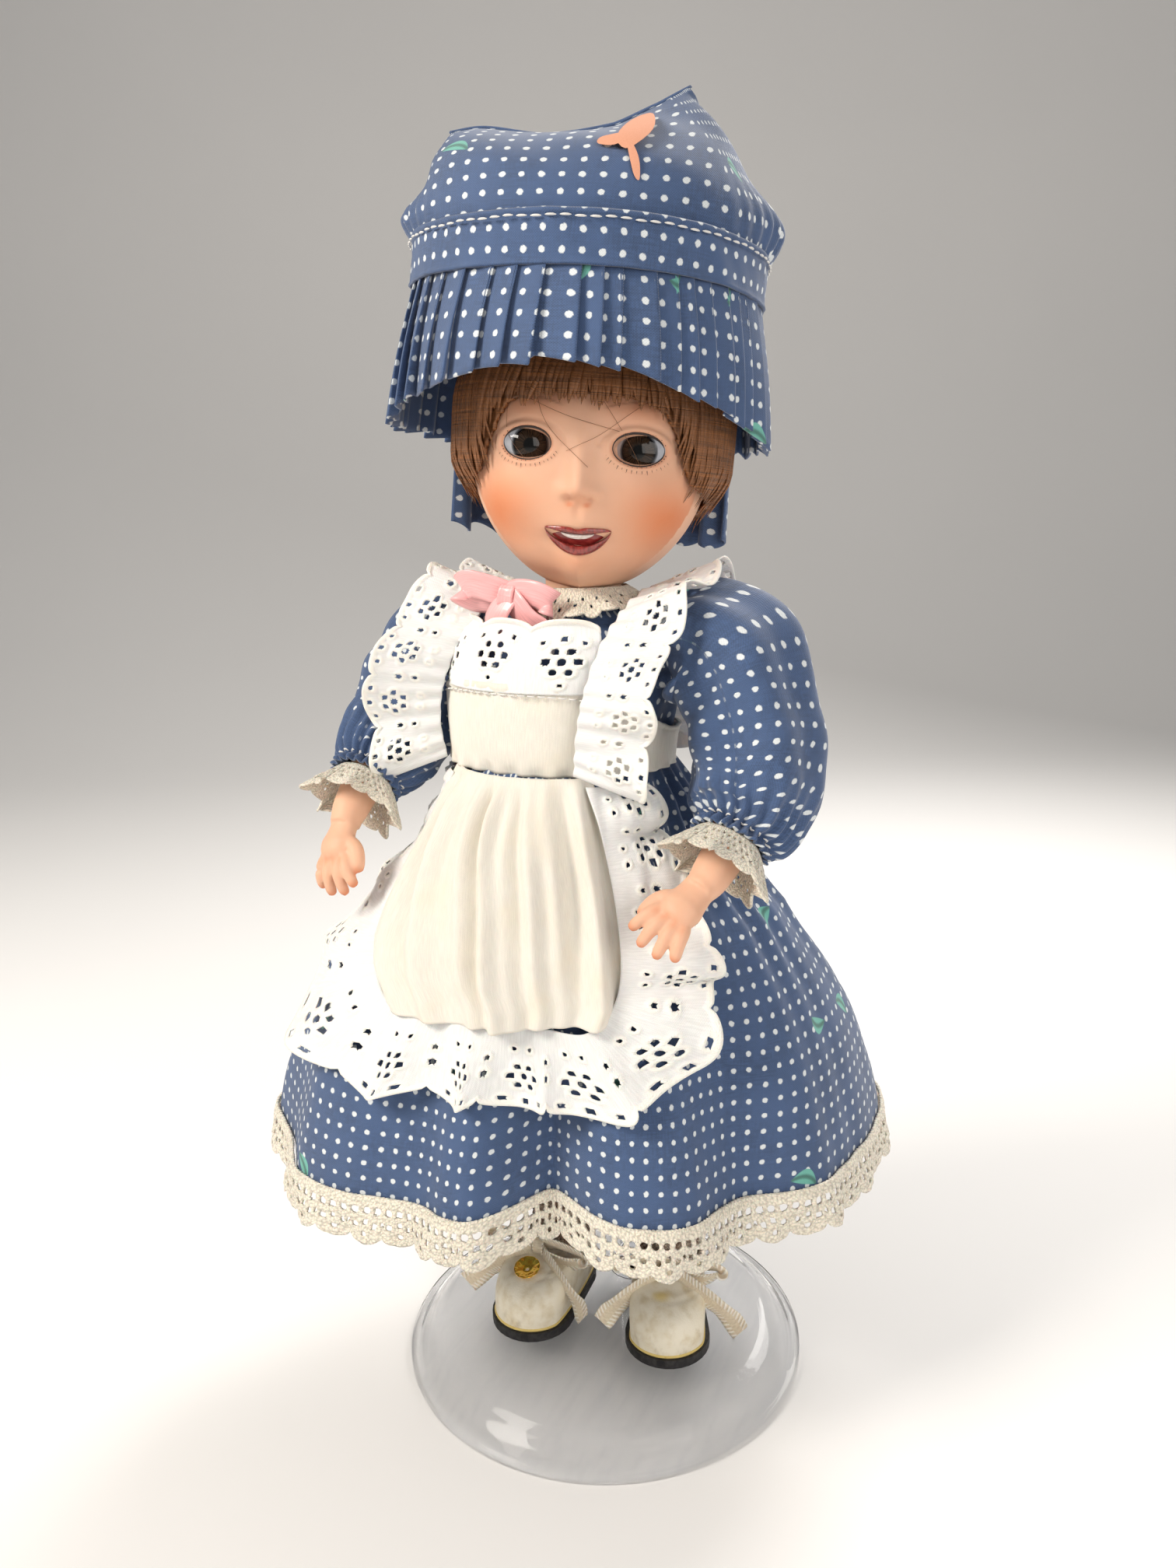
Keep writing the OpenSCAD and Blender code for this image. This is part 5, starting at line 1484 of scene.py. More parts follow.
# ---------------------------------------------------------------- lace and eyelet
def pierced(name, length, width, step, holes, edge, place, relief=None, thickness=0.35, round_=False,
            stitched=None):
    """Cloth with real holes. A flat grid, whose last row follows edge(s); points near a hole's rim
    are moved onto its circle, faces inside it are left out, and place(s, t, h) bends it all."""
    nu, nv = int(length / step) + 1, max(int(width / step) + 1, 4)
    u, v = grid(nu, nv)
    s = u * length
    t = v * edge(s)
    if round_:
        s, t = s[:-1], t[:-1]
        nu -= 1
    inside = np.zeros(s.shape, bool)
    rim = np.zeros(s.shape)
    keep_s, keep_t = s.copy(), t.copy()
    for x, y, r in holes:
        i0, i1 = int((x - r - 1.2) / step), int((x + r + 1.2) / step) + 2
        w = slice(max(i0, 0), min(i1, nu))
        ds, dt = keep_s[w] - x, keep_t[w] - y
        d = np.hypot(ds, dt) + 1e-9
        near = np.abs(d - r) < 0.55 * step
        s[w] = np.where(near, x + ds / d * r, s[w])
        t[w] = np.where(near, y + dt / d * r, t[w])
        inside[w] |= (d < r - 0.55 * step)
        rim[w] = np.maximum(rim[w], np.exp(-((d - r - 0.25) / 0.38) ** 2))
    if stitched is not None:
        rim = np.maximum(rim, stitched(keep_s, keep_t))
    h = 0.28 * rim + (relief(keep_s, keep_t) if relief else 0)
    p = place(s, t, h)
    f = quads(nu, nv, wrap_u=round_)
    gone = inside.ravel()
    f = f[~gone[f].any(1)]
    used = np.unique(f)
    index = np.full(nu * nv, -1)
    index[used] = np.arange(len(used))
    paint = np.stack([rim, rim, rim, np.ones_like(rim)], -1).reshape(-1, 4)[used]
    uv = np.stack([keep_s, keep_t], -1).reshape(-1, 2)[used]
    o = piece(name, p.reshape(-1, 3)[used], index[f], uv=uv, paint=paint)
    return thicken(o, thickness, 0)


def daisy(x, y, r=0.62, ring=2.05, petals=6, turn=0.0):
    """Eyelets of a flower: petals round a middle hole."""
    a = np.arange(petals) * TAU / petals + turn
    return [(x, y, r * 1.1)] + [(x + ring * math.cos(b), y + ring * math.sin(b), r) for b in a]


def eyelet_holes(length, width, period=12.6):
    """A daisy in every scallop and smaller pairs between them."""
    out = []
    for k in range(int(length / period)):
        x = (k + 0.5) * period
        out += daisy(x, width * 0.60, 0.60, 2.25)
        out += [(x - 3.2, width * 0.88, 0.50), (x, width * 0.91, 0.52), (x + 3.2, width * 0.88, 0.50)]
        out += [(x + period / 2, width * 0.55, 0.62), (x + period / 2, width * 0.36, 0.48)]
        out += [(x - 1.6, width * 0.26, 0.42), (x + 1.6, width * 0.26, 0.42)]
    return out


def scalloped(width, period=12.6, deep=2.1):
    """The outer edge: a row of round scallops."""
    return lambda s: width - deep + deep * np.sqrt(np.abs(np.sin(np.pi * s / period)))


def buttonhole(width, period=12.6, deep=2.1):
    """The close stitching along the scallops, as a share from 0 to 1."""
    edge = scalloped(width, period, deep)
    return lambda s, t: smooth(t - edge(s), -1.15, -0.7)


# ---------------------------------------------------------------- skirt
SKIRT_TOP, SKIRT_FOOT = 137.6, 57.5
HEM_TURN = 26.0
HEM_ASIDE = -3.0
ACROSS = [(0, 20.5), (0.1, 26), (0.25, 34.5), (0.4, 43.5), (0.66, 56.5), (0.85, 62.5), (1, 65.5), (1.15, 67)]
DEEP = [(0, 17.5), (0.1, 22.5), (0.25, 26), (0.4, 29.5), (0.66, 35.5), (0.85, 39.5), (1, 42), (1.15, 43)]


def skirt_fold(a, s):
    """Folds of the skirt: fine gathers near the waist that gather into nine deep waves at the hem."""
    b = np.radians(a)
    slow = (np.sin(9 * b + 0.55 * np.sin(2 * b + 1.0) + 1.15) + 0.45 * np.sin(5 * b + 2.2)
            + 0.30 * np.sin(14 * b + 0.7))
    corner = bump(a - 46, 0, 15, 1) * 1.5 - bump(a - 17, 0, 12, 1) * 1.7 - bump(a - 82, 0, 14, 1) * 0.9
    fast = np.sin(31 * b + 1.6 * np.sin(4 * b)) + 0.5 * np.sin(47 * b + 2.0 * np.sin(3 * b) + 1)
    deep = 2.5 * smooth(s, 0.12, 1.05)
    fine = 0.75 * smooth(s, -0.03, 0.10) * (1 - 0.86 * smooth(s, 0.15, 0.7))
    return slow * deep + corner * 3.0 * smooth(s, 0.35, 1.0) + fast * fine


def skirt_point(a, s, out=0.0):
    """A point of the skirt: a is the angle from the doll's front towards its left, in degrees,
    s the share of the way down; an ellipse turned by HEM_TURN, moved aside, plus folds."""
    a, s = np.broadcast_arrays(np.asarray(a, float), np.asarray(s, float))
    beta = np.radians(a - 90 - HEM_TURN)
    rx, ry = level(s, ACROSS), level(s, DEEP)
    r = 1 / np.sqrt((np.cos(beta) / rx) ** 2 + (np.sin(beta) / ry) ** 2)
    r = r - 3.6 * (bump(a - 72, s - 0.2, 34, 0.16) + bump(a + 72, s - 0.2, 34, 0.16))
    r = r + skirt_fold(a, s) + out
    x = r * np.sin(np.radians(a)) + HEM_ASIDE * s * math.cos(math.radians(HEM_TURN)) - 3.5 * (1 - s)
    y = -r * np.cos(np.radians(a)) + HEM_ASIDE * s * math.sin(math.radians(HEM_TURN))
    z = SKIRT_TOP - s * (SKIRT_TOP - SKIRT_FOOT) + 1.2 * np.sin(np.radians(2 * a + 40)) * smooth(s, 0.5, 1)
    return in_body(np.stack([x, y, z], -1))


def skirt_cloth(a, s):
    """Where a point of the skirt lies on the flat cloth, in mm."""
    return np.stack([np.radians(a) * (46 + 16 * np.clip(s, 0, 1.2)), s * 92], -1)


class DOLL_OT_skirt(bpy.types.Operator):
    """Makes the dress skirt and the crochet lace along its hem."""

    bl_idname = "doll.skirt"
    bl_label = "Skirt and hem lace"

    def execute(self, context):
        nu, nv = 72, 480
        u, v = grid(nu, nv + 1)
        a = v[:, :-1] * 360 - 180
        s = -0.012 + u[:, :-1] * 1.012
        p = skirt_point(a, s)
        uv = skirt_cloth(a, s)
        o = piece("dress_skirt_cloth", p, quads(nu, nv, wrap_v=True), uv=uv)
        self.mend_seam(o, 62 * TAU)
        outwards_sheet(o, (0, BODY_Y))
        thicken(o, 0.45, -1)
        dress(o, material("dotted cotton"), "torso", "dotted_cotton", "dress_skirt")
        self.lace(o)
        return {"FINISHED"}

    def mend_seam(self, o, turn):
        """The cloth seam lies at the back: a face that crosses it takes its far side's place."""
        uv = o.data.uv_layers["cloth"].data
        flat = np.empty(len(uv) * 2)
        uv.foreach_get("uv", flat)
        q = flat.reshape(-1, 4, 2)
        span = q[..., 0].max(1) - q[..., 0].min(1)
        wrong = (span > 40)[:, None] & (q[..., 0] > 0)
        q[..., 0] = np.where(wrong, q[..., 0] - 2 * np.abs(q[..., 0]), q[..., 0])
        uv.foreach_set("uv", q.ravel())

    def lace(self, skirt):
        period, count = 6.9, 52
        length, width = period * count, 9.4
        holes = []
        for k in range(int(length / 2.3)):
            holes.append(((k + 0.5) * 2.3, 2.75, 0.78))
        for k in range(count):
            x = (k + 0.5) * period
            holes += [(x - 2.0, 5.6, 0.62), (x, 5.0, 0.60), (x + 2.0, 5.6, 0.62), (x, 7.3, 0.62),
                      (x - period / 2, 4.9, 0.45)]

        def edge(s):
            return width - 1.9 + 1.9 * np.sqrt(np.abs(np.sin(np.pi * s / period)))

        def relief(s, t):
            shell = 0.22 * np.abs(np.sin(np.pi * s / period * 3)) * smooth(t, 4.2, 6)
            top = 0.35 * (0.5 + 0.5 * np.cos(TAU * s / 0.9)) * (1 - smooth(t, 0.9, 1.5))
            return shell + top

        def place(s, t, h):
            a = s / length * 360 - 180
            ruffle = 0.8 * np.sin(TAU * s / (period * 2.0) + 0.8 * np.sin(s / 31)) * smooth(t, 1.5, 9)
            share = 0.985 + t / (SKIRT_TOP - SKIRT_FOOT)
            return skirt_point(a, share, 0.55 + h + ruffle + 0.25 * smooth(t, 0, 2))

        o = pierced("hem_lace_crochet", length, width, 0.42, holes, edge, place, relief, 0.5, round_=True)
        dress(o, material("lace"), "torso", "cream_lace", "hem_lace")


def outwards_sheet(o, axis):
    """Turns an open sheet's faces away from a vertical axis at (x, y), in mm."""
    import bmesh
    bm = bmesh.new()
    bm.from_mesh(o.data)
    total = 0.0
    for f in list(bm.faces)[:: max(1, len(bm.faces) // 400)]:
        c = f.calc_center_median()
        total += f.normal.x * (c.x - axis[0] * MM) + f.normal.y * (c.y - axis[1] * MM)
    if total < 0:
        bmesh.ops.reverse_faces(bm, faces=bm.faces)
    bm.to_mesh(o.data)
    bm.free()


# ---------------------------------------------------------------- bodice and apron
BODICE = [(137, 22.0, 17.0, -5.5), (142, 22.4, 17.4, -5.3), (150, 23.0, 17.8, -4.6), (157, 22.6, 17.4, -3.6),
          (162, 19.6, 14.6, -2.8), (166, 13.6, 11.0, -1.6), (168.5, 10.2, 9.8, -0.6), (170, 9.4, 9.4, 0)]


def body_point(a, z, out=0.0):
    """A point round the bodice: an ellipse for each height, moved aside; a from the front, degrees."""
    a, z = np.broadcast_arrays(np.asarray(a, float), np.asarray(z, float))
    t = level(z, BODICE)
    b = np.radians(a)
    return in_body(np.stack([t[..., 2] + (t[..., 0] + out) * np.sin(b), -(t[..., 1] + out) * np.cos(b), z],
                            -1))


APRON_MID = -11.0        # the apron's middle, degrees from the doll's front


class DOLL_OT_bodice(bpy.types.Operator):
    """Makes the dress bodice, its lace collar and the satin bow."""

    bl_idname = "doll.bodice"
    bl_label = "Bodice, collar and bow"

    def execute(self, context):
        nu, nv = 70, 220
        u, v = grid(nu, nv + 1)
        a = v[:, :-1] * 360 - 180
        z = 136.8 + u[:, :-1] * 33.0
        pleat = 0.45 * np.sin(np.radians(a * 17) + 2 * np.sin(np.radians(a * 3))) * (1 - smooth(z, 146, 162))
        crease = 0.5 * wobble(np.radians(a) * 3 + z * 0.12,
                              8) * smooth(z, 140, 150) * (1 - smooth(z, 163, 168))
        p = body_point(a, z, pleat + crease)
        uv = np.stack([np.radians(a) * 24, z], -1)
        o = piece("dress_bodice_cloth", p, quads(nu, nv, wrap_v=True), uv=uv)
        outwards_sheet(o, (-3, BODY_Y))
        thicken(o, 0.45, -1)
        dress(o, material("dotted cotton"), "torso", "dotted_cotton", "dress_bodice", "dress_snaps")
        self.collar()
        self.bow()
        return {"FINISHED"}

    def collar(self):
        period, count, width = 4.6, 26, 6.4
        length = period * count
        holes = []
        for k in range(count):
            x = (k + 0.5) * period
            holes += [(x, 3.9, 0.55), (x - period / 2, 2.2, 0.45), (x - 1.1, 2.4, 0.32), (x + 1.1, 2.4, 0.32)]

        def place(s, t, h):
            a = s / length * 360 - 180
            b = np.radians(a)
            r = 9.0 + t * 0.97 + 0.25 * np.sin(TAU * s / (2 * period)) * t / width
            z = 171.2 - 0.9 * smooth(t, 0, 3) - 0.42 * t + h + 0.5 * np.sin(TAU * s / (2 * period)) * t / width
            z = z - 2.0 * bump(a, 0, 40, 1) * t / width
            return in_body(np.stack([r * np.sin(b) - 0.5, -r * 0.97 * np.cos(b), z], -1))

        o = pierced("lace_collar", length, width, 0.36, holes,
                    lambda s: width - 1.2 + 1.2 * np.sqrt(np.abs(np.sin(np.pi * s / period))), place,
                    None, 0.4, round_=True)
        dress(o, material("lace"), "torso", "cream_lace", "dress_collar")

    def bow(self):
        """Two flat loops, two tails and a knot of pink satin, at the throat."""
        mid = np.array([-8.2, -17.6, 170.2])
        out = np.array([-0.25, -0.97, 0.12])
        made = []
        loop = [(0, 0, 0), (-3.5, -0.8, 1.2), (-8.2, -1.3, 2.2), (-10.8, -0.4, 1.0), (-8.6, 0.8, -0.6),
                (-4.2, 0.9, -0.9), (0, 0.3, -0.2)]
        other = [(0, 0, 0), (3.2, -0.9, 0.6), (6.8, -1.4, 0.2), (8.8, -0.5, -1.2), (6.8, 0.8, -2.0),
                 (3.4, 0.8, -1.2), (0, 0.3, -0.2)]
        tail = [(0, -0.2, 0), (2.2, -1.2, -2.0), (4.4, -1.2, -4.4), (7.0, -0.6, -6.2)]
        short = [(0, -0.2, 0), (-1.4, -1.2, -2.2), (-2.6, -1.4, -4.4), (-3.0, -0.9, -6.8)]
        for name, path, side in (("left", loop, (0.1, -0.25, 1)), ("right", other, (0.25, -0.25, 1)),
                                 ("tail", tail, (0.7, -0.3, 0.7)), ("short", short, (1, -0.3, -0.2))):
            made.append(ribbon("bow_" + name, [tuple(mid + np.array(q)) for q in path], [side] * len(path),
                               5.4, 0.3, 0.35))
        a = np.linspace(0, TAU, 9)
        knot = [tuple(mid + out * 0.6 + np.array([0.4 * math.sin(b), -1.2 * math.cos(b), 1.9 * math.sin(b)]))
                for b in a]
        made.append(ribbon("bow_knot", knot, [(1, 0, 0)] * 9, 3.2, 0.4, 0.3))
        for o in made:
            apply_modifiers(o)
        o = join("pink_satin_bow", made)
        dress(o, material("satin"), "torso", "satin", "collar_bow")


class DOLL_OT_apron(bpy.types.Operator):
    """Makes the apron: waistband, bib, gathered skirt, eyelet frills, straps and the tie behind."""

    bl_idname = "doll.apron"
    bl_label = "Apron"

    def execute(self, context):
        self.waistband()
        self.bib()
        self.skirt()
        self.frills()
        self.tie()
        return {"FINISHED"}

    def waistband(self):
        """A band round the waist, with a folded upper edge and a running stitch beneath it."""
        nu, nv = 32, 360
        u, v = grid(nu, nv + 1)
        a = v[:, :-1] * 360 - 180
        near = np.exp(-((a - APRON_MID) / 75) ** 4)
        top = 144.0 + 10.2 * near
        z = 136.4 + (top - 136.4) * u[:, :-1]
        w = u[:, :-1]
        fold = 0.35 * smooth(w, 0.90, 0.93) - 0.2 * np.exp(-((w - 0.895) / 0.012) ** 2)
        pucker = 0.22 * wobble(np.radians(a) * 12, 4) * np.exp(-((w - 0.9) / 0.12) ** 2)
        low = 0.35 * np.sin(np.radians(a * 26)) * (1 - smooth(w, 0.0, 0.16))
        sag = 0.7 * wobble(np.radians(a) * 2.2 + w, 21) * near
        p = body_point(a, z, 1.7 + fold + pucker + low + 0.4 * near + sag * 0.5)
        uv = np.stack([np.radians(a) * 26, z], -1)
        o = piece("waistband_cotton", p, quads(nu, nv, wrap_v=True), uv=uv)
        outwards_sheet(o, (-5, BODY_Y))
        thicken(o, 0.7, -1)
        dress(o, material("apron cotton"), "torso", "white_cotton", "apron_waistband")
        self.stitches("waistband_stitches", lambda a: body_point(a, 136.4 + (7.6 + 10.2 * np.exp(
            -((a - APRON_MID) / 75) ** 4)) * 0.885, 2.55), -70, 42, 24)

    def stitches(self, name, where, a0, a1, count):
        """Running stitches: short low loops of thread along a line."""
        made = []
        s = np.linspace(0, 1, 7)
        pitch = (a1 - a0) / count
        for k in range(count):
            a = a0 + pitch * (k + 0.15 + 0.7 * s)
            p = where(a)
            mid = unit(p - p.mean(0) * [0, 0, 1] - [0, 0, 0] + 1e-6)
            lift = np.stack([mid[:, 0], mid[:, 1], 0 * s], -1)
            p = p + unit(lift) * (0.24 * np.sin(math.pi * s) - 0.12)[:, None]
            made.append(tube(name, p, 0.16, 6))
        o = join(name, made)
        dress(o, material("white thread"), "torso", "white_cotton")

    def bib(self):
        """The eyelet bib: three daisies under a scalloped upper edge."""
        length, width, period = 34.0, 15.0, 11.33
        holes = []
        for k, x in enumerate((5.6, 17.0, 28.4)):
            up = 7.6 if k == 1 else 6.6
            holes += daisy(x, up, 0.66, 2.35)
            holes += [(x - 3.2, up + 3.6, 0.42), (x, up + 4.5, 0.50), (x + 3.2, up + 3.6, 0.42)]
            holes += [(x, up - 4.6, 0.45)]

        def edge(s):
            return width - 1.9 + 1.9 * np.sqrt(np.abs(np.sin(np.pi * s / period)))

        def place(s, t, h):
            a = -68 + s / length * 104
            z = 152.4 + t * 0.93
            # over the chest the bib stands off the bodice and leans back towards its top
            table = level(np.clip(z, 150, 166.5), [(150, 0), (157, 0.4), (162, 2.6), (166.5, 6.4)])
            return body_point(a, np.minimum(z, 165.5), 2.1 + h + table * 0.85) + np.stack(
                [0 * z, 0 * z, np.maximum(z - 165.5, 0)], -1)

        o = pierced("bib_eyelet", length, width, 0.36, holes, edge, place,
                    None, 0.35, stitched=lambda s, t: smooth(t - edge(s), -1.2, -0.75))
        dress(o, material("eyelet"), "torso", "eyelet", "apron_bib", "apron_strap_left", "apron_strap_right")

    def skirt(self):
        """The gathered front: its pleats start close together at the band and open downwards."""
        nu, nv = 100, 180
        u, v = grid(nu, nv)
        s = 0.012 + 0.535 * u
        k = 2 * v - 1
        lo, hi = level(s, APRON_LEFT), level(s, APRON_RIGHT)
        a = lo + (hi - lo) * v
        sharp = 0.75 + 0.0 * s
        wave = np.sin(k * 19 + 1.3 * np.sin(k * 5 + 1) + 0.8 * (s - 0.3) * np.sin(k * 3)) + 0.5 * np.sin(
            k * 31 + 2 * np.sin(k * 4) + 2)
        broad = np.sin(k * 8.2 + 0.6 + 0.5 * np.sin(s * 4))
        out = 2.7 + 1.35 * wave * smooth(s, 0.0, 0.09) * (1 - 0.55 * smooth(s, 0.3, 0.66)) \
            + 1.5 * broad * smooth(s, 0.14, 0.6) * sharp
        under = skirt_fold(a, s)
        p = skirt_point(a, s, out - 0.75 * under + 2.8 * smooth(s, 0.02, 0.2) * (1 - k ** 2))
        uv = np.stack([v * 120, s * 92 * 1.0], -1)
        o = piece("apron_front", p, quads(nu, nv), uv=uv)
        outwards_sheet(o, (0, BODY_Y))
        thicken(o, 0.45, -1)
        dress(o, material("apron cotton"), "torso", "white_cotton", "apron_skirt")

    def frills(self):
        """The frill round the apron's sides and foot, and one over each shoulder. Each is a strip of
        scalloped eyelet gathered to a seam; its waves grow towards the free edge."""
        self.border()
        for name, node, seam, out, face in (
                ("left", "strap_frill_left", SEAM_LEFT, OUT_LEFT, FACE_LEFT),
                ("right", "strap_frill_right", SEAM_RIGHT, OUT_RIGHT, FACE_RIGHT)):
            length, width = 12.6 * 9, 17.0
            wave = 5.5 if name == "left" else 5.0

            def place(s, t, h, seam=seam, out=out, face=face, length=length, wave=wave):
                k = s / length
                base = spline(k, seam)
                away = unit(spline(k, out))
                up = unit(spline(k, face))
                share = t / 17.0
                ripple = np.sin(TAU * k * wave + 0.9 * np.sin(TAU * k * 2)) * share ** 1.1 * 2.1
                fine = 0.35 * np.sin(TAU * k * 22 + np.sin(TAU * k * 5)) * (1 - 0.75 * share)
                reach = t * (0.90 + 0.04 * np.cos(TAU * k * wave))
                return in_body(base + away * reach[..., None] + up * (0.9 + h + ripple + fine)[..., None])

            o = pierced(f"shoulder_frill_{name}", length, width, 0.42, eyelet_holes(length, width),
                        scalloped(width), place, None, 0.32, stitched=buttonhole(width))
            dress(o, material("eyelet"), "torso", "eyelet", node)

    def border(self):
        count = 14
        length, width = 12.6 * count, 16.5
        path = np.array([(-50, 0.03), (-50, 0.12), (-46, 0.24), (-41, 0.36), (-35, 0.455), (-26, 0.53),
                         (-11, 0.54), (4, 0.545), (18, 0.555), (30, 0.56), (39, 0.49), (42, 0.39), (42, 0.26),
                         (39, 0.13), (34, 0.03)], float)
        # outward turn of the strip at each point: 0 points sideways, 90 points down
        turn = np.array([184, 182, 178, 172, 150, 108, 92, 90, 86, 62, 14, 2, -2, -4, -6], float)
        reach_ = np.array([0.80, 0.95, 1.1, 1.28, 1.3, 1.1, 0.95, 0.95, 1.0, 1.05, 1.05, 1.0, 0.9, 0.8, 0.72])

        def place(s, t, h):
            k = s / length
            at = spline(k, path)
            b = np.radians(spline(k, turn)[..., 0])
            reach = t * spline(k, reach_)[..., 0]
            share_down = reach * np.sin(b) / (SKIRT_TOP - SKIRT_FOOT) * 0.92
            radius = level(at[..., 1], [(0, 20), (0.3, 30), (0.7, 38)])
            a = at[..., 0] + np.degrees(reach * np.cos(b) / radius)
            far = t / width
            n = TAU * k * 13
            ripple = np.sin(n + 0.8 * np.sin(TAU * k * 3)) * far ** 1.1 * 2.0
            sway = np.cos(n + 0.8 * np.sin(TAU * k * 3)) * far * 1.4
            a = a + np.degrees(sway / radius) * np.abs(np.sin(b))
            share = at[..., 1] + share_down + sway / 80 * np.abs(np.cos(b))
            lift = 3.3 + h + ripple + 0.9 * far
            return skirt_point(a, share, lift - 0.65 * skirt_fold(a, share))

        o = pierced("apron_frill", length, width, 0.42, eyelet_holes(length, width), scalloped(width),
                    place, None, 0.32, stitched=buttonhole(width))
        dress(o, material("eyelet"), "torso", "eyelet", "apron_flounce")

    def tie(self):
        """The apron strings, tied in a bow behind the waist with two long ends."""
        y = 17.6
        made = []
        for side in (-1, 1):
            loop = [(-5, y, 142), (-5 + 6 * side, y + 3.4, 145), (-5 + 15 * side, y + 4.6, 146.5),
                    (-5 + 21 * side, y + 3.0, 142), (-5 + 16 * side, y + 2.4, 138.5),
                    (-5 + 7 * side, y + 2.2, 139.5),
                    (-5, y + 1, 141)]
            made.append(ribbon("tie_loop", loop, [(0, -0.2, 1)] * 7, 7.2, 0.5, 0.5))
            end = [(-5, y + 1.5, 141), (-5 + 5 * side, y + 5.5, 134),
                   (-5 + 9 * side + (3 if side > 0 else 0), y + 11, 121),
                   (-5 + 12 * side + (9 if side > 0 else 0), y + 17, 108),
                   (-5 + 15 * side + (16 if side > 0 else 0), y + 22, 97 - 4 * side)]
            made.append(ribbon("tie_end", end, [(1, 0.15, 0.1)] * 5, [*np.linspace(6.4, 8.2, 220)], 0.5, 0.4))
        knot = [(-5 + 0.4 * math.sin(b), y + 2.2 - 2.4 * math.cos(b), 141.4 + 3.6 * math.sin(b))
                for b in np.linspace(0, TAU, 9)]
        made.append(ribbon("tie_knot", knot, [(1, 0, 0)] * 9, 5.0, 0.6, 0.4))
        for o in made:
            apply_modifiers(o)
        o = join("apron_strings", made)
        dress(o, material("apron cotton"), "torso", "white_cotton", "apron_tie")


APRON_LEFT = [(0, -60), (0.1, -54), (0.24, -48.5), (0.36, -44), (0.455, -38.5), (0.53, -30), (0.56, -27)]
APRON_RIGHT = [(0, 38), (0.1, 40), (0.3, 43), (0.5, 42), (0.56, 38)]
SEAM_LEFT = [(7, -18.6, 137.5), (8, -19.4, 145), (9.5, -18.8, 153), (11.5, -15.5, 161), (14, -9.5, 167.5),
             (15, -1, 170), (14.5, 8, 167), (13, 14, 158), (10, 17.6, 148), (7, 18.5, 140)]
OUT_LEFT = [(0.94, 0.1, -0.3), (0.97, 0.05, -0.1), (0.98, -0.05, 0), (0.96, -0.12, 0.1), (0.93, -0.1, 0.22),
            (0.93, 0.05, 0.24), (0.93, 0.2, 0.15), (0.95, 0.15, 0), (0.95, 0.1, -0.1), (0.95, 0.1, -0.2)]
FACE_LEFT = [(0.1, -1, 0), (0.1, -1, 0), (0.1, -1, 0.1), (0, -0.85, 0.5), (-0.1, -0.45, 0.9), (-0.2, 0, 1),
             (-0.1, 0.5, 0.85), (0, 0.9, 0.3), (0, 1, 0), (0, 1, 0)]
SEAM_RIGHT = [(-26, -11.5, 137.5), (-26.5, -12.6, 145), (-25, -12.6, 153), (-21, -11.5, 161),
              (-16.5, -7.5, 168),
              (-15, -0.5, 170.5), (-15, 8, 167), (-16, 13.5, 158), (-16, 16.5, 148), (-15, 17.5, 140)]
OUT_RIGHT = [(-0.75, -0.45, -0.3), (-0.80, -0.52, -0.1), (-0.84, -0.46, 0.1), (-0.90, -0.35, 0.2),
             (-0.93, -0.2, 0.28), (-0.94, 0.0, 0.26), (-0.93, 0.2, 0.15), (-0.95, 0.15, 0),
             (-0.95, 0.1, -0.1),
             (-0.95, 0.1, -0.2)]
FACE_RIGHT = [(0.45, -0.9, 0), (0.42, -0.9, 0), (0.35, -0.9, 0.2), (0.2, -0.8, 0.5), (0.15, -0.45, 0.9),
              (0.2, 0, 1), (0.1, 0.5, 0.85), (0, 0.9, 0.3), (0, 1, 0), (0, 1, 0)]


# ---------------------------------------------------------------- sleeves, cuffs and hands
ARMS = {
    "left": {
        "sleeve": [(15.5, -3, 158), (22, -3, 161), (29.5, -3.5, 159), (34.5, -5, 150), (37.2, -8, 139),
                   (37.0, -12, 131),
                   (35.6, -16.5, 126.2)],
        "round": [7.6, 10.4, 13.2, 12.6, 11.6, 10.2, 6.4],
        "wrist": (33.8, -21.6, 121.0), "palm": (31.0, -28.4, 116.6), "aim": (-0.42, -0.72, -0.55),
        "over": (0.35, -0.52, 0.78), "across": (0.84, -0.28, -0.46)},
    "right": {
        "sleeve": [(-16.5, -3, 158), (-23, -3, 161), (-30.5, -3.5, 159), (-36.2, -5.5, 151),
                   (-40.2, -9.5, 142.8),
                   (-41.8, -15.5, 137.0), (-42.0, -22.0, 132.2)],
        "round": [7.6, 10.4, 13.0, 12.2, 11.0, 9.8, 6.2],
        "wrist": (-42.2, -26.6, 127.6), "palm": (-41.8, -32.2, 121.0), "aim": (0.12, -0.55, -0.83),
        "over": (-0.25, -0.80, 0.50), "across": (-0.95, 0.15, -0.28)},
}


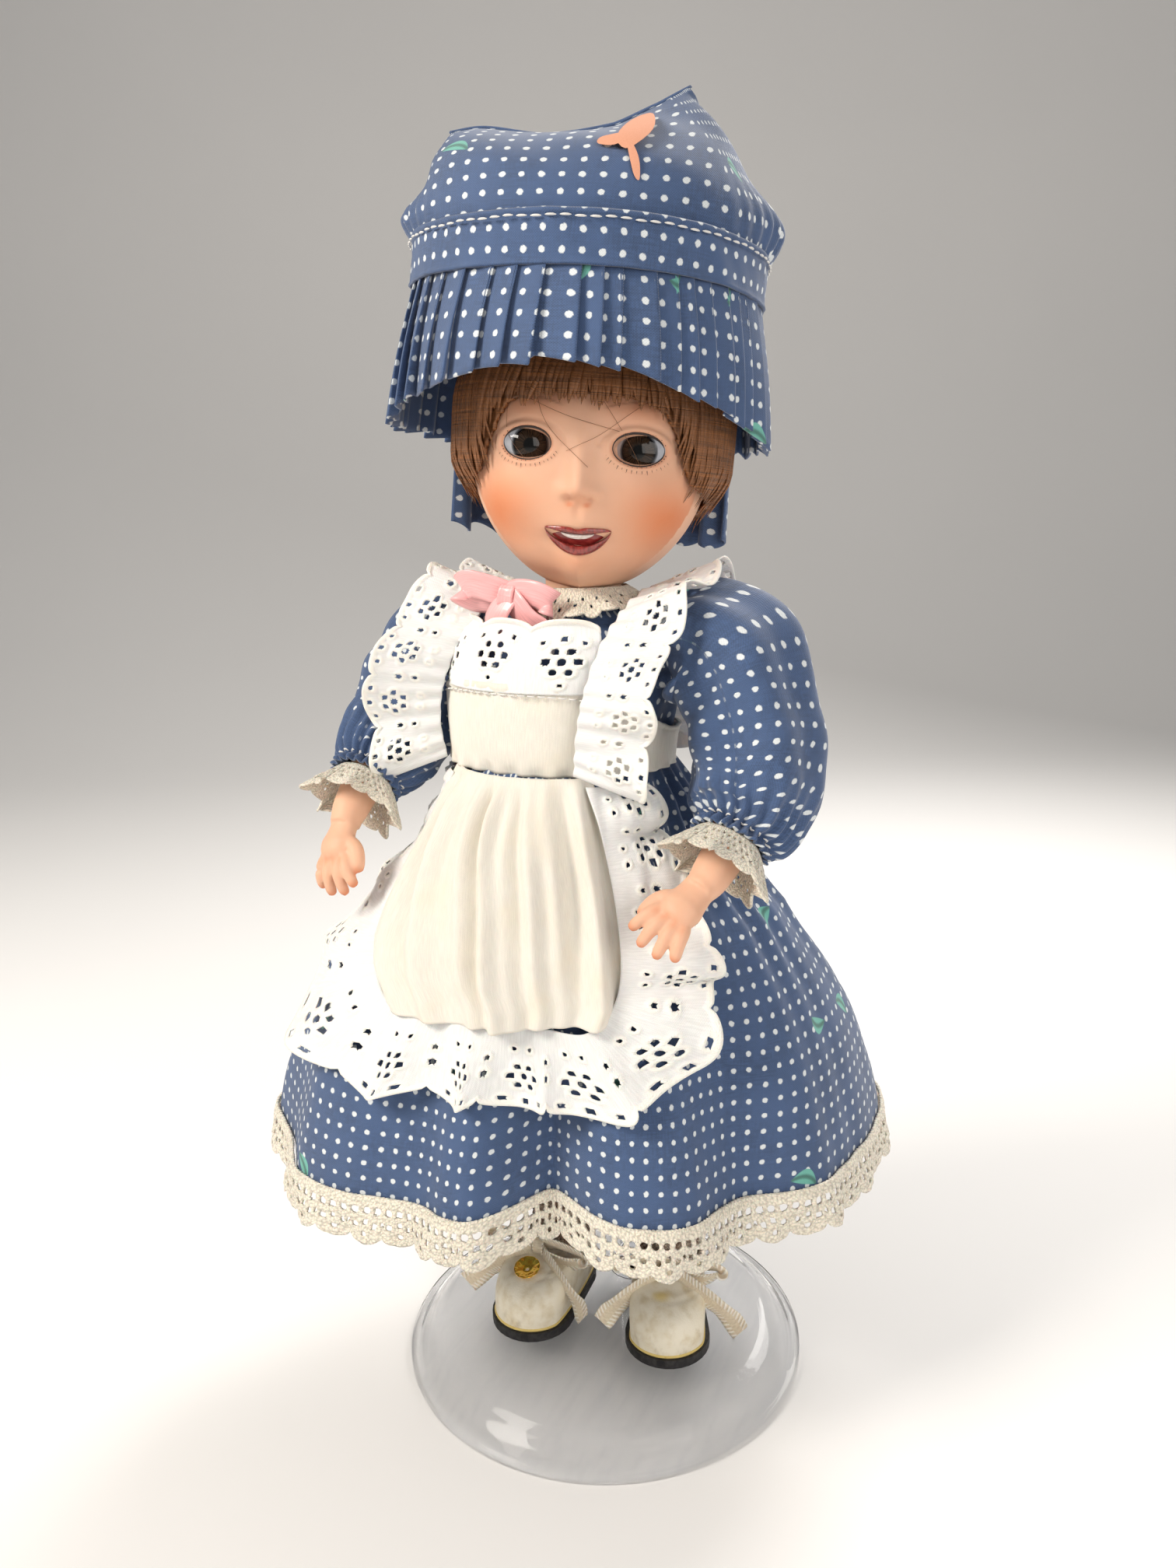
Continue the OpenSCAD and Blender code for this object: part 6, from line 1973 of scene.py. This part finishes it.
class DOLL_OT_arms(bpy.types.Operator):
    """Makes the puffed sleeves, the lace cuffs and the porcelain arms with their hands."""

    bl_idname = "doll.arms"
    bl_label = "Arms and sleeves"

    def execute(self, context):
        for side in ("left", "right"):
            self.sleeve(side)
            self.cuff(side)
            self.hand(side)
        return {"FINISHED"}

    def line(self, side, n):
        t = np.linspace(0, 1, n)
        path = spline(t, ARMS[side]["sleeve"])
        r = spline(t, ARMS[side]["round"])[:, 0]
        return t, path, r

    def sleeve(self, side):
        """Rings across the arm's line: a full head gathered into the armhole, folds that run along
        the arm, a few slack creases across it, and a shirred wrist with a thread line."""
        nu, nv = 110, 190
        t, path, r = self.line(side, nu)
        sgn = 1 if side == "left" else -1
        tangent = unit(np.gradient(path, axis=0))
        first = np.array([0, -1.0, 0.15])
        e1 = unit(first - (tangent @ first)[:, None] * tangent)
        e2 = np.cross(tangent, e1)
        a = np.linspace(0, TAU, nv + 1)[:-1]
        T, A = t[:, None], a[None]
        seed = 3 if side == "left" else 9
        head = 0.9 * np.sin(A * 15 + 1.2 * np.sin(3 * A)) * (1 - smooth(T, 0.02, 0.34))
        wrist = 0.85 * np.sin(A * 21 + 1.0 * np.sin(2 * A)) * smooth(T, 0.66, 0.93)
        soft = 1.15 * np.sin(A * 5 + 3 * T + seed) * np.sin(math.pi * T) ** 0.8
        cross = 0.75 * wobble(T * 9 + 1.4 * np.sin(A + seed),
                              seed) * np.sin(math.pi * np.clip(T * 1.05, 0, 1))
        sag = 1.2 * smooth(T, 0.45, 0.85) * (1 - smooth(T, 0.9, 1)) * (0.5 + 0.5 * np.cos(A - math.pi * 0.9))
        ring = r[:, None] + head + wrist * 0.8 + soft + cross + sag
        neck = np.exp(-((T - 0.955) / 0.016) ** 2) * 0.9
        flare = 1.1 * smooth(T, 0.965, 1.0)
        ring = ring - neck + flare
        p = path[:, None] + ring[..., None] * (np.cos(A)[..., None] * e1[:, None] + np.sin(A)[..., None] * e2[:, None])
        # the sleeve's inner side stays clear of the bodice
        inner = np.minimum(sgn * p[..., 0] - 13.0, 0)
        p[..., 0] -= sgn * inner
        run = np.concatenate([[0], np.cumsum(np.linalg.norm(np.diff(path, axis=0), axis=1))])
        uv = np.stack(np.broadcast_arrays(a[None] * (9.0 + 3.2 * np.sin(math.pi * T)), run[:, None] * 1.08),
                      -1)
        o = piece(f"sleeve_{side}_cotton", p, quads(nu, nv, wrap_v=True), uv=uv)
        outwards(o)
        thicken(o, 0.45, -1)
        dress(o, material("dotted cotton"), None, "dotted_cotton", f"sleeve_{side}")
        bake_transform(o)
        self.thread(side, path, e1, e2, ring, nu)

    def thread(self, side, path, e1, e2, ring, nu):
        """The line of white stitches where the wrist is gathered."""
        k = int(0.955 * (nu - 1))
        count, sides = 26, 6
        nv = ring.shape[1]
        f = quads(5, sides, wrap_v=True)
        points, faces = [], []
        for i in range(count):
            b = (i + np.linspace(0.14, 0.82, 5)) / count * TAU
            r = np.interp(b, np.linspace(0, TAU, nv + 1), np.append(ring[k], ring[k, 0])) + 0.30
            way = path[k] + r[:, None] * (np.cos(b)[:, None] * e1[k] + np.sin(b)[:, None] * e2[k])
            points.append(tube_points(way, 0.2 * np.array([0.3, 1, 1, 1, 0.3]), sides).reshape(-1, 3))
            faces.append(f + i * 5 * sides)
        o = piece(f"wrist_stitches_{side}", np.concatenate(points), np.concatenate(faces))
        outwards(o)
        dress(o, material("white thread"), f"arm_{side}", "dotted_cotton")

    def cuff(self, side):
        """A ruffle of crochet lace that flares from the wrist."""
        period, count, width = 4.9, 20, 9.6
        length = period * count
        holes = []
        for k in range(count):
            x = (k + 0.5) * period
            holes += [(x, 2.3, 0.50), (x - period / 2, 2.3, 0.50), (x - 1.0, 4.3, 0.42),
                      (x + 1.0, 4.3, 0.42), (x, 5.9, 0.48),
                      (x - period / 2, 5.6, 0.38)]
        _, path, _ = self.line(side, 60)
        start = path[-2]
        axis = unit(np.array(ARMS[side]["wrist"]) - path[-3])
        first = np.array([0, 0, 1.0])
        e1 = unit(first - (axis @ first) * axis)
        e2 = np.cross(axis, e1)

        def place(s, t, h):
            b = s / length * TAU
            far = t / width
            wave = np.sin(b * 8 + 0.8 * np.sin(3 * b)) * far
            sway = np.cos(b * 8 + 0.8 * np.sin(3 * b)) * far * 0.10
            b = b + sway
            r = 5.6 + 4.3 * far ** 0.8 + 1.5 * wave
            q = 0.2 + t * 0.74 + 0.5 * wave
            spot = start + q[..., None] * axis
            n = np.cos(b)[..., None] * e1 + np.sin(b)[..., None] * e2
            return spot + (r + 0 * h)[..., None] * n + (h * 1.0)[..., None] * axis

        o = pierced(f"cuff_{side}_crochet", length, width, 0.34, holes,
                    lambda s: width - 1.3 + 1.3 * np.sqrt(np.abs(np.sin(np.pi * s / period))), place,
                    None, 0.45, round_=True)
        dress(o, material("lace"), f"arm_{side}", "cream_lace", f"cuff_lace_{side}")

    def hand(self, side):
        """The porcelain arm: tubes for forearm, palm, four bent fingers and a thumb, melted into one
        skin by a voxel remesh and smoothed."""
        arm = ARMS[side]
        wrist, palm = np.array(arm["wrist"]), np.array(arm["palm"])
        aim = unit(np.array(arm["aim"]))
        over = np.array(arm["over"])
        over = unit(over - (over @ aim) * aim)
        across = unit(np.cross(aim, over))
        if across @ np.array(arm["across"]) < 0:
            across = -across
        _, path, _ = self.line(side, 24)
        # the forearm starts well inside the sleeve
        shoulder = spline(np.linspace(0, 1, 26),
                          [tuple(path[6]), tuple(path[12]), tuple(path[17]), tuple(path[-2]), tuple(wrist),
                                                  tuple(wrist * 0.55 + palm * 0.45)])
        parts = [tube("t", shoulder, np.interp(np.linspace(0, 1, 26), [0, 0.3, 0.6, 0.8, 0.92, 1],
                                               [5.0, 4.8, 4.4, 3.7, 3.2, 3.1]), 24)]
        body = [wrist * 0.8 + palm * 0.2, palm * 0.75 + wrist * 0.25, palm, palm + aim * 2.8]
        parts.append(tube("t", spline(np.linspace(0, 1, 12), [tuple(q) for q in body]),
                          np.interp(np.linspace(0, 1, 12), [0, 0.2, 0.6, 0.85, 1],
                                    [2.9, 3.3, 4.0, 3.7, 2.6]), 20, up=tuple(over), flat=0.68))
        tips = []
        for off, long_, bend in ((-2.9, 7.0, 0.62), (-1.0, 8.2, 0.72), (1.0, 8.0, 0.66), (2.9, 6.6, 0.80)):
            root = palm + aim * 2.2 + across * off * 0.98
            pts = [root]
            way = unit(aim + across * off * 0.13 - over * 0.10)
            for share in (0.40, 0.34, 0.26):
                pts.append(pts[-1] + way * long_ * share)
                way = unit(way * math.cos(bend * 0.62) - over * math.sin(bend * 0.62))
            tips.append(pts[-1])
            line = spline(np.linspace(0, 1, 14), [tuple(q) for q in pts])
            parts.append(tube("t", line, np.interp(np.linspace(0, 1, 14), [0, 0.1, 0.8, 0.95, 1],
                                                   [1.2, 1.34, 1.12, 0.92, 0.5]), 14, up=(0.1, 0.2, 1)))
        base = palm - aim * 1.0 - across * 2.6 - over * 0.4
        pts = [base, base - across * 2.0 + aim * 2.0 - over * 0.8,
               base - across * 2.6 + aim * 4.6 - over * 1.4, base - across * 2.2 + aim * 6.2 - over * 1.9]
        tips.append(pts[-1])
        line = spline(np.linspace(0, 1, 14), [tuple(q) for q in pts])
        parts.append(tube("t", line, np.interp(np.linspace(0, 1, 14), [0, 0.15, 0.8, 0.95, 1],
                                               [1.5, 1.75, 1.4, 1.1, 0.6]), 14, up=(0.1, 0.2, 1)))
        o = join(f"hand_{side}", parts)
        m = o.modifiers.new("melt", "REMESH")
        m.mode = "VOXEL"
        m.voxel_size = 0.36 * MM
        n = o.modifiers.new("calm", "SMOOTH")
        n.factor = 0.5
        n.iterations = 7
        apply_modifiers(o)
        mesh = o.data
        co = np.empty(len(mesh.vertices) * 3)
        mesh.vertices.foreach_get("co", co)
        co = co.reshape(-1, 3) / MM
        near = np.min([np.linalg.norm(co - t, axis=1) for t in tips], axis=0)
        tip = smooth(-near, -2.4, -0.6)
        knuckle = np.exp(-(np.min([np.linalg.norm(co - (palm + aim * 3.4 + across * off + over * 1.6), axis=1)
                                   for off in (-2.8, -1.0, 1.0, 2.8)], axis=0) / 1.0) ** 2)
        paint = np.stack([0.25 * knuckle + 0.15 * tip, 0.85 * tip + 0.25 * knuckle, 0 * tip, 1 + 0 * tip], -1)
        attribute = mesh.attributes.new("paint", "FLOAT_COLOR", "POINT")
        attribute.data.foreach_set("color", paint.ravel())
        mesh.polygons.foreach_set("use_smooth", np.ones(len(mesh.polygons), bool))
        dress(o, material("bisque"), f"arm_{side}", "bisque", f"arm_{side}", f"arm_hook_{side}")


# ---------------------------------------------------------------- legs and feet
FEET = {"left": (1, 12.8, 9.0, 20.0), "right": (-1, 12.2, 4.6, 1.0)}   # side, heel x, heel y, turned out by
SOLE_Z, SOLE_T, SHOE_H = 8.0, 2.0, 12.2
HEEL_R, TOE_R, TOE_REACH = 7.0, 9.2, 15.7


def in_foot(p, side):
    """Moves points of a foot's own axes, toe towards -Y, to the doll's."""
    sgn, x, y, turn = FEET[side]
    q = turn_z(np.asarray(p, float), math.radians(turn)) + np.array([x, y, SOLE_Z])
    return q * np.array([sgn, 1, 1])


def sole_line(a, grow=0.0):
    """The foot's egg outline: a circle at the heel and a wider one at the toe, blended between."""
    w = smooth(np.cos(a), -0.45, 0.45)
    r = HEEL_R + (TOE_R - HEEL_R) * w + grow
    return r * np.sin(a), -TOE_REACH * w - r * np.cos(a)


def leg_line(side):
    """The leg's middle from the ankle to the hip."""
    sgn, x, y, turn = FEET[side]
    b = math.radians(turn)
    ankle = (sgn * (x + 1.5 * math.sin(b)), y - 1.5 * math.cos(b), SOLE_Z + SOLE_T + 10)
    knee = (sgn * (8.7 + 0.45 * (x - 8.7)), 0.5 + 0.3 * (y - 0.5), 59.9)
    hip = (sgn * 8.7, 0.5, 105.0)
    return np.array(ankle), np.array(knee), np.array(hip)


class DOLL_OT_legs(bpy.types.Operator):
    """Makes the pantalettes, crumpled socks, shoes, ribbon bows and the sequin."""

    bl_idname = "doll.legs"
    bl_label = "Legs and shoes"

    def execute(self, context):
        for side in ("left", "right"):
            self.pantalette(side)
            self.sock(side)
            self.shoe(side)
            self.bow(side)
            for node, finish in ((f"leg_{side}", "bisque"), (f"leg_hook_{side}", "steel"),
                                 (f"sole_{side}", "sole")):
                finish_node(node, finish)
        for node, finish in (("torso", "bisque"), ("arm_elastic", "elastic"), ("leg_elastic", "elastic")):
            finish_node(node, finish)
        self.seat()
        self.sequin()
        return {"FINISHED"}

    def seat(self):
        low, high = [np.array(c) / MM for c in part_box("pantalettes_seat")]
        nu, nv = 24, 180
        t, v = grid(nu, nv + 1)
        t, a = t[:, :-1], v[:, :-1] * TAU
        rx, ry = (high - low)[0] / 2 - 0.3, (high - low)[1] / 2 - 0.3
        z = low[2] + (high[2] - low[2]) * t
        gather = 0.35 * np.sin(a * 34 + np.sin(3 * a)) * smooth(t, 0.55, 0.95) + 0.2 * wobble(a * 4 + t * 2,
                                                            5)
        p = np.stack([(rx + gather) * np.sin(a), (low[1] + high[1]) / 2 - (ry + gather) * np.cos(a), z], -1)
        o = piece("pantalettes_seat_cotton", p, quads(nu, nv, wrap_v=True), uv=np.stack([a * rx, z], -1))
        outwards(o)
        thicken(o, 0.4, -1)
        dress(o, material("underwear"), "torso", "white_cotton", "pantalettes_seat")

    def pantalette(self, side):
        _, knee, hip = leg_line(side)
        nu, nv = 60, 130
        t, v = grid(nu, nv + 1)
        t, a = t[:, :-1], v[:, :-1] * TAU
        mid = hip + (knee - hip) * (0.20 + 0.80 * t[..., None])
        puff = 7.9 + 0.5 * np.sin(math.pi * t) - 0.9 * np.exp(-((t - 0.86) / 0.02) ** 2) + 0.9 * smooth(t, 0.9, 1.0)
        r = puff + 0.28 * np.sin(a * 18 + np.sin(3 * a)) * smooth(t, 0.6, 0.86) + 0.3 * wobble(a * 2 + t * 7, 6)
        r = np.minimum(r, 8.3)
        p = mid + np.stack([r * np.sin(a), -r * np.cos(a), 0 * a], -1)
        o = piece(f"pantalette_{side}_cotton", p, quads(nu, nv, wrap_v=True),
                  uv=np.stack([a * 8, t * 36], -1))
        outwards(o)
        thicken(o, 0.4, -1)
        dress(o, material("underwear"), f"leg_{side}", "white_cotton", f"pantalette_leg_{side}")

    def sock(self, side):
        """A knit tube pushed down into folds around the ankle."""
        ankle, knee, _ = leg_line(side)
        nu, nv = 100, 120
        t, v = grid(nu, nv + 1)
        t, a = t[:, :-1], v[:, :-1] * TAU
        up = unit(knee - ankle)
        mid = ankle + up * (1.5 + 19.5 * t[..., None])
        seed = 2 if side == "left" else 7
        tilt = t * 24 + 1.1 * np.sin(a + seed) + 0.7 * np.sin(2 * a + 3 * seed)
        folds = 0.75 * np.sin(tilt * 1.25) * (1 - smooth(t, 0.72, 0.95)) + 0.35 * wobble(tilt * 0.8 + a, seed)
        r = 6.1 + 0.5 * t + folds + 0.14 * np.sin(a * 42)
        top = 0.35 * smooth(t, 0.90, 0.94)
        r = np.maximum(r + top, 5.3)
        p = mid + np.stack([r * np.sin(a), -r * np.cos(a), 0.35 * np.sin(2 * a + seed) + 0 * t], -1)
        o = piece(f"sock_{side}_knit", p, quads(nu, nv, wrap_v=True), uv=np.stack([a * 6.4, t * 26], -1))
        outwards(o)
        thicken(o, 0.6, -1)
        dress(o, material("knit"), f"leg_{side}", "knit", f"sock_{side}")

    def shoe(self, side):
        """The upper: a quarter round from the sole's outline up to the ankle's opening, with a
        stitched top line and a foxing bead along the sole."""
        nu, nv = 56, 130
        t, v = grid(nu, nv + 1)
        t, a = t[:, :-1], v[:, :-1] * TAU
        ox, oy = sole_line(a, -0.7)
        ex, ey = 6.35 * np.sin(a), -1.3 - 6.7 * np.cos(a)
        far = smooth(np.cos(a), -0.2, 0.9)
        s = 1 - np.cos(t * math.pi / 2) ** (1.0 - 0.15 * far)
        rise = np.sin(t * math.pi / 2) ** (0.86 - 0.12 * far)
        x, y = ox + (ex - ox) * s, oy + (ey - oy) * s
        bulge = 0.75 * np.sin(math.pi * t) * (1 - 0.4 * far)
        x, y = x + bulge * np.sin(a), y - bulge * np.cos(a)
        z = SOLE_T + 0.05 + (SHOE_H - 0.3 - 0.9 * far) * rise
        seed = 1 if side == "left" else 4
        crease = 0.28 * np.exp(-((t - 0.74) / 0.05) ** 2) * far + 0.2 * np.exp(-((t - 0.62) / 0.04) ** 2) * far
        z = z - crease + 0.10 * wobble(a * 3 + t * 5, seed)
        lip = 0.45 * np.exp(-((t - 0.985) / 0.03) ** 2)
        x, y = x + lip * np.sin(a), y - lip * np.cos(a)
        worn = smooth(wobble(a * 7 + 9 * t, seed + 3), 0.35, 0.9) * (0.25 + 0.75 * np.exp(-(t / 0.12) ** 2))
        worn = np.maximum(worn, 0.7 * np.exp(-((t - 0.985) / 0.02) ** 2))
        glue = np.zeros_like(a)
        if side == "left":
            glue = np.exp(-(((x + 1.2) / 1.8) ** 2 + ((y + 17.2) / 1.3) ** 2) ** 1.6)
        paint = np.stack([worn * 0.3, glue * 0.8, 0 * a, 1 + 0 * a], -1)
        o = piece(f"shoe_{side}_upper", in_foot(np.stack([x, y, z], -1), side), quads(nu, nv, wrap_v=True),
                  uv=np.stack([a * 9, t * 16], -1), paint=paint)
        outwards(o)
        thicken(o, 0.7, -1)
        apply_modifiers(o)
        bead_a = np.linspace(0, TAU, 121)
        bx, by = sole_line(bead_a, -0.75)
        bead = tube(f"shoe_{side}_bead", in_foot(np.stack([bx, by, 0 * bx + SOLE_T + 0.35], -1), side),
                    0.34, 8)
        line_a = np.linspace(0, TAU, 101)
        lx, ly = 6.9 * np.sin(line_a), -1.35 - 7.3 * np.cos(line_a)
        lz = SOLE_T + SHOE_H - 0.75 - 0.9 * smooth(np.cos(line_a), -0.2, 0.9)
        binding = tube(f"shoe_{side}_binding", in_foot(np.stack([lx, ly, lz], -1), side), 0.42, 8)
        whole = join(f"shoe_{side}_upper", [o, bead, binding])
        dress(whole, material("shoe"), f"leg_{side}", "shoe_leather", f"shoe_{side}")

    def bow(self, side):
        """A soft bow on the instep: a knot, two loops and two long tails of sheer ribbon."""
        knot = np.array([0.4, -10.2, 14.6])
        parts = []
        spread = 1.0 if side == "left" else 1.12
        w = 5.4
        for s, lift in ((-1, 0.3), (1, 0.0)):
            loop = [knot, knot + (3.4 * s, -1.6, 1.8 + lift), knot + (8.4 * s * spread, -2.4, 2.1 + lift),
                    knot + (11.0 * s * spread, -1.8, 0.2 + lift),
                    knot + (7.4 * s * spread, -2.6, -1.4 + lift),
                    knot + (3.2 * s, -2.4, -1.0), knot + (0, -0.7, -0.1)]
            across = [(0.1, -0.35, 1.0), (0.15, -0.5, 0.9), (0.1, -0.55, 0.85), (0.1, -0.7, 0.8),
                      (0.1, -0.5, 0.9),
                      (0.1, -0.4, 1.0), (0.1, -0.3, 1.0)]
            width = w * (0.5 + 0.5 * np.sin(math.pi * np.linspace(0, 1, 120)) ** 0.5)
            parts.append(ribbon("t", in_foot(np.array(loop), side), turned(across, side), width, 0.22, 0.25,
                                n=120))
        for s, reach, fall in ((-1, 14.5, 9.4), (1, 15.5, 9.8)):
            tail = [knot + (0, -0.5, -0.2), knot + (2.8 * s, -3.0, -1.6),
                    knot + (reach * 0.62 * s, -5.6, -fall * 0.48),
                    knot + (reach * 0.85 * s, -6.2, -fall * 0.78), knot + (reach * s, -8.0, -fall)]
            across = [(0.2 * s, -0.3, 1.0), (0.7 * s, -0.3, 0.7), (0.8, -0.4 * s, 0.3 * s),
                      (0.85, -0.35 * s, 0.35 * s),
                      (0.8, -0.5 * s, 0.3 * s)]
            across = [tuple(np.array(c) * (s if k > 1 else 1)) for k, c in enumerate(across)]
            width = w * (0.55 + 0.45 * smooth(np.linspace(0, 1, 120), 0, 0.35))
            parts.append(ribbon("t", in_foot(np.array(tail), side), turned(across, side), width, 0.22, 0.2,
                                n=120))
        b = np.linspace(0, TAU, 24)
        ring = knot[None] + np.stack([0 * b, -1.0 + 1.5 * np.cos(b), 2.0 * np.sin(b)], -1)
        parts.append(ribbon("t", in_foot(ring, side), turned([(1, 0, 0.1)] * 24, side), 2.6, 0.3, 0.3, n=80))
        for o in parts:
            apply_modifiers(o)
        whole = join(f"ribbon_bow_{side}", parts)
        dress(whole, material("organza"), f"leg_{side}", "organza", f"shoe_ribbon_{side}")

    def sequin(self):
        """A cup sequin: a shallow faceted dish with a threading hole in its middle."""
        nu, nv = 22, 72
        t, v = grid(nu, nv + 1)
        t, a = t[:, :-1], v[:, :-1] * TAU
        r = 0.42 + (2.95 - 0.42) * t
        cup = 0.75 * smooth(t, 0.12, 1.0) + 0.05 * np.cos(a * 12) * smooth(t, 0.3, 0.9)
        local = np.stack([r * np.sin(a), r * np.cos(a), cup], -1).reshape(-1, 3)
        b = math.radians(16)
        y = local[:, 1] * math.cos(b) - local[:, 2] * math.sin(b)
        z = local[:, 1] * math.sin(b) + local[:, 2] * math.cos(b)
        p = np.stack([local[:, 0] + 0.6, y - TOE_REACH - 1.0, z + SOLE_T + 10.0], -1)
        o = piece("cup_sequin", in_foot(p, "right"), quads(nu, nv, wrap_v=True), uv=local[:, :2])
        thicken(o, 0.22, 0)
        dress(o, material("sequin"), "leg_right", "gilt", "sequin")


def turned(directions, side):
    """Directions of a foot's own axes in the doll's."""
    sgn, _, _, turn = FEET[side]
    return turn_z(np.array(directions, float), math.radians(turn)) * np.array([sgn, 1, 1])


OPERATORS = (DOLL_OT_stage, DOLL_OT_stand, DOLL_OT_face, DOLL_OT_hat, DOLL_OT_hair, DOLL_OT_skirt,
             DOLL_OT_bodice, DOLL_OT_apron, DOLL_OT_arms, DOLL_OT_legs,)


# ---------------------------------------------------------------- panel and running
class DOLL_PT_pieces(bpy.types.Panel):
    """Lists the doll's pieces in the sidebar."""

    bl_idname = "DOLL_PT_pieces"
    bl_label = "Porcelain Doll"
    bl_space_type = "VIEW_3D"
    bl_region_type = "UI"
    bl_category = "Doll"

    def draw(self, context):
        for group in (context.scene.doll_colours, context.scene.doll_sizes):
            for key in group.__annotations__:
                self.layout.prop(group, key)
        for operator in OPERATORS:
            self.layout.operator(operator.bl_idname)


GROUPS = (DollColours, DollSizes)


def register():
    for c in (*GROUPS, *OPERATORS, DOLL_PT_pieces):
        bpy.utils.register_class(c)
    bpy.types.Scene.doll_colours = bpy.props.PointerProperty(type=DollColours)
    bpy.types.Scene.doll_sizes = bpy.props.PointerProperty(type=DollSizes)


def unregister():
    del bpy.types.Scene.doll_sizes
    del bpy.types.Scene.doll_colours
    for c in reversed((*GROUPS, *OPERATORS, DOLL_PT_pieces)):
        bpy.utils.unregister_class(c)


def main():
    register()
    for operator in OPERATORS:
        group, name = operator.bl_idname.split(".")
        getattr(getattr(bpy.ops, group), name)()


if __name__ == "__main__":
    main()
